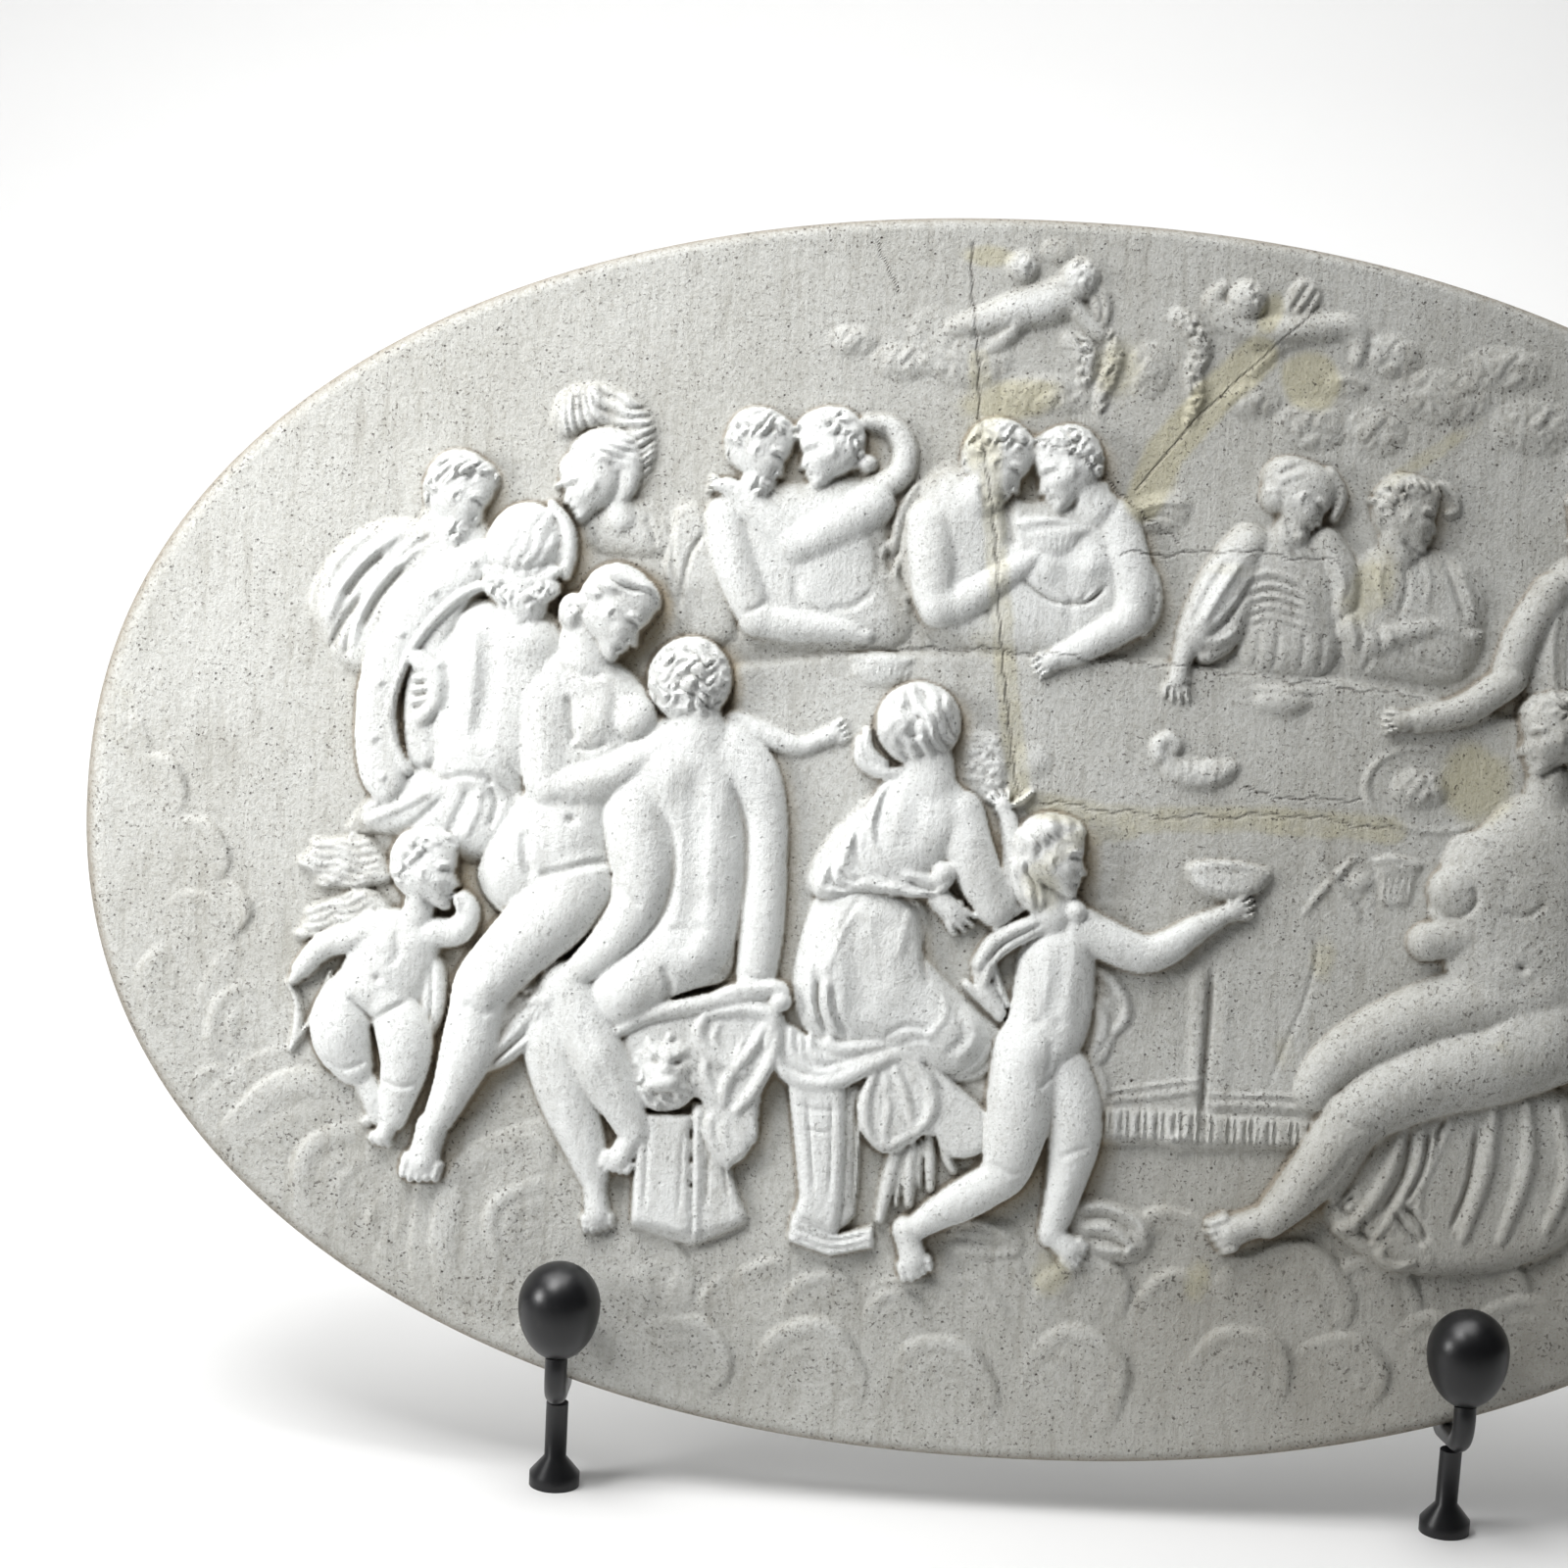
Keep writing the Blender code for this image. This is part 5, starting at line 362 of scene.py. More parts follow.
    def settle(self, groove=0.6, join=0.5):
        """Sets the finished form down on what lies behind it, with a narrow groove round it."""
        there = self.form > NOTHING / 2
        rows, cols = np.where(there.any(1))[0], np.where(there.any(0))[0]
        if not len(rows):
            return
        pad = int(GROOVE_REACH / self.step * 3) + 2
        where = (slice(max(rows[0] - pad, 0), rows[-1] + pad), slice(max(cols[0] - pad, 0), cols[-1] + pad))
        form, height = self.form[where], self.height[where]
        mask = there[where].astype(float)
        blur = GROOVE_REACH / self.step / 1.5
        near = soften(mask, blur)
        brink = soften(np.where(there[where], form, 0), blur) / np.maximum(near, 0.001)
        step_up = np.clip((brink - height) / 3, 0, 1)
        ground = height - GROOVE * groove * np.clip(near * 2, 0, 1) * step_up
        if join:
            t = np.clip(0.5 + 0.5 * (ground - form) / join, 0, 1)
            form = form + (ground - form) * t + join * t * (1 - t)
        self.height[where] = np.where(mask > 0, form, ground)
        self.form[where] = NOTHING

    def profile(self, x, z, size, y, way, nod=0.0, hair=4.0, flow=None, beard=False, high=0.3, cap=True):
        """A calm, plain head seen from the side, looking right for way 1 and left for -1. Its lengths
        are parts of the size, from crown to chin."""
        c, s = math.cos(math.radians(nod)), math.sin(math.radians(nod))

        def at(u, v):
            return x + way * size * (u * c + v * s), z + size * (v * c - u * s)

        def shape(points, level, rise, soft, join=0.05):
            self.pad([at(u, v) for u, v in points], y + level * size, rise * size, soft * size, join * size,
                     power=0.55)

        def marks(*rows):
            for points, wide, rise in rows:
                self.line([at(u, v) for u, v in points], wide * size, 1.6 * rise * size, pieces=3)

        def bumps(*rows):
            for u, v, wide, tall, rise in rows:
                self.swell(*at(u, v), wide * size, tall * size, 1.5 * rise * size, -way * nod)

        def curly(u, v, reach, rise, knot, seed):
            self.knots(*at(u, v), reach * size, reach * size, rise, knot * size, seed)

        def capped():
            if flow is None:
                curly(-0.08, 0.14, 0.6, hair, 0.1, x)
            else:
                self.waves(*at(-0.08, 0.14), 0.6 * size, 0.6 * size, hair, 0.115 * size, flow, 0.1 * way, x)

        shape(FACE_OUTLINE, 0, 0.62 * high, 0.13)
        bumps((-0.05, 0.05, 0.36, 0.4, 0.33 * high), (0.17, -0.1, 0.13, 0.12, 0.035),
              (0.25, 0.03, 0.06, 0.04, -0.05), (0.245, 0.028, 0.04, 0.028, 0.045))
        marks(([(0.19, 0.02), (0.245, 0.06), (0.3, 0.035)], 0.025, -0.025),
              ([(0.13, 0.09), (0.24, 0.125), (0.33, 0.1)], 0.045, 0.03))
        bumps((0.35, -0.125, 0.035, 0.03, 0.04))
        marks(([(0.315, -0.09), (0.305, -0.13), (0.32, -0.16)], 0.028, -0.035),
              ([(0.37, -0.247), (0.31, -0.25), (0.26, -0.26)], 0.028, -0.04),
              ([(0.33, -0.21), (0.36, -0.22)], 0.03, 0.03), ([(0.32, -0.28), (0.36, -0.275)], 0.03, 0.03))
        bumps((0.28, -0.31, 0.05, 0.02, -0.02), (0.31, -0.38, 0.06, 0.06, 0.03))
        marks(([(0.0, -0.33), (0.12, -0.42), (0.24, -0.46)], 0.06, -0.03))
        if beard:
            self.grow(lambda: shape(BEARD_OUTLINE, 0.05, high * 0.8, 0.2, 0.02),
                      lambda: curly(0.2, -0.36, 0.5, hair * 0.8, 0.085, 3))
        if cap:
            self.grow(lambda: shape(HAIR_OUTLINE, 0.07, high * 0.9, 0.28, 0.02), capped)
        bumps((-0.02, -0.03, 0.06, 0.08, 0.05), (0.0, -0.02, 0.025, 0.04, -0.05))
        return at

    def hand(self, x, z, angle, size, y, spread=0.12, bend=0.35):
        """A hand from the wrist at x, z, pointing along the angle, with four fingers and a thumb."""
        a = math.radians(angle)
        ux, uz = math.cos(a), math.sin(a)
        self.roll([(x, z, 0.22 * size), (x + 0.45 * size * ux, z + 0.45 * size * uz, 0.25 * size)], y)
        for i in range(4):
            off = (i - 1.5) * 0.14 * size
            turn = a + (i - 1.5) * spread * -0.5
            fx, fz = x + 0.5 * size * ux - off * -uz, z + 0.5 * size * uz - off * ux
            half = 0.5 * (size * (0.55 - 0.05 * abs(i - 1.3)))
            mid = (fx + half * math.cos(turn), fz + half * math.sin(turn))
            tip = (mid[0] + half * math.cos(turn + bend), mid[1] + half * math.sin(turn + bend))
            self.roll([(fx, fz, 0.085 * size), (*mid, 0.08 * size), (*tip, 0.06 * size)], y + 0.06 * size,
                      join=0.15)
        root = (x + 0.2 * size * ux, z + 0.2 * size * uz)
        thumb = (root[0] + 0.4 * size * math.cos(a + 0.9), root[1] + 0.4 * size * math.sin(a + 0.9))
        self.roll([(*root, 0.1 * size), (*thumb, 0.07 * size)], y + 0.05 * size, join=0.3)

    def foot(self, ax, az, tx, tz, size, y):
        """A foot from the ankle to the tips of its toes."""
        far = math.hypot(tx - ax, tz - az)
        ux, uz = (tx - ax) / far, (tz - az) / far
        bx, bz = tx - 0.3 * size * ux, tz - 0.3 * size * uz
        middle = ((ax + bx) / 2, (az + bz) / 2)
        self.roll([(ax, az, 0.26 * size), (*middle, 0.24 * size), (bx, bz, 0.27 * size)], y, 0.8)
        for i in range(5):
            off = (i - 2) * 0.125 * size
            long = (0.34 - 0.035 * abs(i - 1)) * size
            root = (bx - off * uz, bz + off * ux)
            tip = (root[0] + long * ux, root[1] + long * uz)
            self.roll([(*root, 0.095 * size), (*tip, 0.075 * size)], y + 0.07 * size, 0.9, join=0.15)


# The scene, from back to front. Places are in mm from the middle of the plaque, across and up.

def clouds(c):
    """Banks of cloud along the lower edge and the left end, with curling edges."""
    crests = [(-150, -130, 16, 165, 220, 1.7), (-150, -129, 24, 190, 90, 0.9),
              (-151, -128, 32, 168, 170, 1.8), (-152, -129, 40, 165, 100, 1.4),
              (-155, -109, 8, 50, 150, 1.2), (-146, -124, 16, 40, 110, 1.0),
              (-205, -123, 23, 160, 190, 1.8), (-203, -124, 13, 165, 190, 1.4),
              (-197, -131, 7, 175, 150, 1.1), (-190, -132, 5, 180, 120, 0.9),
              (-224, -124, 36, 100, 120, 1.6), (-222, -122, 28, 108, 110, 1.3),
              (-228, -122, 44, 125, 60, 1.0), (-232, -104, 12, 100, 130, 1.0),
              (-246, -71, 12, 175, 190, 1.3), (-245, -71, 6, 180, 200, 1.1),
              (-240, -66, 22, 150, 80, 0.9), (-262, -60, 17, 190, 130, 1.2),
              (-264, -46, 14, 50, 110, 1.2), (-256, -36, 9, 10, 170, 1.3), (-268, -20, 13, 35, 120, 1.3),
              (-281, 0, 12, 40, 120, 1.3), (-290, 14, 10, 50, 120, 1.1), (-262, -84, 14, 200, 140, 1.0),
              (-254, -97, 11, 120, 120, 0.9), (-172, -151, 10, 190, 160, 1.1),
              (-187, -141, 12, 200, 120, 0.9), (-127, -148, 14, 15, 130, 1.1),
              (-124, -149, 22, 25, 110, 1.2), (-108, -152, 14, 100, 130, 1.1),
              (-96, -149, 12, 165, 150, 1.3), (-88, -150, 9, 170, 150, 1.1),
              (-78, -147, 10, 100, 150, 1.2), (-60, -153, 13, 95, 160, 1.5),
              (-60, -154, 7, 95, 150, 1.0), (-36, -157, 12, 90, 150, 1.3), (-35, -160, 20, 80, 90, 1.1),
              (-14, -150, 12, 60, 140, 1.2), (-18, -146, 7, 150, 150, 0.9), (-4, -142, 9, 70, 130, 1.0),
              (22, -144, 14, 80, 210, 2.0), (22, -145, 8, 90, 150, 0.9), (50, -127, 13, 90, 180, 1.6),
              (50, -128, 7, 90, 150, 0.9), (52, -149, 14, 100, 150, 1.3), (85, -143, 21, 75, 190, 2.0),
              (85, -144, 14, 70, 160, 1.3), (84, -145, 7, 70, 150, 0.9), (102, -128, 12, 35, 110, 1.1),
              (72, -128, 8, 140, 110, 0.9)]
    for i, (x, z, r) in enumerate(((114, -142, 16), (141, -138, 20), (169, -127, 18), (196, -111, 20),
                                   (223, -93, 18), (244, -70, 17), (262, -45, 15), (275, -17, 12),
                                   (283, 10, 10), (72, -166, 16), (104, -164, 14), (132, -160, 16),
                                   (162, -150, 15), (192, -136, 16), (220, -118, 14), (243, -98, 13),
                                   (-62, -174, 18), (-20, -174, 16), (20, -172, 18), (-104, -170, 15),
                                   (-140, -168, 14))):
        crests += [(x, z, r, 78 - 12 * (i % 4), 190, 1.7), (x + 1, z - 1, 0.6 * r, 70, 160, 1.1)]
    for x, z, radius, facing, sweep, rise in sorted(crests, key=lambda crest: -crest[2]):
        c.crest(x, z, radius, facing, sweep, 1.5 * rise)
    c.settle(groove=0, join=0.8)
    for i, (x, z, wide, high) in enumerate(((-30, 150, 15, 9), (-50, 148, 10, 6), (-4, 140, 14, 7),
                                            (80, 135, 12, 8), (100, 134, 10, 8), (28, 150, 7, 9),
                                            (120, 146, 16, 9), (150, 138, 14, 9), (60, 142, 10, 6),
                                            (104, 158, 10, 7), (140, 156, 14, 7), (-66, 154, 8, 5),
                                            (174, 128, 14, 8))):
        c.egg((x, z), (wide, 4, high), -1.7, flat=0.72, join=3)
        c.knots(x, z, wide, high, 8, 0.8, i)
    c.settle(groove=0.0, join=3)


def old_man(c):
    """Bearded man in a cloak at the left end, behind the shield."""
    c.pad([(-192, 92), (-200, 90.5), (-208, 91), (-217, 87), (-225, 80), (-231, 70), (-233.5, 61),
           (-229, 54), (-223, 44), (-215, 40), (-196, 46), (-176, 70), (-176, 88)], 0.2, 3.6, 9,
          power=0.7)
    for points, wide, rise in (([(-204, 88), (-214, 78), (-223, 66), (-227, 56)], 2.6, 1.6),
                               ([(-198, 84), (-207, 74), (-215, 62), (-219, 48)], 2.4, 1.4),
                               ([(-212, 88), (-222, 79), (-230, 67)], 2.0, 1.0),
                               ([(-190, 82), (-200, 72), (-208, 60)], 2.2, 1.0),
                               ([(-209, 80), (-216, 73), (-222, 64)], 1.8, -2.0),
                               ([(-215, 66), (-221, 57), (-225, 48)], 1.6, -1.8),
                               ([(-202, 76), (-210, 66), (-216, 54)], 1.6, -1.5),
                               ([(-194, 86), (-200, 82), (-206, 76)], 1.4, -1.1),
                               ([(-217, 60), (-219, 53), (-220, 46)], 1.2, -1.4),
                               ([(-226, 74), (-230, 66), (-229, 60)], 1.0, -0.9)):
        c.line(points, wide, rise, power=1.2)
    c.settle(0.4)
    c.roll([(-190, 90, 9), (-184, 84, 9)], 0.6, 0.5, 3)
    c.settle(0.2, join=2)
    c.profile(-187, 98.5, 26, 1.6, 1, 30, 5.2, beard=True, high=0.25)
    c.settle(join=0.8)


def plumed_man(c):
    """Man in a plumed helmet, looking down to the left."""
    c.pad([(-150, 92), (-145, 83.5), (-132, 82.5), (-119, 83), (-119, 90), (-125, 97), (-132, 101),
           (-141, 103)], 0.0, 2.6, 8)
    c.lines(([(-128, 95), (-126, 91), (-124, 86)], 1.2, -1.0),
            ([(-123, 97), (-121, 91), (-120, 85)], 1.4, 0.8),
            ([(-145, 91), (-143, 87), (-144, 84)], 1.0, -0.7))
    c.settle(0.3, join=0.8)
    c.grow(lambda: c.pad([(-159, 119), (-159, 130), (-153, 135.5), (-142, 136.5), (-133, 133),
                          (-127, 125), (-126, 114), (-129.5, 101), (-133, 110), (-134, 120), (-140, 122),
                          (-148, 122), (-153, 119)], 0.2, 3.0, 5),
           lambda: c.waves(-142, 118, 19, 20, 4.0, 2.0, 160, 1.1, 2))
    c.settle(0.4)
    c.roll([(-138, 101, 4.6), (-136, 94, 6)], 0.8, 0.6, 2)
    c.settle(0.2)
    c.profile(-146, 104.4, 24, 1.4, -1, 22, high=0.24, cap=False)
    c.settle()
    c.grow(lambda: c.egg((-142, 114), (11.4, 8, 8.6), 2.0, turned(0, 0, -10), flat=0.6),
           lambda: c.waves(-142, 114, 14, 12, 3.0, 1.3, 150, 0.4, 4))
    c.roll([(-134.5, 112, 4.5), (-134.5, 105, 3.8), (-137, 100, 2.4)], 2.8, 0.6)
    c.roll([(-133, 111, 1.4), (-141, 109, 1.6), (-149, 106.6, 1.6), (-157, 103, 0.9)], 4.6, 0.8,
           join=0.4)
    c.line([(-152, 116), (-146, 121), (-138, 121)], 0.9, 0.7)
    c.curl(-141.5, 111, 3.6, 1.0, 0.7)
    c.lines(([(-140, 109), (-138.5, 104)], 1.0, 0.8), ([(-151, 112), (-143, 113.5)], 0.7, -0.6))
    c.settle(0.4)


def lovers(c):
    """Embracing couple behind the table's left end."""
    c.pad([(-118, 101), (-110, 99), (-103, 88), (-99, 72), (-98, 58), (-108, 55), (-117, 62),
           (-120, 82)], 0.2, 2.4, 6)
    c.strands(1.6, ([(-117, 98), (-117, 84), (-112, 62)], 1.7),
              ([(-111, 97), (-112, 82), (-107, 60)], 1.7), ([(-106, 92), (-106, 78), (-103, 60)], 1.6),
              ([(-119, 92), (-120, 78), (-115, 64)], 1.2))
    c.line([(-109, 92), (-114, 82), (-116, 66)], 1.0, -1.2)
    c.settle(0.4)
    c.pad([(-64, 114), (-57, 110), (-51.5, 100), (-52, 91), (-53, 83), (-48, 76), (-42, 67), (-36, 59.5),
           (-50, 57), (-92, 57), (-98, 68), (-104, 86), (-104, 98), (-96, 108), (-80, 108)], 0.6, 4.4,
          14, power=0.6)
    c.swells((-66, 98, 9, 8, 1.4), (-72, 80, 8, 9, 0.9))
    c.lines(([(-60, 96), (-54, 88), (-54, 80)], 1.8, -0.8),
            ([(-55, 76), (-62, 70), (-70, 69)], 1.6, -0.7),
            ([(-80, 80), (-78, 70), (-68, 66)], 2.0, -0.7))
    c.settle(0.5)
    c.roll([(-103, 97, 6.5, 1.8), (-100.5, 85, 6.6, 3.4), (-95, 72, 6.4, 3.6), (-91, 64.5, 5.6, 3.6)], 0,
           0.62, join=2)
    c.roll([(-92, 64.5, 5.4), (-80, 63.5, 5.6), (-66, 63, 4.4), (-57, 61.5, 3.0)], 3.4, 0.62, join=1.5)
    c.lines(([(-96, 66), (-90, 69), (-87, 74)], 1.1, -0.8),
            ([(-60, 63), (-56, 63.5), (-52, 61.5)], 0.9, -0.8))
    c.settle(0.5)
    c.roll([(-94, 108, 5), (-96, 100, 6)], 2.5, 0.6)
    c.profile(-93.5, 117.5, 25, 1.8, 1, 28, 5.4, beard=True, high=0.24)
    c.settle()
    c.roll([(-58, 107, 4.6, 0.6), (-49.5, 112, 4.4, 1.6), (-47.5, 120, 4.2, 1.8), (-52, 127, 3.8, 1.6),
            (-60, 128.5, 2.8, 1.6)], 0, 0.66)
    c.line([(-55, 128), (-53, 120), (-54, 113)], 1.2, -1.0)
    c.settle(0.4)
    c.profile(-71.5, 119, 25, 2.2, -1, 18, 5.0, high=0.25)
    c.egg((-59.5, 115.5), (3.4, 3, 3), 2.4)
    c.settle()
    c.roll([(-57, 103, 7.5, 2.2), (-66, 96.5, 7.4, 3.4), (-75, 91, 7, 4.2), (-81, 88.5, 5.8, 4.4)], 0,
           0.6, join=3)
    c.roll([(-80, 88, 6.0), (-90, 96, 5.2), (-99, 103.5, 3.8), (-103, 106, 3.2)], 4.2, 0.6, join=2)
    c.settle(0.5, join=1.2)
    c.hand(-101, 105, 165, 10, 4.8, bend=0.5)
    c.settle(0.3)


def couple_with_bowl(c):
    """Man holding out a bowl and the woman beside him."""
    c.pad([(-32, 118), (-42, 111.5), (-47, 104), (-48.5, 92), (-47, 80), (-42, 70), (-36, 63), (-22, 58),
           (8, 56), (26, 62), (31, 74), (30, 90), (26, 100), (18, 108), (8, 110), (-8, 106), (-18, 112)],
          0.4, 4.4, 13, power=0.6)
    c.swells((-30, 100, 9, 10, 1.2), (12.5, 87, 5.2, 5.4, 2.2), (-1, 86, 5, 4.6, 1.4))
    c.lines(([(-16, 112), (-14, 100), (-12, 90)], 2.6, -1.8),
            ([(-41, 108), (-44, 98), (-44, 84)], 1.4, -1.0),
            ([(-20, 86), (-22, 76), (-16, 68)], 2.0, -0.8))
    for i in range(7):
        t = i / 6
        c.line([(-9 + 5 * t, 82.5 - t), (-2 + 12 * t, 77 - 2 * t), (4 + 14 * t, 74 + 7 * t)], 0.9,
               0.9 if i % 2 else -0.9)
    c.line([(-10, 82), (0, 76), (10, 75), (18, 81)], 1.0, -1.1)
    c.swell(12.5, 85.5, 1, 1, 0.4)
    c.line([(8, 66), (6, 72), (8, 76)], 2, -0.5)
    c.settle(0.5)
    c.strands(1.6, ([(-43, 110), (-48, 100), (-50, 88)], 1.8),
              ([(-50, 92), (-54, 86), (-50, 78), (-44, 70)], 1.6),
              ([(-47, 88), (-49, 80), (-44, 73)], 1.4))
    c.settle(0.4)
    c.roll([(-38, 98, 8.4, 2.0), (-37.5, 88, 7.6, 3.6), (-36, 76, 7, 4.0), (-34, 71, 6, 4)], 0, 0.6,
           join=2)
    c.roll([(-35, 71, 6), (-26, 74, 6), (-17, 80.5, 5), (-8, 87, 4)], 4.2, 0.62, join=2)
    c.line([(-30, 84), (-31, 78), (-28, 76)], 1.2, -1.0)
    c.settle(0.5)
    c.hand(-10, 86, 30, 11, 4.6)
    c.settle(0.3)
    c.pad([(-11, 99), (-8, 93), (-3, 87), (4, 88), (9, 93), (10.6, 98), (6, 99.6), (-4, 100.4)], 3.4,
          3.6, 5)
    c.egg((-0.4, 98.4), (11.8, 4.5, 3.2), 4.6, turned(0, 0, 3), join=0.3, flat=0.7)
    c.swell(-0.4, 98.6, 8.4, 1.6, -2.2, 3)
    for i in range(9):
        c.line([(-9 + i * 2.1, 95 + 0.1 * i), (-4.5 + i * 1.3, 89)], 0.7, -0.7)
    c.settle(0.5)
    c.roll([(-20, 112, 6), (-24, 106, 8)], 2.5, 0.6)
    c.profile(-18.5, 117.5, 26, 2.2, 1, 36, 5.4, high=0.25)
    c.settle()
    c.roll([(10, 110, 5.5), (14, 105, 7)], 2.5, 0.6)
    c.profile(3.5, 116.5, 26, 2.4, -1, 26, 4.6, high=0.25)
    c.egg((14.6, 111), (3.0, 2.6, 3.2), 2.2)
    c.settle()
    c.roll([(20, 101, 7.5, 1.8), (24, 91, 6.8, 3.2), (27, 80, 6.4, 3.8), (25.5, 70.5, 6, 4)], 0, 0.6,
           join=2)
    c.roll([(26, 71, 6), (17, 65, 5.4), (9, 60, 4.4), (4, 58, 3.4)], 4.2, 0.62, join=2)
    c.line([(20, 76), (20, 72), (17, 69.5)], 1.1, -0.8)
    c.settle(0.5)
    c.strands(3.2, ([(29, 90), (33, 84), (34, 74), (30, 66)], 1.7),
              ([(27, 92), (31, 84), (31.5, 76)], 1.2))
    c.settle(0.4)
    c.hand(6, 59, 208, 12, 4.4)
    c.settle(0.3)
    c.pad([(20, 106), (30, 111), (41, 113), (44.5, 107), (40, 99.5), (28, 98)], -0.6, 1.7, 4)
    c.lines(([(24, 104), (34, 108), (42, 108)], 1.0, 0.8),
            ([(26, 101), (34, 104), (41, 102)], 0.8, -0.7))
    c.settle(0.2)


def veiled_figure(c):
    """Wrapped figure leaning a hand on the table."""
    c.pad([(70, 103), (62, 99), (54, 90), (57, 80), (60, 66), (60, 57), (90, 56), (92, 74), (92, 88),
           (88, 98), (82, 103)], 0.4, 4.4, 11)
    for i in range(5):
        z = 87 - i * 3.2
        c.lines(([(61, z - 2.4), (68, z + 0.8 - 0.5 * i), (78, z - 2), (85, z - 7 + i)],
                 1.0 + 0.2 * (i % 2), 0.8 - 0.1 * i),
                ([(63, z - 3.8), (70, z - 1.4), (80, z - 4.2)], 0.7, -0.7))
    for x in (66, 72, 80, 86):
        c.line([(x, 70), (x + 0.5, 64), (x - 0.5, 57)], 1.2, -0.6)
    c.line([(72, 102), (76, 94), (84, 88)], 1.0, -0.8)
    c.settle(0.5)
    c.roll([(62, 96, 7, 1.4), (56, 86, 8, 2.4), (50, 74, 7.4, 3.0), (46.5, 67, 6, 3)], 0, 0.62, join=2)
    c.roll([(60, 78, 5), (56, 68, 5), (50, 62, 4)], 2.6, 0.6, join=2)
    c.roll([(45, 66, 4.0), (43, 60, 3.4), (42.5, 57, 3)], 3.4, 0.66)
    c.roll([(86, 98, 5.5, 1.6), (91, 90, 5.5, 2.2), (93, 82, 5, 2.2), (92, 77, 4, 2.2)], 0, 0.62)
    c.lines(([(60, 92), (53, 80), (48, 70)], 1.3, 0.9), ([(56, 92), (49, 80), (45, 70)], 1.3, -0.9),
            ([(63, 84), (57, 74), (50, 66)], 1.3, -1.0), ([(60, 70), (55, 66), (49, 65)], 1.3, 0.9),
            ([(58, 66), (53, 62), (48, 63)], 1.3, -0.8), ([(65, 90), (58, 78), (52, 70)], 1.3, 0.8),
            ([(84, 92), (88, 84), (89, 78)], 1.3, -0.8), ([(88, 94), (92, 86), (91, 80)], 1.3, 0.7))
    c.settle(0.5)
    c.hand(42.5, 58, 262, 13, 3.4, spread=0.3)
    c.settle(0.3)
    c.roll([(76, 104, 5), (75, 100, 6)], 2.4, 0.6)
    c.profile(78, 111.5, 24, 2.0, 1, 38, high=0.24, cap=False)
    c.settle()
    c.egg((75.5, 116.5), (10.6, 8, 8), 3.2, turned(0, 0, 18), flat=0.55)
    c.egg((70, 112.5), (5.2, 5, 5.6), 3.4, flat=0.6)
    c.roll([(86, 120, 2.4), (90, 113, 2.2), (88, 106, 1.6)], 3.6, 0.7)
    for i in range(6):
        c.line([(68 + i * 0.8, 120 - i * 1.8), (76 + i, 123.5 - i * 2.2), (86, 121 - i * 2.4)], 0.8,
               -0.9 if i % 2 else 0.6)
    c.mop(70, 112.5, 4, 4.5, 2.8, 0.7, 4, 0, 2)
    c.settle()


def wreathed_figure(c):
    """Figure in a wreath, reaching over the table."""
    c.pad([(100, 98), (94, 90), (92, 76), (92, 60), (108, 57), (132, 56), (137, 70), (138, 84),
           (132, 93), (120, 98), (110, 99)], 0.2, 4.0, 11)
    c.lines(([(110, 96), (112, 86), (110, 76)], 1.2, -0.8),
            ([(128, 94), (131, 86), (135, 76)], 1.4, 0.9),
            ([(123, 96), (127, 86), (131, 76)], 1.2, -0.9),
            ([(132, 92), (135, 84), (137, 76)], 1.0, -0.8),
            ([(104, 94), (103, 86), (106, 78)], 1.4, 0.6), ([(116, 96), (119, 88), (118, 80)], 1.4, 0.5),
            ([(98, 72), (102, 64), (100, 58)], 1.2, -0.9),
            ([(110, 66), (118, 62), (128, 60)], 1.2, -0.7))
    c.settle(0.5)
    c.roll([(96, 72, 6, 1.8), (102, 68, 5.6, 2.4), (112, 71, 4.8, 2.6), (122, 73.5, 4, 2.6),
            (130, 72, 3, 2.4)], 0, 0.64)
    c.lines(([(93, 76), (96, 68), (94, 60)], 1.2, 0.9), ([(96, 76), (99, 69), (98, 62)], 1.2, -0.9),
            ([(101, 75), (104, 70), (105, 65)], 1.2, -0.9),
            ([(104, 74), (107, 71), (108, 67)], 1.2, 0.8))
    c.settle(0.4)
    c.hand(129, 72, -14, 10, 3.0)
    c.settle(0.3)
    c.roll([(108, 100, 5), (110, 96, 6)], 2.2, 0.6)
    c.profile(111.5, 108, 24, 1.6, 1, 12, 4.4, high=0.24)
    c.settle()
    for i in range(8):
        a = math.radians(165 - i * 20)
        x, z = 109 + 9.4 * math.cos(a), 109.5 + 8.6 * math.sin(a)
        c.roll([(x, z, 1.3), (x + 2 * math.cos(a - 1.2), z + 2 * math.sin(a - 1.2), 0.6)], 5.4, 0.8,
               join=0.5)
    c.roll([(121, 119, 1.2), (125, 116, 1.8), (127, 110.5, 1.4), (123, 109, 1.0)], 1.2, 0.7)
    c.settle(0.4)


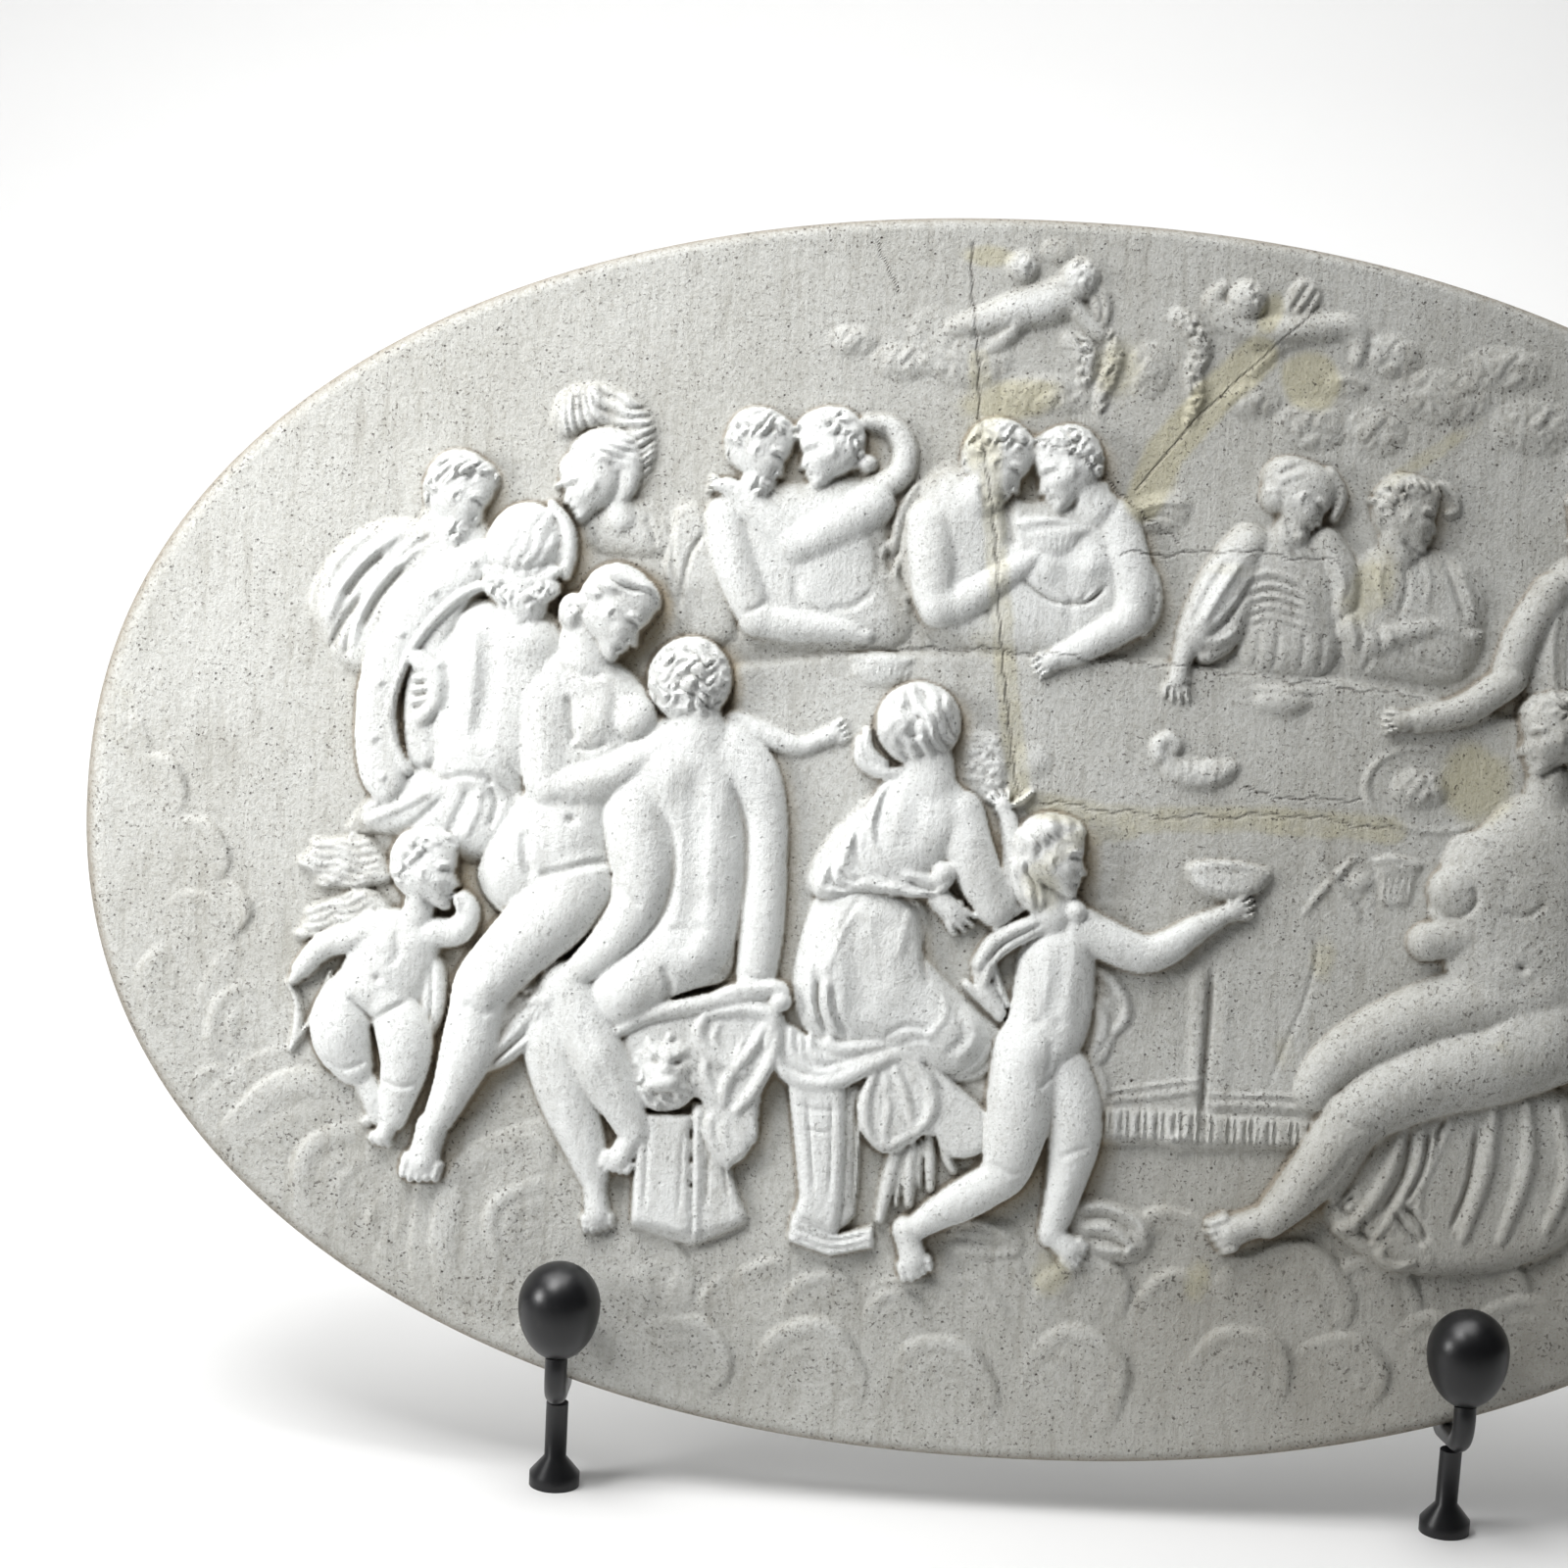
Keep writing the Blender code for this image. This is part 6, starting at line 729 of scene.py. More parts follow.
def putti(c):
    """Two winged children with garlands, low and worn, under the upper edge."""
    c.pad([(-49, 163), (-40, 166), (-28, 164), (-24, 152), (-34, 148), (-47, 150)], -1.3, 1.5, 5)
    c.pad([(8, 177), (14, 174), (15.5, 166), (12, 161), (8, 168)], -0.6, 2.4, 3)
    c.pad([(-8, 184), (-2, 181), (2, 184), (0, 189), (-7, 189)], -0.6, 1.8, 3)
    c.lines(([(-48, 160), (-44, 154), (-36, 150)], 2.4, 0.7),
            ([(10, 174), (12, 169), (12, 163)], 1.0, -0.8))
    c.settle(0.1, join=1.6)
    c.roll([(-16, 161, 4.8), (-20, 156, 3.6), (-24, 152.5, 2.0)], -0.5, 0.7)
    c.roll([(-39, 156.5, 1.8), (-34, 159.5, 3.6), (-26, 162, 5.0), (-16, 166, 6.0)], -0.2, 0.62, join=2)
    c.roll([(-16, 165.5, 6.4), (-8, 168, 7.2), (0, 170.5, 6.2)], 0, 0.6, join=2)
    c.lines(([(-14, 158), (-8, 161.5), (0, 161)], 1.4, -1.0),
            ([(-30, 158), (-22, 158), (-15, 163)], 1.2, -1.0))
    c.settle(0.3, join=0.8)
    c.roll([(-2, 174, 3.6), (4, 167.5, 3.2), (12, 160, 2.6)], 0.8, 0.7)
    c.grow(lambda: c.egg((4.6, 177), (6.4, 6, 7.0), 0.3, turned(0, 0, 20), flat=0.75),
           lambda: c.knots(2, 180, 8, 8, 4.2, 1.1, 1))
    c.grow(lambda: c.egg((-13.6, 180), (5.6, 5, 5.4), -0.3, flat=0.75),
           lambda: c.knots(-13, 182, 7, 6, 4.0, 0.9, 2))
    c.settle(0.3, join=0.6)
    c.grow(lambda: c.roll([(2, 158, 3.2), (7, 155, 4.4), (8.5, 149, 3.6), (7, 144, 2.2)], -0.4, 0.7),
           lambda: c.knots(6, 151, 9, 11, 3.6, 1.6, 3))
    c.grow(lambda: c.roll([(15, 160, 2.4), (16.6, 153, 3.6), (14.6, 145, 3.2), (12.6, 138, 2.4),
                           (13.6, 133, 1.6)], -0.4, 0.7), lambda: c.knots(15, 148, 8, 16, 3.6, 1.4, 4))
    c.settle(0.2, join=0.8)
    c.pad([(68, 170), (73, 181), (80, 179), (80.5, 173), (74, 168)], -0.4, 2.2, 3)
    c.pad([(84, 152), (92, 153), (98, 148), (92, 144), (84, 146)], -1.2, 1.8, 3)
    c.lines(([(71, 170), (74, 175), (77, 180)], 0.9, -1.2),
            ([(74, 169), (77.4, 174), (79.4, 178)], 0.9, -1.2),
            ([(86, 149), (92, 150), (98, 147)], 1.2, 0.8))
    c.settle(0.2, join=1.2)
    c.roll([(50, 168, 4.6), (57, 164, 5.4), (66, 163, 5.6), (76, 165, 5.6), (84, 166, 4.6)], -0.3, 0.62,
           join=2)
    c.roll([(82, 166, 4.6), (90, 166.5, 4.0), (94, 162, 3.2), (93, 156, 2.6)], -0.1, 0.66, join=1)
    c.roll([(72, 162, 3.6), (66, 157, 3.2), (60, 150, 2.2)], -0.8, 0.66)
    c.roll([(52, 168, 3.6), (46, 172, 3.0), (50, 177, 2.4)], 0.2, 0.7)
    c.lines(([(68, 160), (74, 161), (82, 161)], 1.2, -0.9),
            ([(60, 160), (54, 160), (50, 163)], 1.4, -0.8))
    c.settle(0.3, join=0.8)
    c.grow(lambda: c.egg((57.5, 173), (6.4, 6, 6.6), 0.5, flat=0.75),
           lambda: c.knots(57, 176, 8, 7, 4.0, 1.1, 1))
    c.settle(0.3, join=0.6)
    c.grow(lambda: c.roll([(36, 167, 3.4), (41, 163, 4.4), (44, 157, 4.0), (42, 149, 3.2),
                           (43.6, 142, 3.2), (41, 133, 2.0)], -0.4, 0.7),
           lambda: c.knots(41, 151, 10, 22, 3.6, 1.7, 3))
    c.settle(0.2, join=0.8)


def table(c):
    """The laid table: the top and the cloth that hangs down at the front are one soft sheet."""
    c.pad([(-98, 50), (-65, 55.5), (-20, 58.5), (30, 59), (60, 57), (90, 56), (115, 53), (150, 46),
           (200, 38), (205, -20), (200, -92), (92, -93), (60, -95), (50, -95.5), (46, -94), (24, -94.5),
           (-60, -94), (-100, -60)], 0.3, 2.0, 2.5, smooth=False)
    c.lines(([(57.5, -36), (57, -60), (56.5, -78), (57.5, -93)], 1.3, -2.4),
            ([(53.5, -34), (53.8, -60), (54, -80)], 3.2, 0.9),
            ([(62, -40), (62, -60), (63, -78)], 2.6, 0.35),
            ([(85, -22), (90, -30), (87, -46), (81, -62), (76, -77)], 0.7, -0.6))
    for i in range(24):
        x = 27 + i * 1.28
        c.swell(x, -77.6 + (x - 28) * 0.19, 0.6, 0.6, 1.1)
    for i in range(28):
        c.swell(59 + i * 1.3, -76.6 - 0.4 * math.sin(i * 0.3), 0.6, 0.6, 1.1)
    c.lines(([(24, -81.5), (40, -79.4), (56, -76)], 1.2, 0.7),
            ([(58, -80), (76, -79.4), (95, -80)], 1.2, 0.7))
    for i in range(11):
        c.swells((30 + i * 2.5, -79.6 + i * 0.45, 1.1, 0.8, 0.7, 40),
                 (61 + i * 3.1, -80.4, 1.2, 0.8, 0.7, -35))
    c.lines(([(26, -81.5), (40, -80), (56, -77)], 0.6, -0.6),
            ([(58, -83), (75, -82.5), (94, -83)], 0.6, -0.6))
    for i in range(17):
        x = 27 + i * 1.85
        c.line([(x, -82.5 + 0.05 * i), (x + 0.5 * math.sin(i * 2.1), -88), (x + 0.4, -93)], 0.9, 1.5)
    for i in range(20):
        x = 59 + i * 1.8
        c.line([(x, -83), (x + 0.5 * math.sin(i * 1.7), -88), (x + 0.2, -93)], 0.85, 1.5)
    c.curl(50, -92, 4, 1.2)
    c.curl(47, -93, 3, 0.8)
    c.settle(0.2)
    dishes(c)


def soldier(c):
    """Helmeted soldier seen from behind, leaning on his shield."""
    c.pad([(-192, 52), (-188, 60), (-180, 66), (-166, 67), (-156, 63), (-150, 56), (-149, 42),
           (-153, 26), (-158, 12), (-163, 4), (-178, 2), (-190, 8), (-192, 16), (-192.5, 30),
           (-193.5, 42)], 2.6, 6.6, 15, join=2)
    c.pad([(-192, 16), (-180, 11), (-160, 10), (-160, 0), (-165, -8), (-176, -16), (-190, -12),
           (-204, -9), (-216, -9), (-215, -4), (-206, 7)], 1.8, 4.2, 10, join=3)
    c.lines(([(-185.5, 61), (-186.5, 44), (-185, 26)], 3.4, -1.9),
            ([(-174.5, 58), (-174, 40), (-176, 20)], 4.4, -1.3))
    c.swells((-180, 44, 4, 14, 0.9), (-163, 54, 7, 6, 1.2), (-161, 34, 5, 12, 0.6))
    c.lines(([(-166, 58), (-160, 61.5), (-154, 60)], 1.4, -1.0),
            ([(-172, 66), (-164, 62), (-158, 63)], 1.2, -0.8),
            ([(-195, 17), (-188, 9.5), (-180, 11), (-170, 9), (-163, 4)], 1.3, -1.3),
            ([(-190, 6), (-200, 0), (-212, -6)], 1.8, 1.0),
            ([(-186, 4), (-194, -4), (-204, -10)], 1.6, -1.2),
            ([(-178, 8), (-182, -2), (-186, -12)], 1.8, -1.0),
            ([(-172, 8), (-170, 2), (-172, -6)], 1.4, -1.2),
            ([(-166, 6), (-164, 0), (-168, -6)], 1.2, -0.8),
            ([(-175, 8), (-176, 0), (-180, -10)], 1.5, 0.8),
            ([(-200, 8), (-206, 2), (-214, -2)], 1.2, 0.8),
            ([(-167, 16), (-163, 11), (-160, 9)], 1.0, -0.8),
            ([(-175, 13), (-172, 10), (-174, 8)], 1.0, -0.9),
            ([(-190, 22), (-187, 16), (-184, 11)], 1.0, -0.9))
    c.settle(0.5, join=0.8)
    c.roll([(-166, 74, 7), (-165, 66, 8)], 5.0, 0.6, 2)
    c.settle(0.2, join=2.5)
    c.grow(lambda: c.egg((-165, 84), (12.6, 10, 13.6), 4.8, turned(0, 0, 8), flat=0.72),
           lambda: c.waves(-164, 84, 14, 15, 4.0, 0.7, 70, 0.2, 1))
    c.roll([(-158, 97.5, 1.6), (-153, 91, 2.6), (-151.5, 83, 2.8), (-152.5, 75, 2.0)], 6.0, 0.75,
           join=0.5)
    c.roll([(-176, 75, 2.0), (-170, 72, 2.0), (-162, 72.5, 2.0), (-155, 76, 2.0)], 8.2, 0.7, join=1.5)
    c.lines(([(-157.5, 95), (-154.5, 86), (-156, 77)], 0.9, -1.3),
            ([(-176, 84), (-172, 92), (-165, 96.5)], 1.0, -0.7),
            ([(-176, 78), (-166, 76), (-156, 79)], 0.9, -1.0))
    c.grow(lambda: c.roll([(-175, 71, 3.6), (-166, 67, 4.6), (-157, 71, 4)], 6.5, 0.8, join=1),
           lambda: c.knots(-166, 69, 12, 7, 5.0, 2.4, 1))
    c.settle()


def shield(c):
    """Round shield seen half from its side, with a raised rim and rivets."""
    rim = [(-177, 85), (-188, 80), (-197, 73), (-205, 62), (-211, 50), (-214, 38), (-215, 28),
           (-214.5, 18), (-212, 8), (-208, 2), (-203, 0.5), (-199, 8), (-201, 18), (-203, 30),
           (-201, 42), (-196, 54), (-189, 64), (-180, 71), (-175, 77)]
    c.pad(rim, 5.5, 2.2, 4)
    c.settle(0.8)
    c.pad([(-177, 74), (-186, 68), (-194, 58), (-199, 46), (-201, 34), (-200, 20), (-197, 12),
           (-190, 16), (-190, 34), (-189, 50), (-184, 62)], 3.5, 1.6, 3)
    c.settle(0.4)
    lip = [(-177, 71, 1.6), (-185, 67, 1.8), (-193, 59, 1.8), (-199, 50, 1.8), (-203, 40, 1.8),
           (-205, 30, 1.8), (-204, 22, 1.8), (-201, 15, 1.7), (-198, 11, 1.4)]
    c.roll(lip, 6.5, 0.8)
    outer = [(-176, 84.5, 1.3), (-188, 79.5, 1.4), (-197, 72, 1.4), (-205, 61.5, 1.4), (-211, 50, 1.4),
             (-214, 38, 1.4), (-214.6, 28, 1.4), (-214, 18, 1.4), (-211.6, 8, 1.4), (-207, 2, 1.3)]
    c.roll(outer, 6.0, 0.8)
    for x, z in ((-181, 77.5), (-193, 67.5), (-202.5, 54), (-208.5, 38.5), (-209.5, 21), (-206, 9)):
        c.egg((x, z), (1.5, 1.5, 1.5), 7.4, join=0.3)
    c.settle(0.2)
    c.roll([(-198, 47, 3), (-192, 42, 3.4), (-191, 34, 3), (-195, 28, 2.6)], 6.0, 0.7)
    for i in range(4):
        c.roll([(-190, 45 - i * 3.4, 1.4), (-198, 44 - i * 3.6, 1.2)], 7.0, 0.7, join=0.2)
    c.settle(0.4)


def seated_woman(c):
    """Seated woman at the left, leaning over her forearm."""
    c.pad([(-158, 50), (-148, 53), (-136, 50), (-127, 43), (-120, 34), (-120, 26), (-126, 14), (-132, 4),
           (-133, -8), (-130, -20), (-140, -28), (-158, -32), (-168, -31), (-175, -21), (-172, -11),
           (-166, 0), (-161, 7), (-162, 20), (-164, 30), (-163, 43)], 3.8, 6.6, 14, join=2, power=0.6)
    c.roll([(-142, -21, 12, 4.0), (-150, -31, 12.2, 6.0), (-158.5, -39.5, 11.2, 7.0),
            (-166, -48, 10.2, 7.6), (-171, -55, 9.6, 7.8), (-173, -64, 8.8, 7), (-175, -75, 8.8, 6.6),
            (-179, -87, 6.6, 6), (-183, -97, 5, 6)], 0, 0.66, join=4)
    c.roll([(-154, 44, 8.5, 3.5), (-156.5, 36, 8.6, 5.8), (-156, 24, 8, 6.6), (-154.5, 11, 7.4, 7.4)], 0,
           0.66, join=2.5)
    c.egg((-140.5, 29.5), (8, 6, 8.6), 7.4, join=3, flat=0.75)
    c.egg((-128, 31.5), (7, 6, 7.6), 7.0, join=3, flat=0.75)
    c.swells((-134.3, 34, 2.0, 6, -0.9), (-147, -6, 9, 9, 1.5), (-167, -16, 6, 8, 0.8))
    c.lines(([(-149.3, 38), (-147.5, 30), (-146.5, 22)], 1.7, -1.6),
            ([(-160.5, -5), (-159.5, -14), (-157, -20)], 2.2, -1.7),
            ([(-157, -20), (-148, -17.5), (-140, -15), (-133, -14)], 1.8, -1.6),
            ([(-171, -28), (-174, -38), (-180, -47)], 1.4, -0.8))
    c.swell(-146, -1.3, 1.6, 1.4, -2.0)
    c.line([(-146, 14), (-145, 6), (-146, 1)], 2.6, -0.6)
    c.swells((-141, 26.5, 1.1, 1.1, 0.6), (-128.5, 29, 1.0, 1.0, 0.6))
    c.lines(([(-152, 47), (-144, 44), (-138, 44.5)], 1.5, -0.9),
            ([(-137, 47), (-131, 43.5), (-125, 42)], 1.4, -0.7),
            ([(-147, 21.5), (-141, 21), (-135.5, 23.5)], 1.2, -1.0),
            ([(-133, 26), (-129, 24), (-123.5, 26.5)], 1.2, -0.8),
            ([(-165, -60), (-170, -63), (-177, -60)], 1.8, -0.7))
    c.swell(-170, -56, 5, 4, 0.7)
    c.lines(([(-178, -66), (-181, -78), (-184, -92)], 2.0, -0.6),
            ([(-133, -17), (-130, -18.5)], 1.2, -1.2), ([(-130, 10), (-132, 0), (-131, -10)], 2.4, -0.7))
    c.settle(0.5)
    c.roll([(-146.5, 58, 6.4), (-145, 50, 7.6)], 4.8, 0.6, 3)
    c.settle(0.1, join=3.5)
    c.profile(-136, 64, 28, 6.0, 1, 38, 4.6, 150, high=0.3)
    c.grow(lambda: c.egg((-149, 64), (5, 5, 6), 7.0, flat=0.8),
           lambda: c.knots(-149, 64, 6, 7, 4.5, 1.2, 2))
    c.settle()
    c.roll([(-153, 8.8, 7.0, 8.2), (-146, 9.4, 7.4), (-137, 12.4, 7.4), (-127, 18.5, 6),
            (-118, 22.6, 4.8)], 8.0, 0.64)
    c.roll([(-119, 22.6, 4.9), (-112, 22, 5.2), (-107, 21, 4)], 8.8, 0.5, join=2)
    c.swell(-141, 12.5, 6, 4, 0.5)
    for i in range(4):
        x, z = -113, 25.8 - i * 2.5
        c.roll([(x, z, 1.6), (x + 5, z - 0.7 - 0.2 * i, 1.5),
                (x + 9 - 0.9 * i, z - 2.4 + 0.4 * i, 1.25)], 10.0, 0.9, join=0.2)
    c.lines(([(-120, 18.4), (-114, 16.6)], 0.9, -0.7), ([(-147, 4), (-152, 5.6)], 1.2, -0.6))
    c.settle()
    c.foot(-185, -100, -188.5, -116.5, 20, 5.2)
    c.settle(0.4, join=1)


def seated_man(c):
    """Seated man seen from behind at the table's left end."""
    c.roll([(-97, 32, 4), (-86, 28, 4), (-76, 25.5, 3.2), (-69, 28, 2.6)], 3.0, 0.6)
    c.settle(0.4, join=0.8)
    c.hand(-71, 27.5, 22, 12, 3.4)
    c.settle(0.3)
    c.roll([(-150, -58, 9.4, 1.6), (-148, -72, 10.4, 2.8), (-143, -88, 9.4, 3.0), (-137, -103, 7.0, 2.8),
            (-133.4, -113, 5.0, 2.6)], 0, 0.62, join=2)
    c.line([(-156, -72), (-150, -86), (-143, -100)], 2.0, -0.6)
    c.settle(0.4)
    c.foot(-133.4, -113, -131, -130, 16, 2.4)
    c.settle(0.3)
    c.roll([(-145, -54, 9, 5.0), (-138, -68, 9.4, 6.0), (-131.4, -80, 8.8, 6.2), (-125.6, -90, 7.0, 5.6),
            (-121.6, -98, 5.2, 5.0)], 0, 0.62, join=2)
    c.swell(-134, -76, 5, 8, 0.8, -30)
    c.line([(-140, -64), (-134, -76), (-127, -88)], 1.6, -0.5)
    c.settle(0.4)
    c.foot(-121.6, -98, -127.5, -111, 16, 4.6)
    c.settle(0.3)
    c.roll([(-98, 22, 11, 3), (-90, 14, 9, 4.8), (-85.5, 2, 7, 5.4), (-84.6, -14, 6.7, 5.4),
            (-84.8, -28, 7.2, 5.4), (-85.4, -40, 6.8, 5.2), (-86, -51, 6, 5.0)], 0, 0.62, join=3)
    c.pad([(-124, 30), (-112, 35), (-101, 32), (-97, 26), (-94, 18), (-92, 8), (-91, 0), (-90, -10),
           (-90.5, -20), (-92, -30), (-92.5, -38), (-93.5, -45), (-97, -50), (-106, -53), (-113, -56.5),
           (-117, -61), (-123, -66), (-131, -70), (-137, -63), (-140, -55), (-138, -47), (-128, -38),
           (-119, -28), (-118, -10), (-124, 2), (-134, 10), (-133, 22)], 5.0, 7.4, 15, join=2.5,
          power=0.6)
    c.roll([(-124, 14, 9, 4.5), (-126.5, 4, 9.6, 7.2), (-124.6, -8, 10, 8.2), (-123, -18, 9.2, 8.6),
            (-125, -28.5, 8, 8.4), (-132, -39, 6.8, 8), (-141, -48, 5, 7.6), (-147, -55, 4, 7)], 0, 0.62,
           join=1.4)
    c.line([(-107, 20), (-107, 6), (-106.5, -10), (-107, -30), (-111, -46)], 4.4, -1.3, ends=0.0)
    c.line([(-97, 14), (-94, 6), (-91, -4), (-90.5, -16), (-91, -30), (-93, -46)], 1.6, -1.2)
    c.swells((-115, 14, 6, 8, 1.2), (-99.5, 10, 4.5, 8, 1.0), (-126, -56, 9, 9, 1.7),
             (-104, -43, 8, 7, 1.5), (-101, -24, 6, 5, -0.9))
    c.line([(-117.5, 4), (-113.8, -6), (-113.2, -16), (-115, -27), (-121, -37), (-132, -47)], 1.3, -1.2)
    c.swells((-112, 8, 2.2, 7, -0.6, 8), (-101.5, 8, 2.2, 7, -0.6, -8))
    c.line([(-115, -45), (-112.5, -52), (-114, -57)], 1.8, -1.3)
    c.swells((-112, -34, 1.8, 1.6, -0.8), (-103.5, -33, 1.8, 1.6, -0.7))
    c.lines(([(-131, -20), (-127, -24.5), (-122, -27)], 1.6, -0.6),
            ([(-100, -44), (-94, -47), (-93, -50)], 1.6, -0.8),
            ([(-90, -46), (-86, -48), (-80, -48)], 1.0, -0.6))
    c.settle(0.5)
    c.roll([(-109, 36, 7.5), (-108, 28, 9)], 5.8, 0.6)
    c.settle(0.1, join=3.5)
    c.grow(lambda: c.egg((-111.5, 44.5), (13.2, 11, 13.6), 6.6, turned(0, 0, 20), flat=0.7),
           lambda: c.knots(-111.5, 44.5, 15, 15, 5.6, 2.6, 2))
    c.settle()
    c.hand(-146.5, -54, 225, 13, 7.4)
    c.settle(0.3)
    c.roll([(-150, -60, 2.6), (-158, -62, 3.6), (-166, -68, 4), (-172, -78, 3)], 4.5, 0.7)
    c.pad([(-150, -56), (-158, -52), (-165, -60), (-170, -70), (-175, -79), (-172, -83), (-162, -79),
           (-153, -71), (-146, -64)], 3.6, 2.6, 4)
    c.lines(([(-155, -54), (-163, -61), (-173, -79)], 1.6, 1.2),
            ([(-150, -58), (-158, -66), (-170, -80)], 1.5, 1.2),
            ([(-148, -64), (-157, -72), (-167, -81)], 1.4, 1.1),
            ([(-153, -57), (-161, -64), (-171, -78)], 1.0, -1.2),
            ([(-149, -61), (-157, -69), (-168, -80)], 1.0, -1.2),
            ([(-162, -54), (-158, -57), (-153, -55)], 1.1, -1.6))
    c.settle(0.4)


def standing_cupid(c):
    """Winged child with a bow in front of the seated woman's leg."""
    feathers(c, (-204, -22), [(-215, -11), (-226, -13), (-230, -19), (-224, -25)], 3.0, 1.2)
    feathers(c, (-204, -32), [(-217, -31), (-227, -35), (-230, -42), (-222, -41)], 3.0, 1.4)
    c.settle(0.4)
    c.roll([(-233, -57, 1.2), (-230, -62, 1.4), (-229, -70, 1.6), (-231, -79, 1.1)], 2.2, 0.8)
    c.roll([(-231, -79, 0.9), (-225, -68, 1.0), (-219, -52, 0.9)], 2.6, 0.8)
    c.settle(0.3)
    c.pad([(-191, -48), (-186, -46), (-183, -52), (-183, -64), (-187, -73), (-191, -66)], 2.8, 2.6, 4)
    c.line([(-188, -48), (-187, -60), (-188, -71)], 0.9, -1.2)
    c.settle(0.4)
    c.pad([(-212, -35), (-203, -32), (-190, -34), (-185, -41), (-187, -50), (-190, -58), (-191, -65),
           (-203, -70), (-215, -67), (-218, -58), (-215, -48), (-214, -41)], 3.2, 4.8, 10, join=2,
          power=0.6)
    c.roll([(-208, -85, 3.8, 2.6), (-204.4, -91, 4.0, 2.8), (-202.4, -98, 3.0, 2.8)], 0, 0.66, join=1)
    c.roll([(-212, -58, 7.4, 3.4), (-215.4, -66, 9.2, 4.8), (-214.6, -74, 9.4, 4.8),
            (-210.6, -82, 6.4, 4.0)], 0, 0.62, join=1.2)
    c.roll([(-200, -63, 7.4, 4.6), (-195.4, -71, 9, 5.6), (-194.4, -80, 8.0, 5.6), (-196, -90, 6.0, 5.0),
            (-197.2, -98, 4.2, 4.6)], 0, 0.64, join=1.4)
    c.swells((-204, -52, 7, 7, 1.4), (-205, -59, 5, 4, 0.6))
    c.line([(-214, -59), (-209, -64), (-205, -67), (-200, -64), (-193, -60)], 1.3, -1.5)
    c.swell(-204, -54, 1.2, 1.2, -1.6)
    c.lines(([(-205, -67), (-205, -76), (-204, -86)], 1.2, -1.4),
            ([(-189, -86), (-195, -87.5), (-201, -86)], 1.0, -0.9),
            ([(-220, -80), (-213, -83), (-206, -80)], 1.0, -0.9),
            ([(-199, -38), (-198, -46), (-201, -50)], 1.6, -0.6))
    c.swells((-203, -43, 3.5, 3, 0.6), (-193, -42, 3.5, 3, 0.5))
    c.settle(0.4)
    c.roll([(-207, -38, 5, 3.5), (-213, -42, 4.8, 4.4), (-222, -45, 4.2, 4.2), (-229, -53, 3.2, 3.8)], 0,
           0.7)
    c.roll([(-188, -39, 5, 4.0), (-180, -38, 4.6, 5), (-177, -32, 3.8, 5.6), (-179, -28, 3, 6)], 0, 0.7)
    c.settle(0.4, join=1)
    c.hand(-229, -53, 240, 8, 4.0)
    c.foot(-197.4, -98, -202, -107, 12, 4.4)
    c.foot(-202.4, -97, -208, -101, 8, 2.6)
    c.settle(0.3)
    c.roll([(-193, -34, 5, 4.5), (-192, -27, 5, 5)], 0, 0.6)
    c.profile(-190.5, -20, 25, 5.0, 1, 4, 5.6, high=0.28)
    c.settle()
    c.hand(-179.5, -31, 110, 8, 7.4)
    c.settle(0.2)


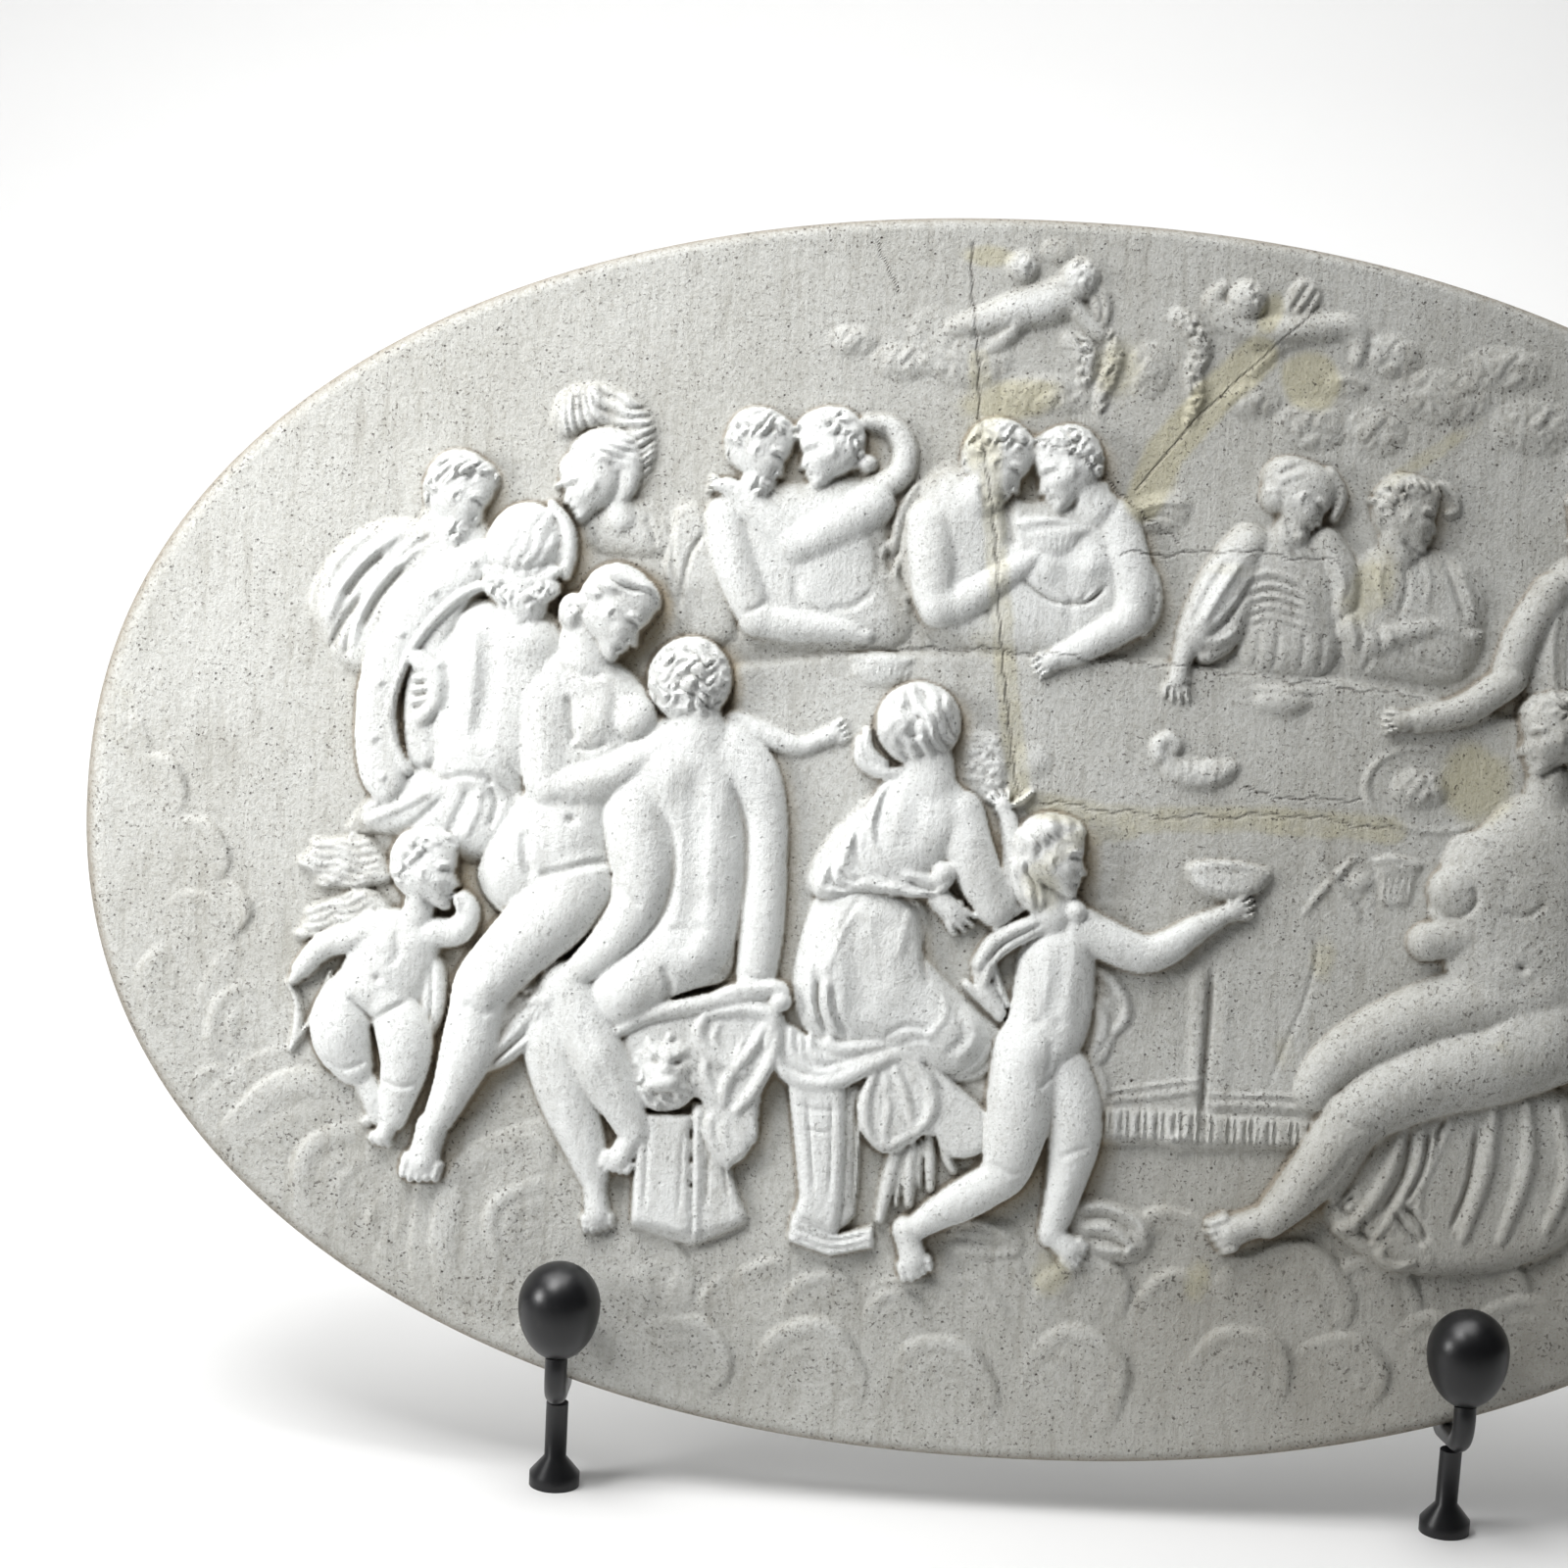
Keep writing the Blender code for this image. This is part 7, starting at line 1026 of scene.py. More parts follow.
def left_seat(c):
    """The seated man's carved seat, a lion's mask under the rim, with its drapery."""
    c.pad([(-121, -92), (-104, -92), (-102, -130), (-121, -127)], 3.6, 2.6, 2, smooth=False)
    c.pad([(-104, -88), (-90, -88), (-92, -104), (-87, -118), (-84, -124), (-102, -131)], 2.2, 2.0, 2,
          smooth=False)
    c.line([(-102, -92), (-101.5, -112), (-101, -130)], 2.2, 1.4, ends=1)
    c.lines(([(-98, -104), (-97.6, -120)], 0.8, -1.2), ([(-93, -106), (-91, -117)], 0.8, -1.0),
            ([(-98, -104), (-93, -104)], 0.7, -0.8), ([(-117, -96), (-117, -122)], 0.8, -0.8),
            ([(-106, -96), (-106, -124)], 0.8, -0.7))
    c.settle(0.5)
    c.pad([(-121, -125), (-102, -129.5), (-86, -122.5), (-84.5, -125), (-101, -133.5), (-121, -128.5)],
          2.0, 1.4, 1.6, smooth=False)
    c.settle(0.3)
    c.pad([(-126, -66), (-110, -60), (-98, -56), (-84, -52), (-78, -56), (-79, -70), (-82, -84),
           (-84, -100), (-90, -107), (-96, -104), (-98, -92), (-104, -86), (-116, -90), (-124, -82)],
          4.4, 2.4, 3)
    c.settle(0.5)
    c.grow(lambda: c.egg((-113, -78), (12.4, 6, 13.6), 4.6, flat=0.7),
           lambda: c.knots(-113, -78, 15, 16, 6.4, 2.0, 4))
    c.egg((-112.4, -78), (7.4, 6, 9.0), 6.4, flat=0.8, join=1)
    c.egg((-112.4, -81.5), (4.2, 4, 3.4), 9.6, flat=0.8)
    for side in (-1, 1):
        c.swells((-112.4 + side * 3.6, -75.4, 1.8, 1.2, -2.4, side * 18),
                 (-112.4 + side * 3.8, -72.6, 2.6, 1.2, 1.2, side * 18),
                 (-112.4 + side * 4.4, -84.4, 2.4, 2.6, 1.0))
    c.lines(([(-112.4, -71), (-112.4, -79)], 2.4, 0.9),
            ([(-117, -86.4), (-112.4, -84.8), (-108, -86.4)], 1.1, -1.8))
    c.swell(-112.4, -79.8, 1.6, 0.8, -0.8)
    c.settle(0.4)
    cloth = (([(-130, -68), (-119, -61), (-106, -57.5), (-92, -54), (-81, -51.5)], 3.0, 7.0),
             ([(-104, -57), (-91, -52), (-79, -50.5), (-76, -55)], 2.6, 7.6),
             ([(-101, -60), (-88, -57.5), (-80, -60), (-81, -69)], 2.4, 7.2),
             ([(-101, -60), (-103, -66), (-98, -73), (-88, -78)], 2.4, 7.0),
             ([(-96, -62), (-98, -68), (-92, -74), (-85, -76)], 1.5, 7.0),
             ([(-82, -62), (-86, -70), (-93, -80), (-94, -88)], 2.2, 7.2),
             ([(-79, -58), (-79, -70), (-84, -82), (-90, -90)], 2.4, 7.0),
             ([(-100, -72), (-100, -80), (-94, -88)], 2.0, 6.8),
             ([(-103, -68), (-104, -78), (-98, -86), (-92, -89)], 1.6, 6.4),
             ([(-88, -66), (-92, -76), (-95, -86)], 1.2, 7.4),
             ([(-95, -88), (-98, -95), (-95, -103), (-91, -107)], 2.2, 5.6),
             ([(-92, -89), (-93, -97), (-90, -105)], 2.0, 6.0),
             ([(-89, -89), (-88, -97), (-87, -103)], 1.8, 5.8),
             ([(-86, -87), (-84, -94), (-84, -100)], 1.6, 5.4))
    for points, r, y in cloth:
        c.strand(points, r, y, 0.85, join=0.35)
    c.egg((-77.6, -54.6), (3.4, 3, 3.4), 7.4, join=0.5)
    c.settle(0.5)


def seated_servant(c):
    """Seated clothed woman seen from behind, turned to the table."""
    c.pad([(-49, 15), (-57, 8), (-64, -1), (-70, -10), (-73, -19), (-68, -22), (-60, -18), (-53, -6),
           (-48, 4)], 2.0, 3.4, 5)
    c.lines(([(-54, 9), (-60, 4), (-61, 1)], 1.0, -1.4), ([(-50, 8), (-59, -4), (-67, -17)], 1.2, -1.0),
            ([(-54, 11), (-64, -1), (-71, -14)], 1.4, 0.7))
    c.settle(0.4)
    c.pad([(-67, -20), (-58, -16), (-46, -18), (-36, -21), (-33, -28), (-34, -37), (-28, -44),
           (-21, -50), (-14, -56), (-8, -61), (-9, -68), (-13, -75), (-22, -77), (-31, -73), (-40, -68),
           (-52, -66), (-64, -67), (-71, -61), (-74, -50), (-73.5, -40), (-71, -29)], 4.0, 6.4, 15,
          power=0.6)
    c.pad([(-50, 15), (-43, 22), (-31, 24), (-26, 17), (-20, 11), (-16, 5), (-18, -3), (-26, -7),
           (-32, -14), (-42, -19), (-58, -18), (-60, -9), (-55, 2)], 4.6, 6.2, 12, join=3, power=0.6)
    c.swells((-31, 2, 7, 8, 1.2), (-42, 6, 4, 7, 0.7), (-54, -42, 10, 14, 1.2), (-26, -62, 10, 8, 1.2))
    c.lines(([(-38, 18), (-39, 8), (-41, -6)], 4.2, -0.6),
            ([(-35, -24), (-34, -34), (-31, -43), (-24, -50), (-14, -58)], 2.2, -1.6))
    c.swells((-63, -40, 8, 20, 1.4, -6), (-43, -48, 7, 15, 1.0, 8))
    c.lines(([(-56, -26), (-54, -42), (-52, -60)], 5, -0.9),
            ([(-66, -46), (-66, -56), (-62, -65)], 1.1, -2.0),
            ([(-62, -48), (-60, -58), (-55, -65)], 1.6, -1.1),
            ([(-71, -36), (-72, -48), (-69, -60)], 1.6, -1.0),
            ([(-69, -40), (-69, -52), (-66, -62)], 1.8, 1.2),
            ([(-64, -46), (-63, -56), (-59, -64)], 1.8, 1.3),
            ([(-58, -26), (-62, -36), (-65, -46)], 2.4, 0.7),
            ([(-46, -26), (-48, -38), (-46, -50)], 4, -0.6),
            ([(-34, -38), (-33, -43), (-31, -47)], 1.2, -1.8),
            ([(-20, -52), (-16, -62), (-22, -71)], 1.8, 0.8),
            ([(-24, -52), (-20, -62), (-26, -69)], 1.6, -0.7),
            ([(-45, -64), (-38, -60), (-30, -61)], 1.2, -1.0),
            ([(-40, -66), (-33, -64), (-26, -66)], 1.2, -0.8),
            ([(-12, -62), (-14, -68), (-22, -75)], 1.2, -0.8),
            ([(-54, -20), (-60, -30), (-64, -40)], 1.2, -0.6),
            ([(-38, -22), (-40, -30), (-42, -40)], 1.8, 0.6),
            ([(-28, -46), (-26, -56), (-32, -64)], 1.4, 0.6))
    c.settle(0.5)
    c.pad([(-47, 16), (-50, 8), (-50, 0), (-45, -6), (-37, -11), (-30, -13), (-28, -17), (-34, -20),
           (-44, -19.5), (-55, -19), (-64, -21.5), (-69, -20), (-67, -13), (-61, -5), (-56, 4),
           (-51, 12)], 7.4, 2.0, 2.2)
    c.lines(([(-49, 12), (-52, 2), (-50, -6), (-42, -12), (-33, -15)], 1.7, 1.1),
            ([(-53, 6), (-57, -2), (-55, -10), (-46, -15)], 1.3, -1.5),
            ([(-56, 2), (-60, -6), (-59, -13), (-50, -17), (-40, -17.5)], 1.6, 1.0),
            ([(-50, -1), (-47, -8), (-40, -13)], 1.0, -1.2),
            ([(-60, -5), (-64, -12), (-63, -17), (-56, -18.5)], 1.2, -1.5),
            ([(-61, -12), (-58, -15), (-54, -15.6)], 1.3, -1.6),
            ([(-40, -14.5), (-34, -17), (-30, -17)], 1.1, -1.6),
            ([(-66, -13), (-67, -18), (-62, -20)], 1.2, 0.9),
            ([(-46, -16), (-40, -18.6), (-33, -18.4)], 1.2, 0.9))
    c.settle(0.35, join=1)
    c.egg((-29, -12), (3.4, 3, 3.6), 8.4, flat=0.9)
    c.strand([(-30, -9), (-26.4, -10), (-27, -15), (-31, -18)], 1.4, 9.0)
    c.settle(0.35, join=0.8)
    c.hand(-29, -19, 310, 14, 6.4, spread=0.35)
    c.roll([(-30, -20, 3.4), (-24, -25, 4)], 6.0, 0.6)
    c.settle(0.3)
    c.roll([(-8.5, -20, 4.2, 5.6), (-6.8, -10, 3.9, 5.6), (-7.8, 0, 3.3, 5.2), (-9.5, 7, 2.8, 5)], 0,
           0.66)
    c.settle(0.4)
    c.hand(-9.5, 6, 112, 11, 5.0, spread=0.5)
    c.strand([(-9, 10), (-5, 12.6), (-1.5, 15.5)], 1.3, 5.4)
    c.settle(0.3)
    c.roll([(-25, 6, 8.6, 5.2), (-22, -2, 8, 6.8), (-17.5, -12, 7.4, 7.2), (-12, -22, 6, 7.0)], 0, 0.62,
           join=2)
    c.line([(-27, -6), (-25, -12), (-20, -18)], 1.0, -0.7)
    c.settle(0.5)
    c.roll([(-35, 24, 7.4), (-35, 17, 8.6)], 5.4, 0.6)
    c.settle(0.1, join=3)
    c.strands(6.4, ([(-57, 29), (-56, 22), (-49, 18.5), (-40, 19)], 2.2),
              ([(-55, 32), (-54, 25), (-48, 21)], 1.8))
    c.settle(0.3)
    c.grow(lambda: c.egg((-39, 34.5), (13.4, 11, 13), 6.4, turned(0, 0, -25), flat=0.66),
           lambda: c.waves(-39, 34.5, 15, 15, 4.2, 2.6, 120, 0.25, 1))
    c.egg((-45, 33), (7.2, 5, 6.8), 11.0, flat=0.75, join=0.5)
    c.curl(-45, 33, 6.6, 1.8, 0.5)
    for i in range(7):
        a = i * 0.9
        c.line([(-45 + 4 * math.cos(a), 33 + 4 * math.sin(a)),
                (-45 + 7 * math.cos(a + 0.6), 33 + 6.6 * math.sin(a + 0.6))], 0.9, -1.0)
    c.settle()


def right_seat(c):
    """Pedestal with a panel, and the drapery that hangs from it."""
    c.pad([(-74.5, -78), (-72, -92), (-70, -105), (-68.5, -116), (-70, -122), (-56, -127), (-55, -115),
           (-55, -100), (-56, -80)], 4.4, 2.6, 3, smooth=False)
    c.pad([(-56.5, -80), (-55, -100), (-55.4, -115), (-56, -127), (-50.6, -121), (-50, -100),
           (-51, -80)], 2.8, 1.0, 2, smooth=False)
    c.lines(([(-52.4, -82), (-52, -100), (-51.6, -120)], 0.9, -1.4),
            ([(-67.6, -84), (-66, -98), (-64, -116)], 0.7, -0.9),
            ([(-60, -84), (-59.4, -98), (-59, -116)], 0.7, -0.9),
            ([(-68, -94), (-64, -95), (-60, -95)], 0.6, -0.7),
            ([(-72, -86), (-66, -88), (-58, -88)], 0.8, -0.6))
    c.settle(0.5)
    c.pad([(-70.5, -121), (-71.5, -130), (-58, -134), (-44, -130.5), (-45, -124), (-56, -127)], 3.8, 1.6,
          1.8, smooth=False)
    c.lines(([(-71, -124.5), (-58, -129), (-45, -126)], 0.8, -1.1),
            ([(-71, -127.5), (-58, -131.5), (-45, -128.5)], 0.7, -0.9))
    c.settle(0.5)
    c.pad([(-79, -60), (-66, -66), (-48, -65), (-36, -68), (-30, -76), (-12, -86), (-11, -98),
           (-20, -101), (-28, -94), (-34, -97), (-42, -101), (-49, -95), (-50, -84), (-47, -76),
           (-60, -80), (-72, -81), (-79, -72)], 4.4, 1.8, 3)
    c.settle(0.5)
    cloth = (([(-78, -60), (-78.5, -70), (-73, -78), (-62, -79.5), (-50, -74), (-40, -69), (-32, -70)],
              3.2, 5.8), ([(-74, -63), (-73, -71), (-66, -76), (-56, -74.5), (-46, -69)], 2.0, 6.2),
             ([(-68, -65), (-66, -71), (-59, -72.5)], 1.7, 6.2),
             ([(-71, -64), (-69, -73), (-62, -76)], 1.2, 6.6),
             ([(-62, -66), (-58, -68.5), (-48, -67), (-40, -66)], 2.2, 6.2),
             ([(-40, -69), (-31, -76), (-28.6, -86), (-33, -93.5)], 2.4, 6.4),
             ([(-47, -75), (-49.5, -85), (-48, -94), (-43, -99.5)], 2.3, 6.0),
             ([(-44, -75), (-42, -84), (-43, -93), (-42, -99)], 1.8, 6.0),
             ([(-41, -73), (-37, -82), (-34, -92)], 2.0, 6.2),
             ([(-37, -72), (-33, -80), (-31, -90)], 1.6, 6.4),
             ([(-46, -80), (-45, -88), (-45.6, -96)], 1.2, 6.0),
             ([(-34, -94), (-39, -97), (-43, -100)], 1.5, 6.0),
             ([(-30, -73), (-22, -80), (-12, -87.5)], 2.2, 5.2),
             ([(-29, -78), (-22, -86), (-12, -94)], 2.0, 5.0),
             ([(-28, -84), (-22, -93), (-14, -99)], 1.9, 4.8),
             ([(-28, -89), (-24, -97), (-19, -101)], 1.5, 4.6),
             ([(-27, -76), (-20, -84), (-12, -90.5)], 1.0, 5.6))
    for points, r, y in cloth:
        c.strand(points, r, y, 0.8, join=0.35)
    c.lines(([(-76, -66), (-75, -74), (-67, -78)], 0.9, -1.4),
            ([(-70, -68), (-67, -74), (-60, -75)], 0.9, -1.4),
            ([(-43, -80), (-39, -88), (-38, -95)], 0.9, -1.4),
            ([(-47, -84), (-46.8, -92), (-44, -97)], 0.9, -1.4),
            ([(-35, -77), (-32, -84), (-31.5, -91)], 0.9, -1.4),
            ([(-26, -80), (-19, -87), (-13, -92)], 0.9, -1.4))
    c.settle(0.5)
    for points, r in (([(-38, -97), (-40.5, -108), (-43, -122)], 2.6),
                      ([(-33.6, -97), (-34.4, -108), (-34, -117)], 2.3),
                      ([(-29, -93), (-28, -103), (-27.4, -112)], 2.0),
                      ([(-25, -96), (-22.6, -102), (-20, -106)], 1.8),
                      ([(-36, -98), (-37.4, -108), (-38, -118)], 1.4),
                      ([(-31, -95), (-31.4, -104), (-31, -112)], 1.3)):
        c.strand(points, r, 2.6, 0.8, join=0.3)
    c.settle(0.4)


def serving_boy(c):
    """Standing boy seen from behind, holding out a bowl."""
    for points, r in (([(20, -39), (27, -44), (31, -53), (27, -60)], 2.4),
                      ([(20, -44), (25, -50), (29, -55)], 1.6), ([(22, -50), (24, -58), (21, -68)], 2.6),
                      ([(27, -60), (24, -67), (20, -70)], 2.0), ([(21, -68), (25, -76), (25, -84)], 2.2),
                      ([(18, -70), (20, -78), (22, -84)], 1.8)):
        c.strand(points, r, 2.4, 0.75, join=0.4)
    c.line([(21, -47), (27, -49), (30, -52)], 0.8, -1.0)
    c.settle(0.4)
    c.pad([(16, -113), (26, -112), (34, -114), (42, -117), (44, -123), (40, -130), (30, -132),
           (22, -131), (16, -124)], 0.6, 2.0, 4)
    c.pad([(-24, -120), (-10, -118), (2, -122), (4, -130), (-4, -134), (-18, -132)], -0.2, 1.4, 5)
    c.lines(([(19, -115), (28, -114), (38, -118), (42, -124)], 1.6, 1.4),
            ([(20, -121), (29, -121), (35, -125), (36, -130)], 1.5, 1.3),
            ([(24, -127), (32, -128), (39, -126)], 1.4, 1.0),
            ([(20, -118), (29, -117.6), (38, -122)], 1.0, -1.3),
            ([(22, -124), (30, -124.6), (38, -128)], 1.0, -1.2),
            ([(-22, -123), (-12, -121), (0, -125)], 1.6, 1.0),
            ([(-22, -127), (-12, -127), (0, -129)], 1.4, -0.9),
            ([(-20, -130), (-10, -131), (2, -131)], 1.6, 0.8))
    c.settle(0.4)
    c.roll([(12, -72, 8.5, 4.0), (15.5, -82, 9.0, 4.6), (16.6, -93, 8.6, 4.8), (15.6, -103, 7, 4.4),
            (13.4, -114, 5.4, 4.2), (11, -124, 4, 4)], 0, 0.62, join=2)
    c.swell(14, -108, 4, 7, 0.7)
    c.line([(12, -99), (16, -97), (21, -95)], 1.2, -0.7)
    c.settle(0.5)
    c.foot(11, -123, 21, -131, 16, 3.6)
    c.settle(0.3)
    c.pad([(14, -22), (5, -26), (-3, -33), (-4.5, -44), (-6, -55), (-9, -62), (-10, -70), (2, -78),
           (12, -74), (17, -66), (20, -56), (20.5, -46), (20.5, -38), (20, -28)], 4.6, 6.4, 13,
          power=0.6)
    c.roll([(0, -66, 10, 5.6), (-0.6, -78, 10.6, 6.6), (-1.4, -90, 10, 6.8), (-4, -103, 8, 6.6),
            (-7, -108, 6.6, 6.0)], 0, 0.62, join=4)
    c.roll([(-6, -107, 6.6, 6.2), (-15, -113, 6.6, 5.8), (-25, -119, 5.2, 5.2), (-33, -125, 3.8, 4.8)],
           0, 0.64, join=2.5)
    c.line([(9, -30), (9, -44), (6, -58)], 3.4, -0.8, ends=0.0)
    c.swells((1, -67, 8, 7, 1.5), (12, -67, 5, 6, 1.0), (14, -32, 5, 6, 0.9))
    c.lines(([(7, -62), (7.6, -68), (6.4, -73)], 1.3, -0.8),
            ([(4, -78), (9, -73), (14, -71)], 1.2, -0.9))
    c.swells((2, -42, 2, 6, -0.4), (16, -50, 2, 6, -0.4), (3, -57, 1.5, 1.4, -0.7),
             (9.6, -56.5, 1.5, 1.4, -0.7))
    c.line([(-9, -101), (-4, -104), (2, -104)], 1.3, -0.6)
    c.settle(0.5)
    c.foot(-34.5, -124.5, -30, -139, 17, 4.4)
    c.settle(0.3)
    c.roll([(15, -27, 7, 5.2), (25, -31, 6.4, 5.8), (35, -34, 6, 6), (43, -31.5, 5.4, 5.8),
            (52, -25, 4.2, 5.4), (59, -21, 3.2, 5.2)], 0, 0.62, join=2)
    c.line([(36, -29), (40, -27.4), (44, -27)], 1.0, -0.6)
    c.settle(0.5)
    c.hand(58, -21, 22, 13, 5.2)
    c.settle(0.3)
    c.pad([(47.5, -6), (52, -4), (64, -4.4), (73, -5), (74.4, -8.4), (69, -13.5), (61, -16), (54, -14.6),
           (49, -10.5)], 3.6, 3.0, 4)
    c.egg((61, -6.8), (13.4, 4, 3.4), 5.0, turned(0, 0, 1.5), join=0.4, flat=0.6)
    c.swell(61, -6.6, 9.6, 1.7, -1.6, -1.5)
    for i in range(10):
        c.swell(50.5 + i * 2.4, -11.4 - 1.6 * math.sin(math.pi * i / 9), 1, 1.3, 0.9)
    c.settle(0.5)
    for points, r in (([(13, -19), (6, -24), (-4, -28), (-12, -33), (-16.5, -40)], 3.0),
                      ([(14, -22), (4, -27), (-5, -32), (-12, -38), (-14, -46)], 2.0),
                      ([(-16.5, -39), (-14, -47), (-8, -55)], 2.6),
                      ([(-12, -38), (-10, -46), (-6, -53)], 1.6),
                      ([(-20, -46), (-15, -50), (-8, -57)], 1.8),
                      ([(0, -19), (-6, -23), (-12, -29)], 1.8)):
        c.strand(points, r, 7.4 if points[0][0] > 0 else 5.6, 0.75, join=0.4)
    c.egg((13.4, -21.5), (3.2, 3, 3.2), 9.2, flat=0.8)
    c.lines(([(10, -22), (0, -27.6), (-9, -33), (-14, -40)], 0.8, -1.2),
            ([(-12, -42), (-10, -48), (-7, -53)], 0.8, -1.4))
    c.settle(0.4)
    c.roll([(6, -18, 6), (6, -23, 7.6)], 5.6, 0.6)
    c.profile(5.5, -5.5, 26, 6.2, 1, 6, 4.6, -70, high=0.3)
    c.grow(lambda: c.roll([(-3, -8, 5), (-2, -14, 5), (0, -19, 4)], 8.6, 0.6, join=2),
           lambda: c.waves(-1, -13, 8, 9, 3.6, 2.2, -80, 0, 2))
    c.settle()


def reclining_figure(c):
    """Seated nude figure at the right end of the table, legs stretched to the left."""
    c.pad([(112, -80), (128, -74), (152, -68), (170, -70), (182, -84), (182, -104), (170, -120),
           (150, -128), (128, -130), (112, -126), (98, -116), (97, -106), (104, -96)], 2.4, 3.2, 6)
    for points, r in (([(116, -80), (108, -94), (99, -107)], 3.0),
                      ([(121, -80), (116, -98), (107, -114), (101, -117)], 3.0),
                      ([(126, -79), (124.5, -96), (120, -108), (112, -120)], 2.4),
                      ([(131, -78), (129, -90), (124, -104), (117, -118)], 1.9),
                      ([(136, -80), (131.5, -90), (126, -104), (127, -116), (131, -126)], 1.7),
                      ([(131, -88), (136, -91), (139, -95)], 1.3),
                      ([(100, -106), (104, -109), (103, -114)], 1.8),
                      ([(112, -118), (118, -114), (126, -120), (132, -124)], 1.7),
                      ([(118, -120), (114, -124), (119, -128), (126, -126)], 1.6),
                      ([(148, -76), (146, -96), (140, -118)], 3.2),
                      ([(158, -74), (159, -94), (152, -118)], 3.2),
                      ([(168, -76), (172, -96), (166, -114)], 3.2)):
        c.strand(points, r, 5.2, 0.8, join=0.4)
    c.lines(([(122, -83), (120.6, -98), (114, -112)], 1.1, -1.9),
            ([(112, -88), (105, -101), (100, -110)], 1.1, -1.9),
            ([(128, -84), (126.6, -96), (121, -108)], 1.1, -1.9),
            ([(118, -110), (122, -116), (128, -121)], 1.1, -1.9),
            ([(120, -108), (126, -113), (129, -120)], 1.1, -1.9),
            ([(133, -80), (130.6, -85), (131, -88)], 1.1, -1.9),
            ([(106, -106), (102, -110), (105, -113)], 1.1, -1.9),
            ([(110, -112), (108, -117), (113, -121)], 1.1, -1.9),
            ([(143, -82), (141, -100), (136, -116)], 1.1, -1.9))
    c.settle(0.5)
    c.roll([(160, -40, 14, 4.2), (142, -44, 12.6, 4.2), (124, -50, 11, 4.2), (106, -59, 9.4, 4.2),
            (96, -67, 8, 4.0), (92, -74, 7, 3.4)], 0, 0.62, join=3)
    c.settle(0.5)
    c.pad([(139, 11), (131, 7), (127, -3), (124.5, -12), (126, -22), (131, -34), (134, -48), (140, -62),
           (166, -66), (180, -52), (180, -34), (176, -14), (178, 6), (174, 20), (162, 26), (148, 20)],
          4.6, 6.8, 15, power=0.6)
    c.roll([(164, -54, 15, 5.0), (146, -62, 13.6, 6.2), (128, -68, 12, 6.6), (112, -76, 10.6, 6.8),
            (105, -82, 9.6, 6.6)], 0, 0.62, join=4)
    c.roll([(104, -82, 9.6, 6.6), (97, -94, 9.2, 6.4), (88, -106, 7.6, 5.8), (79, -116, 5.4, 5.2)], 0,
           0.62, join=3)
    c.egg((131.5, -9), (7.6, 6.4, 8), 6.8, join=2.4, flat=0.75)
    c.egg((153, -7), (8, 6, 7.4), 6.6, join=3, flat=0.7)
    c.swell(150, -34, 10, 9, 1.2)
    c.lines(([(129, -17), (134, -16.5), (138, -12), (136, -7)], 1.1, -1.3),
            ([(146, -14), (153, -16), (160, -11)], 1.2, -0.8))
    c.swell(153, -32, 1.6, 1.4, -1.8)
    c.lines(([(134, 7), (137, 8.6), (141, 6)], 1.6, 0.9),
            ([(134, -52), (142, -52), (152, -46)], 1.6, -1.2),
            ([(104, -90), (99, -99), (90, -109)], 2.2, -0.6),
            ([(112, -84), (104, -84), (98, -80)], 1.6, -0.6),
            ([(131, -48), (135, -51), (141, -50)], 1.4, -1.2),
            ([(132, -43), (134, -49), (137, -53)], 1.2, -1.0))
    c.settle(0.5)
    c.foot(77, -116, 62, -122, 19, 4.4)
    c.settle(0.4)
    c.roll([(174, 10, 8, 5), (177, -6, 7.6, 5.6), (170, -20, 6.6, 6.4)], 0, 0.64, join=2)
    c.settle(0.4, join=0.8)
    c.roll([(124, -25.4, 6.0), (134, -23.5, 6.2), (148, -20, 6.0), (164, -20, 6.4)], 7.0, 0.62, join=1.5)
    c.settle(0.5)
    c.roll([(160, 26, 7), (160, 18, 8)], 5.0, 0.6)
    c.profile(160, 41, 26, 5.8, -1, 12, 5.4, high=0.3)
    c.grow(lambda: c.roll([(171, 40, 5), (173, 32, 5), (171, 24, 3.6)], 6.4, 0.6, join=2),
           lambda: c.knots(172, 32, 8, 11, 5, 1.5, 2))
    c.settle()


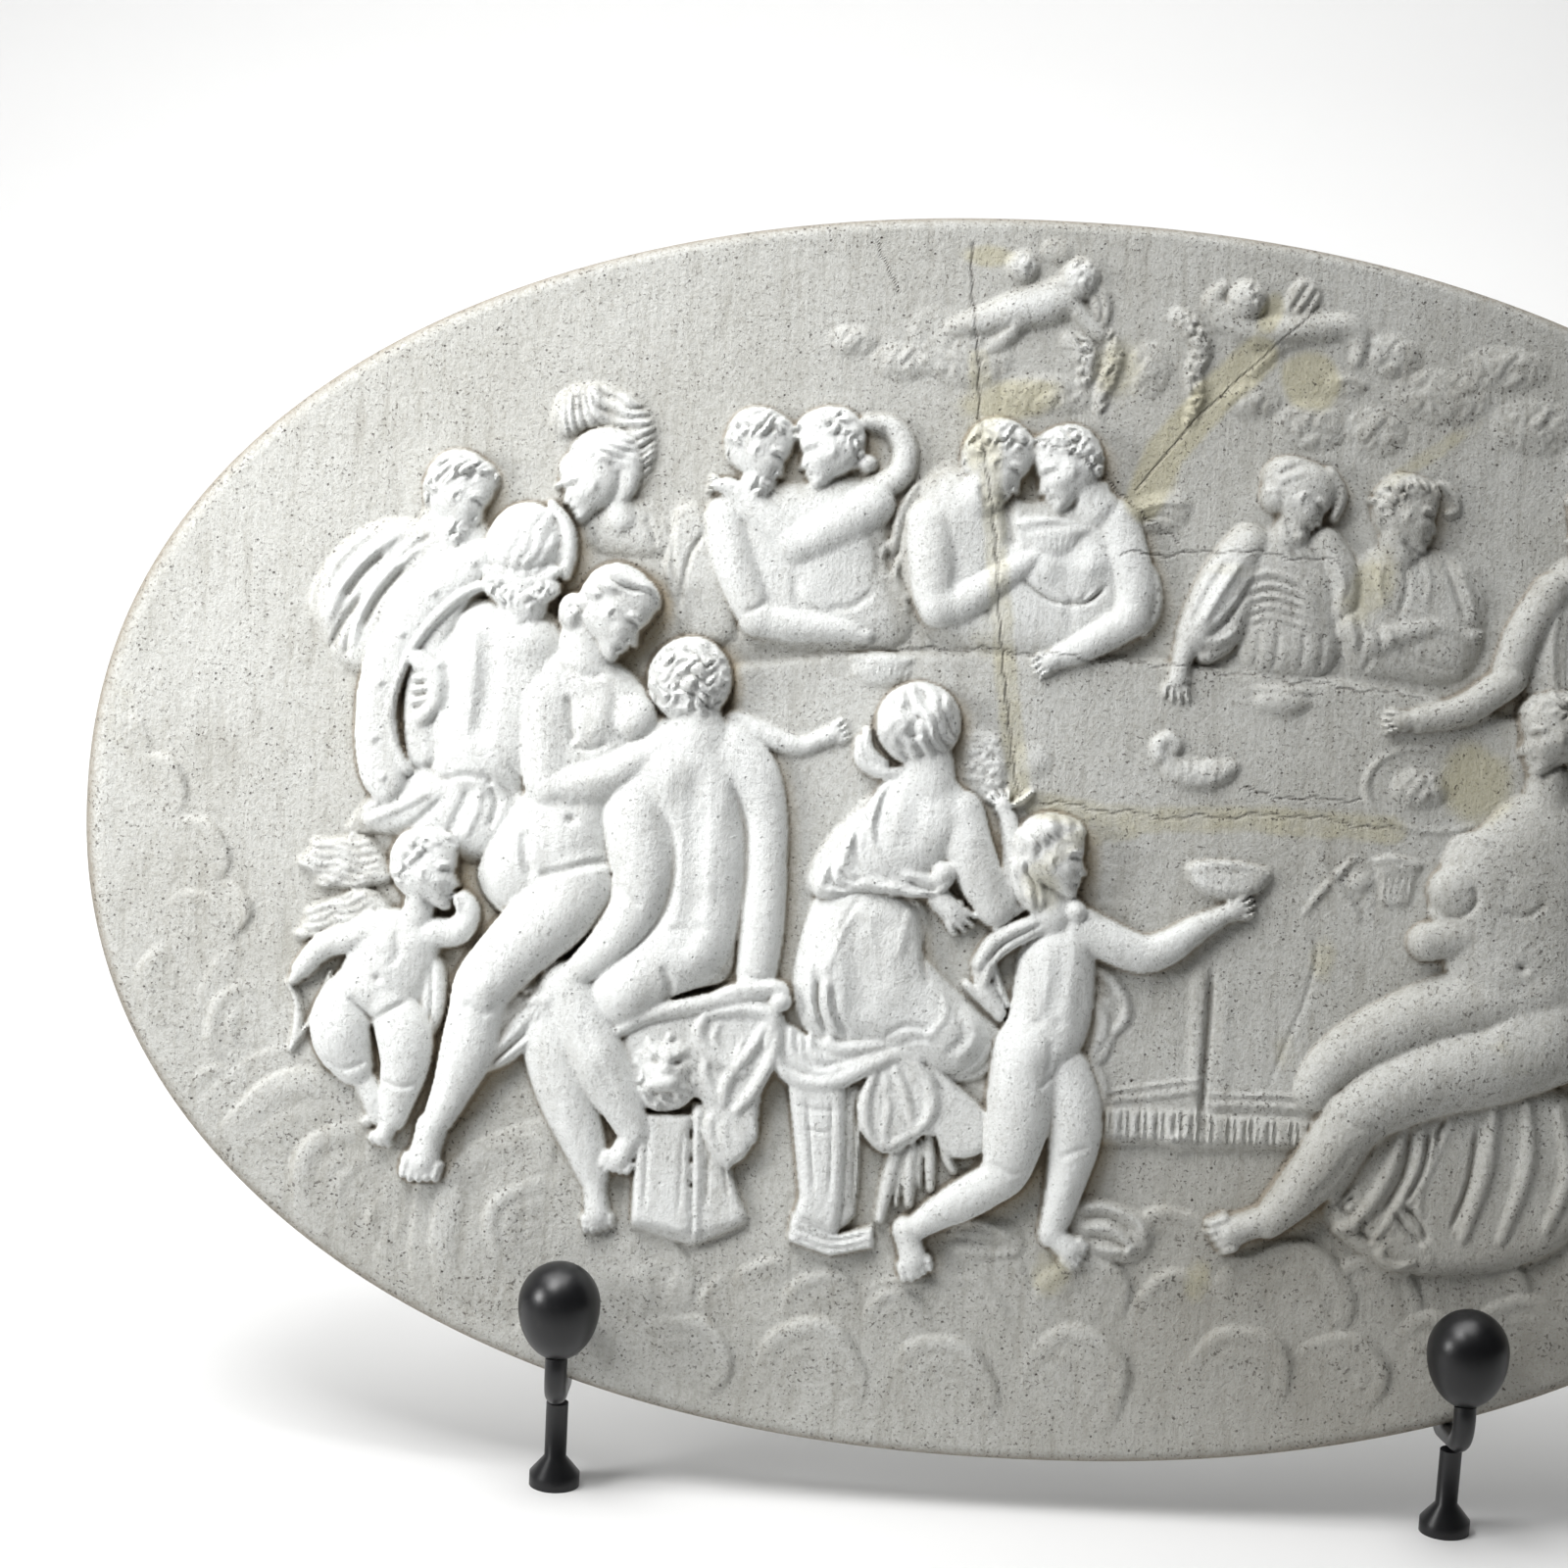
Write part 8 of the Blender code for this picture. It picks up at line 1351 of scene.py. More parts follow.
def right_end(c):
    """Plainer company at the right end: a standing servant, a seated elder and a child."""
    c.pad([(160, 96), (176, 98), (190, 90), (196, 68), (192, 40), (180, 24), (162, 28), (152, 50),
           (150, 76)], 1.0, 5.0, 10)
    c.folds([(160, 92), (156, 66), (164, 34)], [(190, 86), (192, 62), (184, 30)], 5, 2.4, 1.1)
    c.settle()
    c.profile(172, 108, 25, 3, -1, 14, 5.0, beard=True, high=0.25)
    c.settle()
    c.roll([(158, 86, 6.4), (150, 72, 6.2), (146, 60, 5.6)], 4, 0.65)
    c.roll([(146, 58, 5.4), (132, 48, 4.8), (118, 44, 3.8)], 5, 0.65)
    c.settle(0.5)
    c.hand(118, 44, 185, 12, 5.4)
    c.settle(0.4)
    c.pad([(198, 60), (214, 64), (228, 56), (234, 36), (230, 8), (222, -10), (200, -14), (190, 6),
           (190, 36)], 2.5, 6.0, 11)
    c.folds([(198, 56), (192, 30), (200, -8)], [(230, 48), (232, 22), (220, -8)], 6, 2.6, 1.3)
    c.settle()
    c.profile(208, 76, 26, 4, -1, 16, 4.4, 30, high=0.28)
    c.settle()
    c.roll([(202, 52, 7), (194, 34, 6.6), (184, 22, 6)], 5.5, 0.62)
    c.roll([(184, 20, 5.8), (172, 30, 5), (164, 38, 3.8)], 6.5, 0.62)
    c.settle(0.6)
    c.pad([(188, -6), (214, -12), (232, -20), (236, -44), (224, -72), (196, -84), (178, -66),
           (178, -30)], 3.5, 6.5, 12)
    c.folds([(190, -10), (182, -40), (192, -76)], [(230, -22), (230, -44), (216, -70)], 7, 3.0, 1.5)
    c.settle()
    c.roll([(206, -30, 12), (192, -44, 11), (180, -58, 9.6)], 6.5, 0.6)
    c.roll([(180, -58, 9), (184, -78, 8), (188, -98, 5.6), (190, -108, 4.4)], 6.0, 0.6)
    c.settle()
    c.foot(190, -108, 180, -114, 14, 6)
    c.settle(0.4)
    c.roll([(250, 0, 8), (252, -12, 9), (250, -24, 8.6)], 3.5, 0.6)
    c.roll([(248, -26, 6.4), (246, -40, 5.4), (247, -54, 3.8)], 3.6, 0.6)
    c.roll([(256, -26, 6), (260, -38, 5), (262, -50, 3.4)], 3.0, 0.6)
    c.roll([(244, -2, 4.6), (236, 6, 4), (230, 14, 3)], 5, 0.6)
    c.settle(0.6)
    c.profile(250, 14, 21, 4.4, -1, 6, 4.6, high=0.28)
    c.settle()


def feast(c):
    for part in (clouds, putti, old_man, plumed_man, lovers, couple_with_bowl, veiled_figure,
                 wreathed_figure, right_end, table, soldier, shield, left_seat, right_seat, seated_woman,
                 seated_man, seated_servant, serving_boy, reclining_figure, standing_cupid):
        part(c)
    c.height = smooth_once(c.height)


def dishes(c):
    """Bowls, plates, bread and knives on the table."""
    c.egg((-51.5, 51), (9.6, 4, 5.6), 2.1, flat=0.7)
    c.egg((-51.5, 54.2), (10, 3, 2.2), 2.6, join=0.3, flat=0.6)
    for i in range(9):
        c.line([(-59.5 + i * 2, 53), (-57.5 + i * 1.5, 47)], 0.55, -0.8)
    c.line([(-60, 54.5), (-51, 55.4), (-43, 54.5)], 0.7, -0.8)
    c.settle(0.4)
    c.egg((75, 47.5), (9.6, 4, 4.6), 1.9, flat=0.7)
    c.egg((75, 51), (10.4, 3, 1.8), 2.2, join=0.3, flat=0.6)
    c.roll([(83, 49, 1.0), (85.6, 47, 1.1), (84, 43.5, 0.8)], 2.0, 0.8)
    c.roll([(66, 49, 0.9), (63.5, 51, 1.0), (66, 53, 0.8)], 2.0, 0.8)
    c.roll([(70, 43, 1.0), (79, 43, 1.0)], 2.2, 0.8)
    c.settle(0.3)
    c.pad([(36, 30), (41, 31), (46, 27.5), (55, 28), (64, 28.5), (62, 23.5), (56, 19), (46, 18),
           (39, 21.5)], 1.6, 2.8, 3.4)
    c.roll([(37.4, 28, 2.6), (36.6, 32, 2.6), (40, 34.2, 2.4), (43, 31.8, 2.0), (41, 29.4, 1.2)], 3.0,
           0.8)
    c.mop(51, 24, 10, 4.4, 2.2, 0.6, 2.0, 0, 5)
    c.line([(45, 27.4), (54, 27.8), (62, 28)], 0.9, 0.7)
    c.settle(0.4)
    c.egg((-2, 25), (7, 4, 6.8), 1.4, flat=0.5)
    c.pad([(-25, 32), (-15, 34), (-10, 26), (-10, 16), (-16, 10), (-23, 14)], 1.6, 1.4, 3)
    c.mop(-17, 22, 6.5, 10.5, 3.0, 1.0, 1.6, 0, 1)
    c.settle(0.3)
    c.egg((122, 22), (20, 5, 13.5), 0.8, flat=0.35)
    c.settle(0.2)
    c.roll([(138, 12, 1), (128, 9.4, 1.1), (115, 10.4, 1.2), (105, 16, 1.3), (102.6, 24, 1.3),
            (107, 31, 1.2), (116, 34.8, 1.1), (128, 35, 1)], 2.6, 0.6)
    c.egg((119.5, 22.5), (9.4, 4, 6.6), 2.2, flat=0.5)
    c.mop(119.5, 22.5, 8, 5.4, 3.2, 0.8, 2.2, 0, 3)
    c.settle(0.2)
    c.pad([(106.4, -0.5), (113, 1), (121.5, -1.6), (120.4, -9), (119, -15), (113, -15.6), (108, -14.6),
           (107.6, -8)], 1.6, 2.0, 3, smooth=False)
    c.egg((114, -1.2), (7.8, 3, 2.2), 3.0, turned(0, 0, 5), join=0.3, flat=0.6)
    c.swell(114, -1.3, 4.8, 1.1, -1.3, -5)
    for i in range(6):
        c.lines(([(109 + i * 2.1, -4.5), (108.4 + i * 2, -13)], 0.6, -0.7),
                ([(108, -5.5 - i * 1.6), (119.6, -4.6 - i * 1.6)], 0.4, -0.3))
    c.egg((102.5, -8), (4.4, 3, 3.6), 1.8, flat=0.6)
    for points in ([(87, 1), (94, -8), (99, -14), (103, -20)],
                   [(101, 0), (95, -6), (90, -12), (85, -19)]):
        c.strand(points, 1.5, 2.6, 0.6)
    c.settle(0.3)


def feathers(c, root, tips, wide, y):
    """A small wing of overlapping downy feathers that spread from the root."""
    outline = [root] + [(x, z) for x, z in tips] + [((root[0] + tips[-1][0]) / 2,
            (root[1] + tips[-1][1]) / 2 - 2)]
    c.pad(outline, y, 1.8, 3)
    for i, (x, z) in enumerate(tips):
        bend = 2.4 - 0.8 * i
        middle = ((root[0] + x) / 2, (root[1] + z) / 2 + bend)
        c.roll([(*root, wide * 0.9), (*middle, wide * 1.1), (x, z, wide * 0.7)], y + 0.5, 0.55, join=0.6)
    middle = np.mean([root] + list(tips), axis=0)
    c.waves(*middle, 16, 13, 2.6, 0.9, 172 if root[1] > -27 else 195, 0.1, y)


# The plaque's own measures, in metres, as the solid has them
LENGTH = 0.600
HEIGHT = 0.3916
OUTLINE_POWER = 2.153
THICKNESS = 0.018
EDGE_ROUNDING = 0.004
BACK_CHAMFER = 0.005
LEAN = math.radians(12)
DRAWN_LENGTH = 600.0
DRAWN_HEIGHT = 391.6
DRAWN_DEPTH = 18.0

# The stand's measures, in metres
ARM_SPACING = 0.2826
ROD_RADIUS = 0.0035
BEND_RADIUS = 0.010
TOP_BEND_RADIUS = 0.022
BACKREST_HEIGHT = 0.215
REAR_REACH = 0.075
FOOT_RADIUS = 0.008
FINIAL_RADIUS = 0.0128
FINIAL_UPPER = 0.0133
FINIAL_LOWER = 0.0175
FINIAL_RISE = 0.0253
FINIAL_STANDOFF = 0.0055
CLEARANCE = 0.0003
TIP_RADIUS = 0.0003
ROUND_SIDES = 48
EGG_ROWS = 18
ARC_PIECES = 16

# Raised parts at the left are painted lighter where light falls, partly as cleaner plaster; the grey ground
# is partly grime and partly painted shade
LIT_RAISED_PLASTER = (0.74, 0.755, 0.745, 1)
GRIMY_SHADED_PLASTER = (0.47, 0.47, 0.44, 1)
# Dusty tone for grain and mottling, also painted as shade towards the lower right
DUSTY_AND_SHADED_PLASTER = (0.27, 0.255, 0.215, 1)
STAIN = (0.46, 0.42, 0.24, 1)
# Tan painted shadow cast to the right of and below high forms
SHADOW_TAN = (0.36, 0.29, 0.18, 1)
# Brown for dirt along the rim, and for dirt and painted shade in hollows
DIRT_AND_SHADE = (0.17, 0.13, 0.08, 1)
SPECK = (0.05, 0.04, 0.03, 1)
BLACK_ENAMEL = (0.006, 0.006, 0.007, 1)
RUBBED_ENAMEL = (0.022, 0.021, 0.02, 1)
PAPER = (0.75, 0.75, 0.745, 1)
SHADED_PAPER = (0.72, 0.72, 0.72, 1)

# Yellowed patches: x, z, width, height, turn and strength, in mm and degrees
STAIN_SPOTS = ((-15, 138, 17, 7, 10, 0.9), (79, 149, 10, 9, -40, 1.3), (65, 169, 4, 8, -20, 0.9),
               (100, 84, 8, 14, -25, 0.7), (-25, 123, 5, 9, 0, 0.8), (2, -15, 7, 9, 20, 0.6),
               (137, 25, 12, 14, 0, 0.9), (92, -33, 5, 9, 0, 0.5), (82, -62, 5, 7, 0, 0.4),
               (33, 116, 6, 7, 20, 0.7), (-25, 183, 9, 4, 0, 0.8), (12, -136, 7, 9, 0, 0.6),
               (58, -136, 5, 8, 0, 0.6), (18, 150, 9, 12, 0, 0.6), (-18, 64, 8, 12, 0, 0.4),
               (58, 88, 10, 3, 0, 0.4), (118, 128, 20, 3, 35, 0.6), (152, -60, 12, 9, 10, 0.3),
               (-290, 25, 5, 18, 0, 0.25))
STAIN_RUNS = ((9, 1.0, ((28, 108), (34, 124), (48, 142), (62, 156))),
              (6, 0.6, ((-26, 150), (-20, 110), (-13, 55), (-6, 14))),
              (7, 0.6, ((0, 11), (30, 8), (70, 10), (112, 9))), (5, 0.5, ((30, 5), (10, 0), (-2, -12))))
CRACKS = ((0.8, ((-30, 186), (-27, 155), (-24, 128), (-16, 80), (-13, 50), (-6, 14))),
          (0.6, ((-60, 186), (-52, 170))), (0.7, ((22, 91), (38, 92), (56, 94), (90, 92))),
          (0.7, ((0, 12), (40, 9), (80, 12), (112, 9))), (0.6, ((64, 19), (84, 17), (101, 18))),
          (0.6, ((26, 112), (44, 136), (66, 158), (80, 172))),
          (0.6, ((-60, 57), (-20, 59), (40, 57), (120, 51))),
          (0.6, ((-10, 128), (4, 122), (24, 108), (40, 96))))

# The grids: the clay's step in mm, and the face of the plaque as columns and rows in upright strips
CLAY_STEP = 0.4
CLAY_MARGIN = 6
COLUMNS = 840
ROWS = 550
STRIPS = "abcde"

# Dirt, wear and painted light and shade, in metres on the rim and in mm elsewhere
RIM_DIRT_REACH = 0.0028
FULLY_RAISED = 9
HOLLOW_REACH = 1.2
SHADOW_ACROSS = 5
SHADOW_DOWN = 1.5
SHADOW_REACH = 3.5

# The photograph's frame: its size in pixels, metres on the plaque for each of them, and the turn
# of the camera about its own axis; the place it looks at, from the plaque's centre
FRAME_PIXELS = 1600
METRES_PER_PIXEL = 0.600 / 1943.0
CAMERA_ROLL = 0.053
CAMERA_DISTANCE = 1.25
CAMERA_AIM = Vector((-0.0802, 0, 0.0134))
SENSOR_WIDTH = 36

# The floor, in metres: its length, and where and how tightly it bends up behind the object
FLOOR_SIZE = 6.0
FLOOR_BEND_START = 1.2
FLOOR_BEND_RADIUS = 0.5


def plaque_centre():
    """Place of the middle of the plaque's front plane."""
    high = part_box("relief_plaque")[1]
    top = HEIGHT / 2 * math.cos(LEAN) - EDGE_ROUNDING * math.sin(LEAN)
    back_top = THICKNESS * math.cos(LEAN) + (HEIGHT / 2 - BACK_CHAMFER) * math.sin(LEAN)
    return Vector((0, high[1] - back_top, high[2] - top))


def oval(u, v):
    """Takes a point of the square from -1 to 1 to its place on the plaque."""
    x = u * np.sqrt(1 - v ** 2 / 2)
    z = v * np.sqrt(1 - u ** 2 / 2)
    reach = np.hypot(x, z)
    safe = np.maximum(reach, 1e-9)
    spread = np.abs(x / safe) ** OUTLINE_POWER + np.abs(z / safe) ** OUTLINE_POWER
    bulge = np.where(reach > 0, np.maximum(spread, 1e-9), 1) ** (-1 / OUTLINE_POWER)
    return x * bulge * LENGTH / 2, z * bulge * HEIGHT / 2, reach


def along(x, z, points, wide):
    """1 on a run of points, falling off to 0 at the given width from it."""
    near = np.full(x.shape, 1e9)
    for (ax, az), (bx, bz) in zip(points, points[1:]):
        dx, dz = bx - ax, bz - az
        t = np.clip(((x - ax) * dx + (z - az) * dz) / (dx * dx + dz * dz), 0, 1)
        near = np.minimum(near, np.hypot(x - ax - t * dx, z - az - t * dz))
    return np.clip(1 - near / wide, 0, 1)


def stains(x, z):
    """Where the plaster has yellowed, from 0 to 1."""
    found = np.zeros(x.shape)
    for cx, cz, wide, high, turn, strong in STAIN_SPOTS:
        c, s = math.cos(math.radians(turn)), math.sin(math.radians(turn))
        u = ((x - cx) * c + (z - cz) * s) / wide
        v = ((z - cz) * c - (x - cx) * s) / high
        found = np.maximum(found, strong * np.exp(-(u * u + v * v) ** 2))
    for wide, strong, points in STAIN_RUNS:
        found = np.maximum(found, strong * ease(along(x, z, points, wide) * 1.6))
    return found


def cracks(x, z):
    """Fine cracks and joint lines, from 0 to 1."""
    found = np.zeros(x.shape)
    wobble = 0.6 * np.sin(x * 0.31 + z * 0.17) + 0.4 * np.sin(x * 0.83 - z * 0.59)
    for wide, points in CRACKS:
        found = np.maximum(found, along(x + wobble * 0.6, z + wobble, points, wide))
    return found


def read_field(clay, field, x, z):
    """The field's values between its own points, at places in mm."""
    col = (x - clay.left) / clay.step
    row = (z - clay.low) / clay.step
    c0 = np.clip(col.astype(int), 0, field.shape[1] - 2)
    r0 = np.clip(row.astype(int), 0, field.shape[0] - 2)
    s, t = col - c0, row - r0
    return ((field[r0, c0] * (1 - s) + field[r0, c0 + 1] * s) * (1 - t)
            + (field[r0 + 1, c0] * (1 - s) + field[r0 + 1, c0 + 1] * s) * t)


def wear_and_painted_light(clay, x, z, height, inward):
    """Where the plaster is stained, cracked and dirty, and where light and shade are painted on it, each
    from 0 to 1.
    """
    return {
        # dirt and painted shade in the hollows
        "hollow_dirt_and_shade": read_field(clay, hollows(clay), x, z),
        "stain": stains(x, z),
        # painted shadow cast to the right of and below high forms
        "dust_and_painted_shadow": read_field(clay, painted_shadow_beside(clay), x, z),
        "crack": cracks(x, z),
        "rim": np.exp(-inward / RIM_DIRT_REACH),
        # raised parts, painted lighter towards the left where light falls
        "raised": np.clip(height / FULLY_RAISED, 0, 1) * (1 - 0.95 * ease((x + 20) / 150)),
        # painted shade, darker towards the lower right
        "low": ease((-z - 70) / 60) * ease((x + 60) / 160),
    }


def make_plaque(material):
    """The plaque as upright strips of one closed body, its face read from the clay."""
    clay = Clay(DRAWN_LENGTH / 2 + CLAY_MARGIN, DRAWN_HEIGHT / 2 + CLAY_MARGIN, CLAY_STEP)
    feast(clay)
    u, v = np.meshgrid(np.linspace(-1, 1, COLUMNS + 1), np.linspace(-1, 1, ROWS + 1))
    x, z, reach = oval(u, v)
    height = read_field(clay, clay.height, x * 1000, z * 1000)
    inward = (1 - reach) * HEIGHT / 2
    marks = wear_and_painted_light(clay, x * 1000, z * 1000, height, inward)
    shoulder = np.sqrt(1 - (1 - np.clip(inward / EDGE_ROUNDING, 0, 1)) ** 2)
    relief = np.clip(height, -1, DRAWN_DEPTH) / 1000 * ease(inward / (3 * EDGE_ROUNDING))
    y = -relief + EDGE_ROUNDING * (1 - shoulder)
    place = Matrix.Translation(plaque_centre()) @ Matrix.Rotation(-LEAN, 4, 'X')
    points = np.stack([x, y, z], -1)
    made = []
    for i, letter in enumerate(STRIPS):
        span = slice(COLUMNS * i // len(STRIPS), COLUMNS * (i + 1) // len(STRIPS) + 1)
        part = {key: field[:, span] for key, field in marks.items()}
        made.append(make_strip("relief_" + letter, points[:, span], part, material, place))
    return made


def make_strip(name, points, marks, material, place):
    """One upright strip of the plaque, with its rim and flat back."""
    rows, cols = points.shape[:2]
    n = rows * cols
    grid = np.arange(n).reshape(rows, cols)
    faces = np.stack([grid[:-1, :-1], grid[:-1, 1:], grid[1:, 1:], grid[1:, :-1]], -1).reshape(-1, 4)
    loop = np.concatenate([grid[0, :-1], grid[:-1, -1], grid[-1, :0:-1], grid[:0:-1, 0]])
    flat = points.reshape(-1, 3)
    shrink = 1 - 2 * BACK_CHAMFER / HEIGHT
    side, back = flat[loop], flat[loop] * (shrink, 1, shrink)
    side[:, 1] = THICKNESS - BACK_CHAMFER
    back[:, 1] = THICKNESS
    everything = np.vstack([flat, side, back])
    m = len(loop)
    a = np.arange(m)
    b = (a + 1) % m
    walls = [(loop[b], loop[a], n + a, n + b), (n + b, n + a, n + m + a, n + m + b)]
    rows_of_faces = [faces.tolist()] + [np.stack(wall, -1).tolist() for wall in walls]
    mesh = bpy.data.meshes.new(name)
    mesh.from_pydata(everything.tolist(), [], sum(rows_of_faces, []) + [(n + m + a[::-1]).tolist()])
    mesh.transform(place)
    for key, field in marks.items():
        values = np.concatenate([field.reshape(-1), np.full(2 * m, 0.3 if key == "rim" else 0.0)])
        mesh.attributes.new(key, 'FLOAT', 'POINT').data.foreach_set("value", values.astype(np.float32))
    drawn = mesh.attributes.new("drawn", 'FLOAT_VECTOR', 'POINT')
    drawn.data.foreach_set("vector", (everything * 1000).astype(np.float32).reshape(-1))
    return finished(name, mesh, material)


def hollows(clay):
    """How deep each place lies under its surroundings, from 0 to 1."""
    under = soften(clay.height, HOLLOW_REACH / clay.step) - clay.height
    return np.clip(0.42 * under, 0, 1) ** 1.4


def painted_shadow_beside(clay):
    """Painted shadow cast on the ground beside what stands high, on its right and below, from 0 to 1."""
    moved = (-round(SHADOW_DOWN / clay.step), round(SHADOW_ACROSS / clay.step))
    beside = soften(np.roll(clay.height, moved, (0, 1)), SHADOW_REACH / clay.step)
    return np.clip((beside - clay.height - 2.6) / 5, 0, 1)


class Wire:
    """What comes out of a shader node, for use in sums."""

    def __init__(self, paint, socket):
        self.paint = paint
        self.socket = socket

    def sum(self, operation, *others):
        return self.paint.node("Math", {"operation": operation}, dict(enumerate((self,) + others)))

    def __add__(self, other):
        return self.sum("ADD", other)

    __radd__ = __add__

    def __sub__(self, other):
        return self.sum("SUBTRACT", other)

    def __rsub__(self, other):
        return self.paint.node("Math", {"operation": "SUBTRACT"}, {0: other, 1: self})

    def __mul__(self, other):
        return self.sum("MULTIPLY", other)

    __rmul__ = __mul__

    def between(self, low, high):
        """0 below the low value, 1 above the high one, eased between."""
        return self.paint.node("MapRange", {"interpolation_type": 'SMOOTHSTEP'},
                               {"Value": self, "From Min": low, "From Max": high})


class Paint:
    """One material and the nodes it is made of."""

    def __init__(self, name):
        self.material = bpy.data.materials.new(name)
        self.material.use_nodes = True
        self.tree = self.material.node_tree
        self.shader = self.tree.nodes["Principled BSDF"]

    def node(self, kind, settings, inputs, output=0):
        made = self.tree.nodes.new("ShaderNode" + kind)
        for key, value in settings.items():
            setattr(made, key, value)
        for key, value in inputs.items():
            self.feed(made.inputs[key], value)
        return Wire(self, made.outputs[output])

    def feed(self, socket, value):
        if isinstance(value, Wire):
            self.tree.links.new(value.socket, socket)
        else:
            socket.default_value = value

    def attribute(self, name, output="Fac"):
        return self.node("Attribute", {"attribute_name": name}, {}, output)

    def noise(self, place, scale, detail=3, rough=0.6, stretch=(1, 1, 1)):
        spot = self.node("VectorMath", {"operation": 'MULTIPLY'}, {0: place, 1: stretch})
        inputs = {"Vector": spot, "Scale": scale, "Detail": detail, "Roughness": rough}
        return self.node("TexNoise", {}, inputs)

    def mix(self, amount, first, second):
        return self.node("Mix", {"data_type": 'RGBA'}, {0: amount, 6: first, 7: second}, 2)

    def finish(self, colour, rough, height, depth):
        bump = self.node("Bump", {}, {"Height": height, "Distance": depth, "Strength": 1.0})
        self.feed(self.shader.inputs["Base Color"], colour)
        self.feed(self.shader.inputs["Roughness"], rough)
        self.feed(self.shader.inputs["Normal"], bump)
        return self.material


def plaster_material():
    """Aged plaster: dirt and painted shade in the hollows, a painted shadow beside high forms, raised parts
    painted lighter at the left and painted shade towards the lower right, dark specks all over, yellowed
    patches and a few cracks.
    """
    paint = Paint("aged_plaster")
    place = paint.attribute("drawn", "Vector")
    hollow_dirt_and_shade, stain = paint.attribute("hollow_dirt_and_shade"), paint.attribute("stain")
    crack, rim = paint.attribute("crack"), paint.attribute("rim")
    raised = paint.attribute("raised")
    broad = paint.noise(place, 0.018, 4)
    cloudy = paint.noise(place, 0.11, 6, 0.7)
    mottle = paint.noise(place, 0.42, 4, 0.7)
    grain = paint.noise(place, 1.1, 4, 0.8)
    ruled = paint.noise(place, 0.22, 4, 0.65, (1, 1, 0.14))
    speck = paint.noise(place, 0.9, 2, 0.5).between(0.585, 0.66)
    pits = paint.node("TexVoronoi", {}, {"Vector": place, "Scale": 0.2, "Randomness": 1.0})
    pit = 1 - pits.between(0.05, 0.1)
    # Painted light: raised parts lighter towards the left, partly cleaner plaster; the ground greyer,
    # partly painted shade
    soiled_and_shaded = (1 - raised.between(0.08, 0.6)) * 0.75 + broad.between(0.35, 0.7) * 0.25
    colour = paint.mix(soiled_and_shaded, LIT_RAISED_PLASTER, GRIMY_SHADED_PLASTER)
    colour = paint.mix(ruled.between(0.48, 0.72) * (0.12 + soiled_and_shaded * 0.3), colour, DUSTY_AND_SHADED_PLASTER)
    colour = paint.mix(mottle.between(0.45, 0.68) * (0.12 + soiled_and_shaded * 0.3), colour, DUSTY_AND_SHADED_PLASTER)
    colour = paint.mix(grain.between(0.46, 0.66) * (0.15 + soiled_and_shaded * 0.35), colour, DUSTY_AND_SHADED_PLASTER)
    # Painted shade: darker towards the lower right
    colour = paint.mix(paint.attribute("low") * soiled_and_shaded * 0.65, colour, DUSTY_AND_SHADED_PLASTER)
    yellow = (stain + cloudy * 0.9 - 0.45).between(0.15, 0.85)
    colour = paint.mix(yellow * 0.5, colour, STAIN)
    # Painted shadow: tan on the ground to the right of and below high forms
    colour = paint.mix(paint.attribute("dust_and_painted_shadow") * (0.45 + grain * 0.5), colour, SHADOW_TAN)
    # Dirt and painted shade in the hollows
    crease_dirt_and_shade = (hollow_dirt_and_shade + grain * 0.3 - 0.15).between(0.04, 0.75)
    colour = paint.mix(crease_dirt_and_shade * 0.65, colour, DIRT_AND_SHADE)
    edged = (rim + grain * 0.5 - 0.25).between(0.3, 0.9)
    colour = paint.mix(edged * 0.6, colour, DIRT_AND_SHADE)
    scattered = speck * cloudy.between(0.35, 0.6) * (0.3 + soiled_and_shaded * 0.5)
    marks = scattered + pit * (0.25 + soiled_and_shaded * 0.5) + crack * grain.between(0.3, 0.55) * 0.6
    marks = marks.sum("MINIMUM", 1.0)
    colour = paint.mix(marks, colour, SPECK)
    rough = 0.52 + grain * 0.16 - yellow * 0.08
    height = grain * 0.5 + mottle * 0.7 + cloudy * 1.6 - pit * 0.8 - crack * 1.0 - ruled * 0.9
    return paint.finish(colour, rough, height, 0.0005)


def black_material():
    """Black stove enamel with fine handling marks."""
    paint = Paint("black_enamel")
    place = paint.node("TexCoord", {}, {}, "Object")
    rubbed = paint.noise(place, 160, 5, 0.7)
    dust_and_painted_shadow = paint.noise(place, 900, 3, 0.6)
    colour = paint.mix(rubbed.between(0.55, 0.8) * 0.5, BLACK_ENAMEL, RUBBED_ENAMEL)
    rough = 0.26 + rubbed * 0.16 + dust_and_painted_shadow.between(0.6, 0.8) * 0.15
    return paint.finish(colour, rough, rubbed * 0.6 + dust_and_painted_shadow * 0.2, 0.00004)


def floor_material():
    """Pale matt paper."""
    paint = Paint("pale_floor")
    place = paint.node("TexCoord", {}, {}, "Object")
    shade = paint.noise(place, 3, 3)
    colour = paint.mix(shade * 0.5, PAPER, SHADED_PAPER)
    return paint.finish(colour, 0.8, shade, 0.00002)


def shell(name, rings, material):
    """A closed piece through rings of points, with flat ends."""
    sides = len(rings[0])
    faces = []
    for row in range(len(rings) - 1):
        for i in range(sides):
            a, b = row * sides + i, row * sides + (i + 1) % sides
            faces.append((a, b, b + sides, a + sides))
    last = (len(rings) - 1) * sides
    faces.append(tuple(range(sides))[::-1])
    faces.append(tuple(range(last, last + sides)))
    mesh = bpy.data.meshes.new(name)
    mesh.from_pydata([tuple(point) for ring in rings for point in ring], [], faces)
    return finished(name, mesh, material)


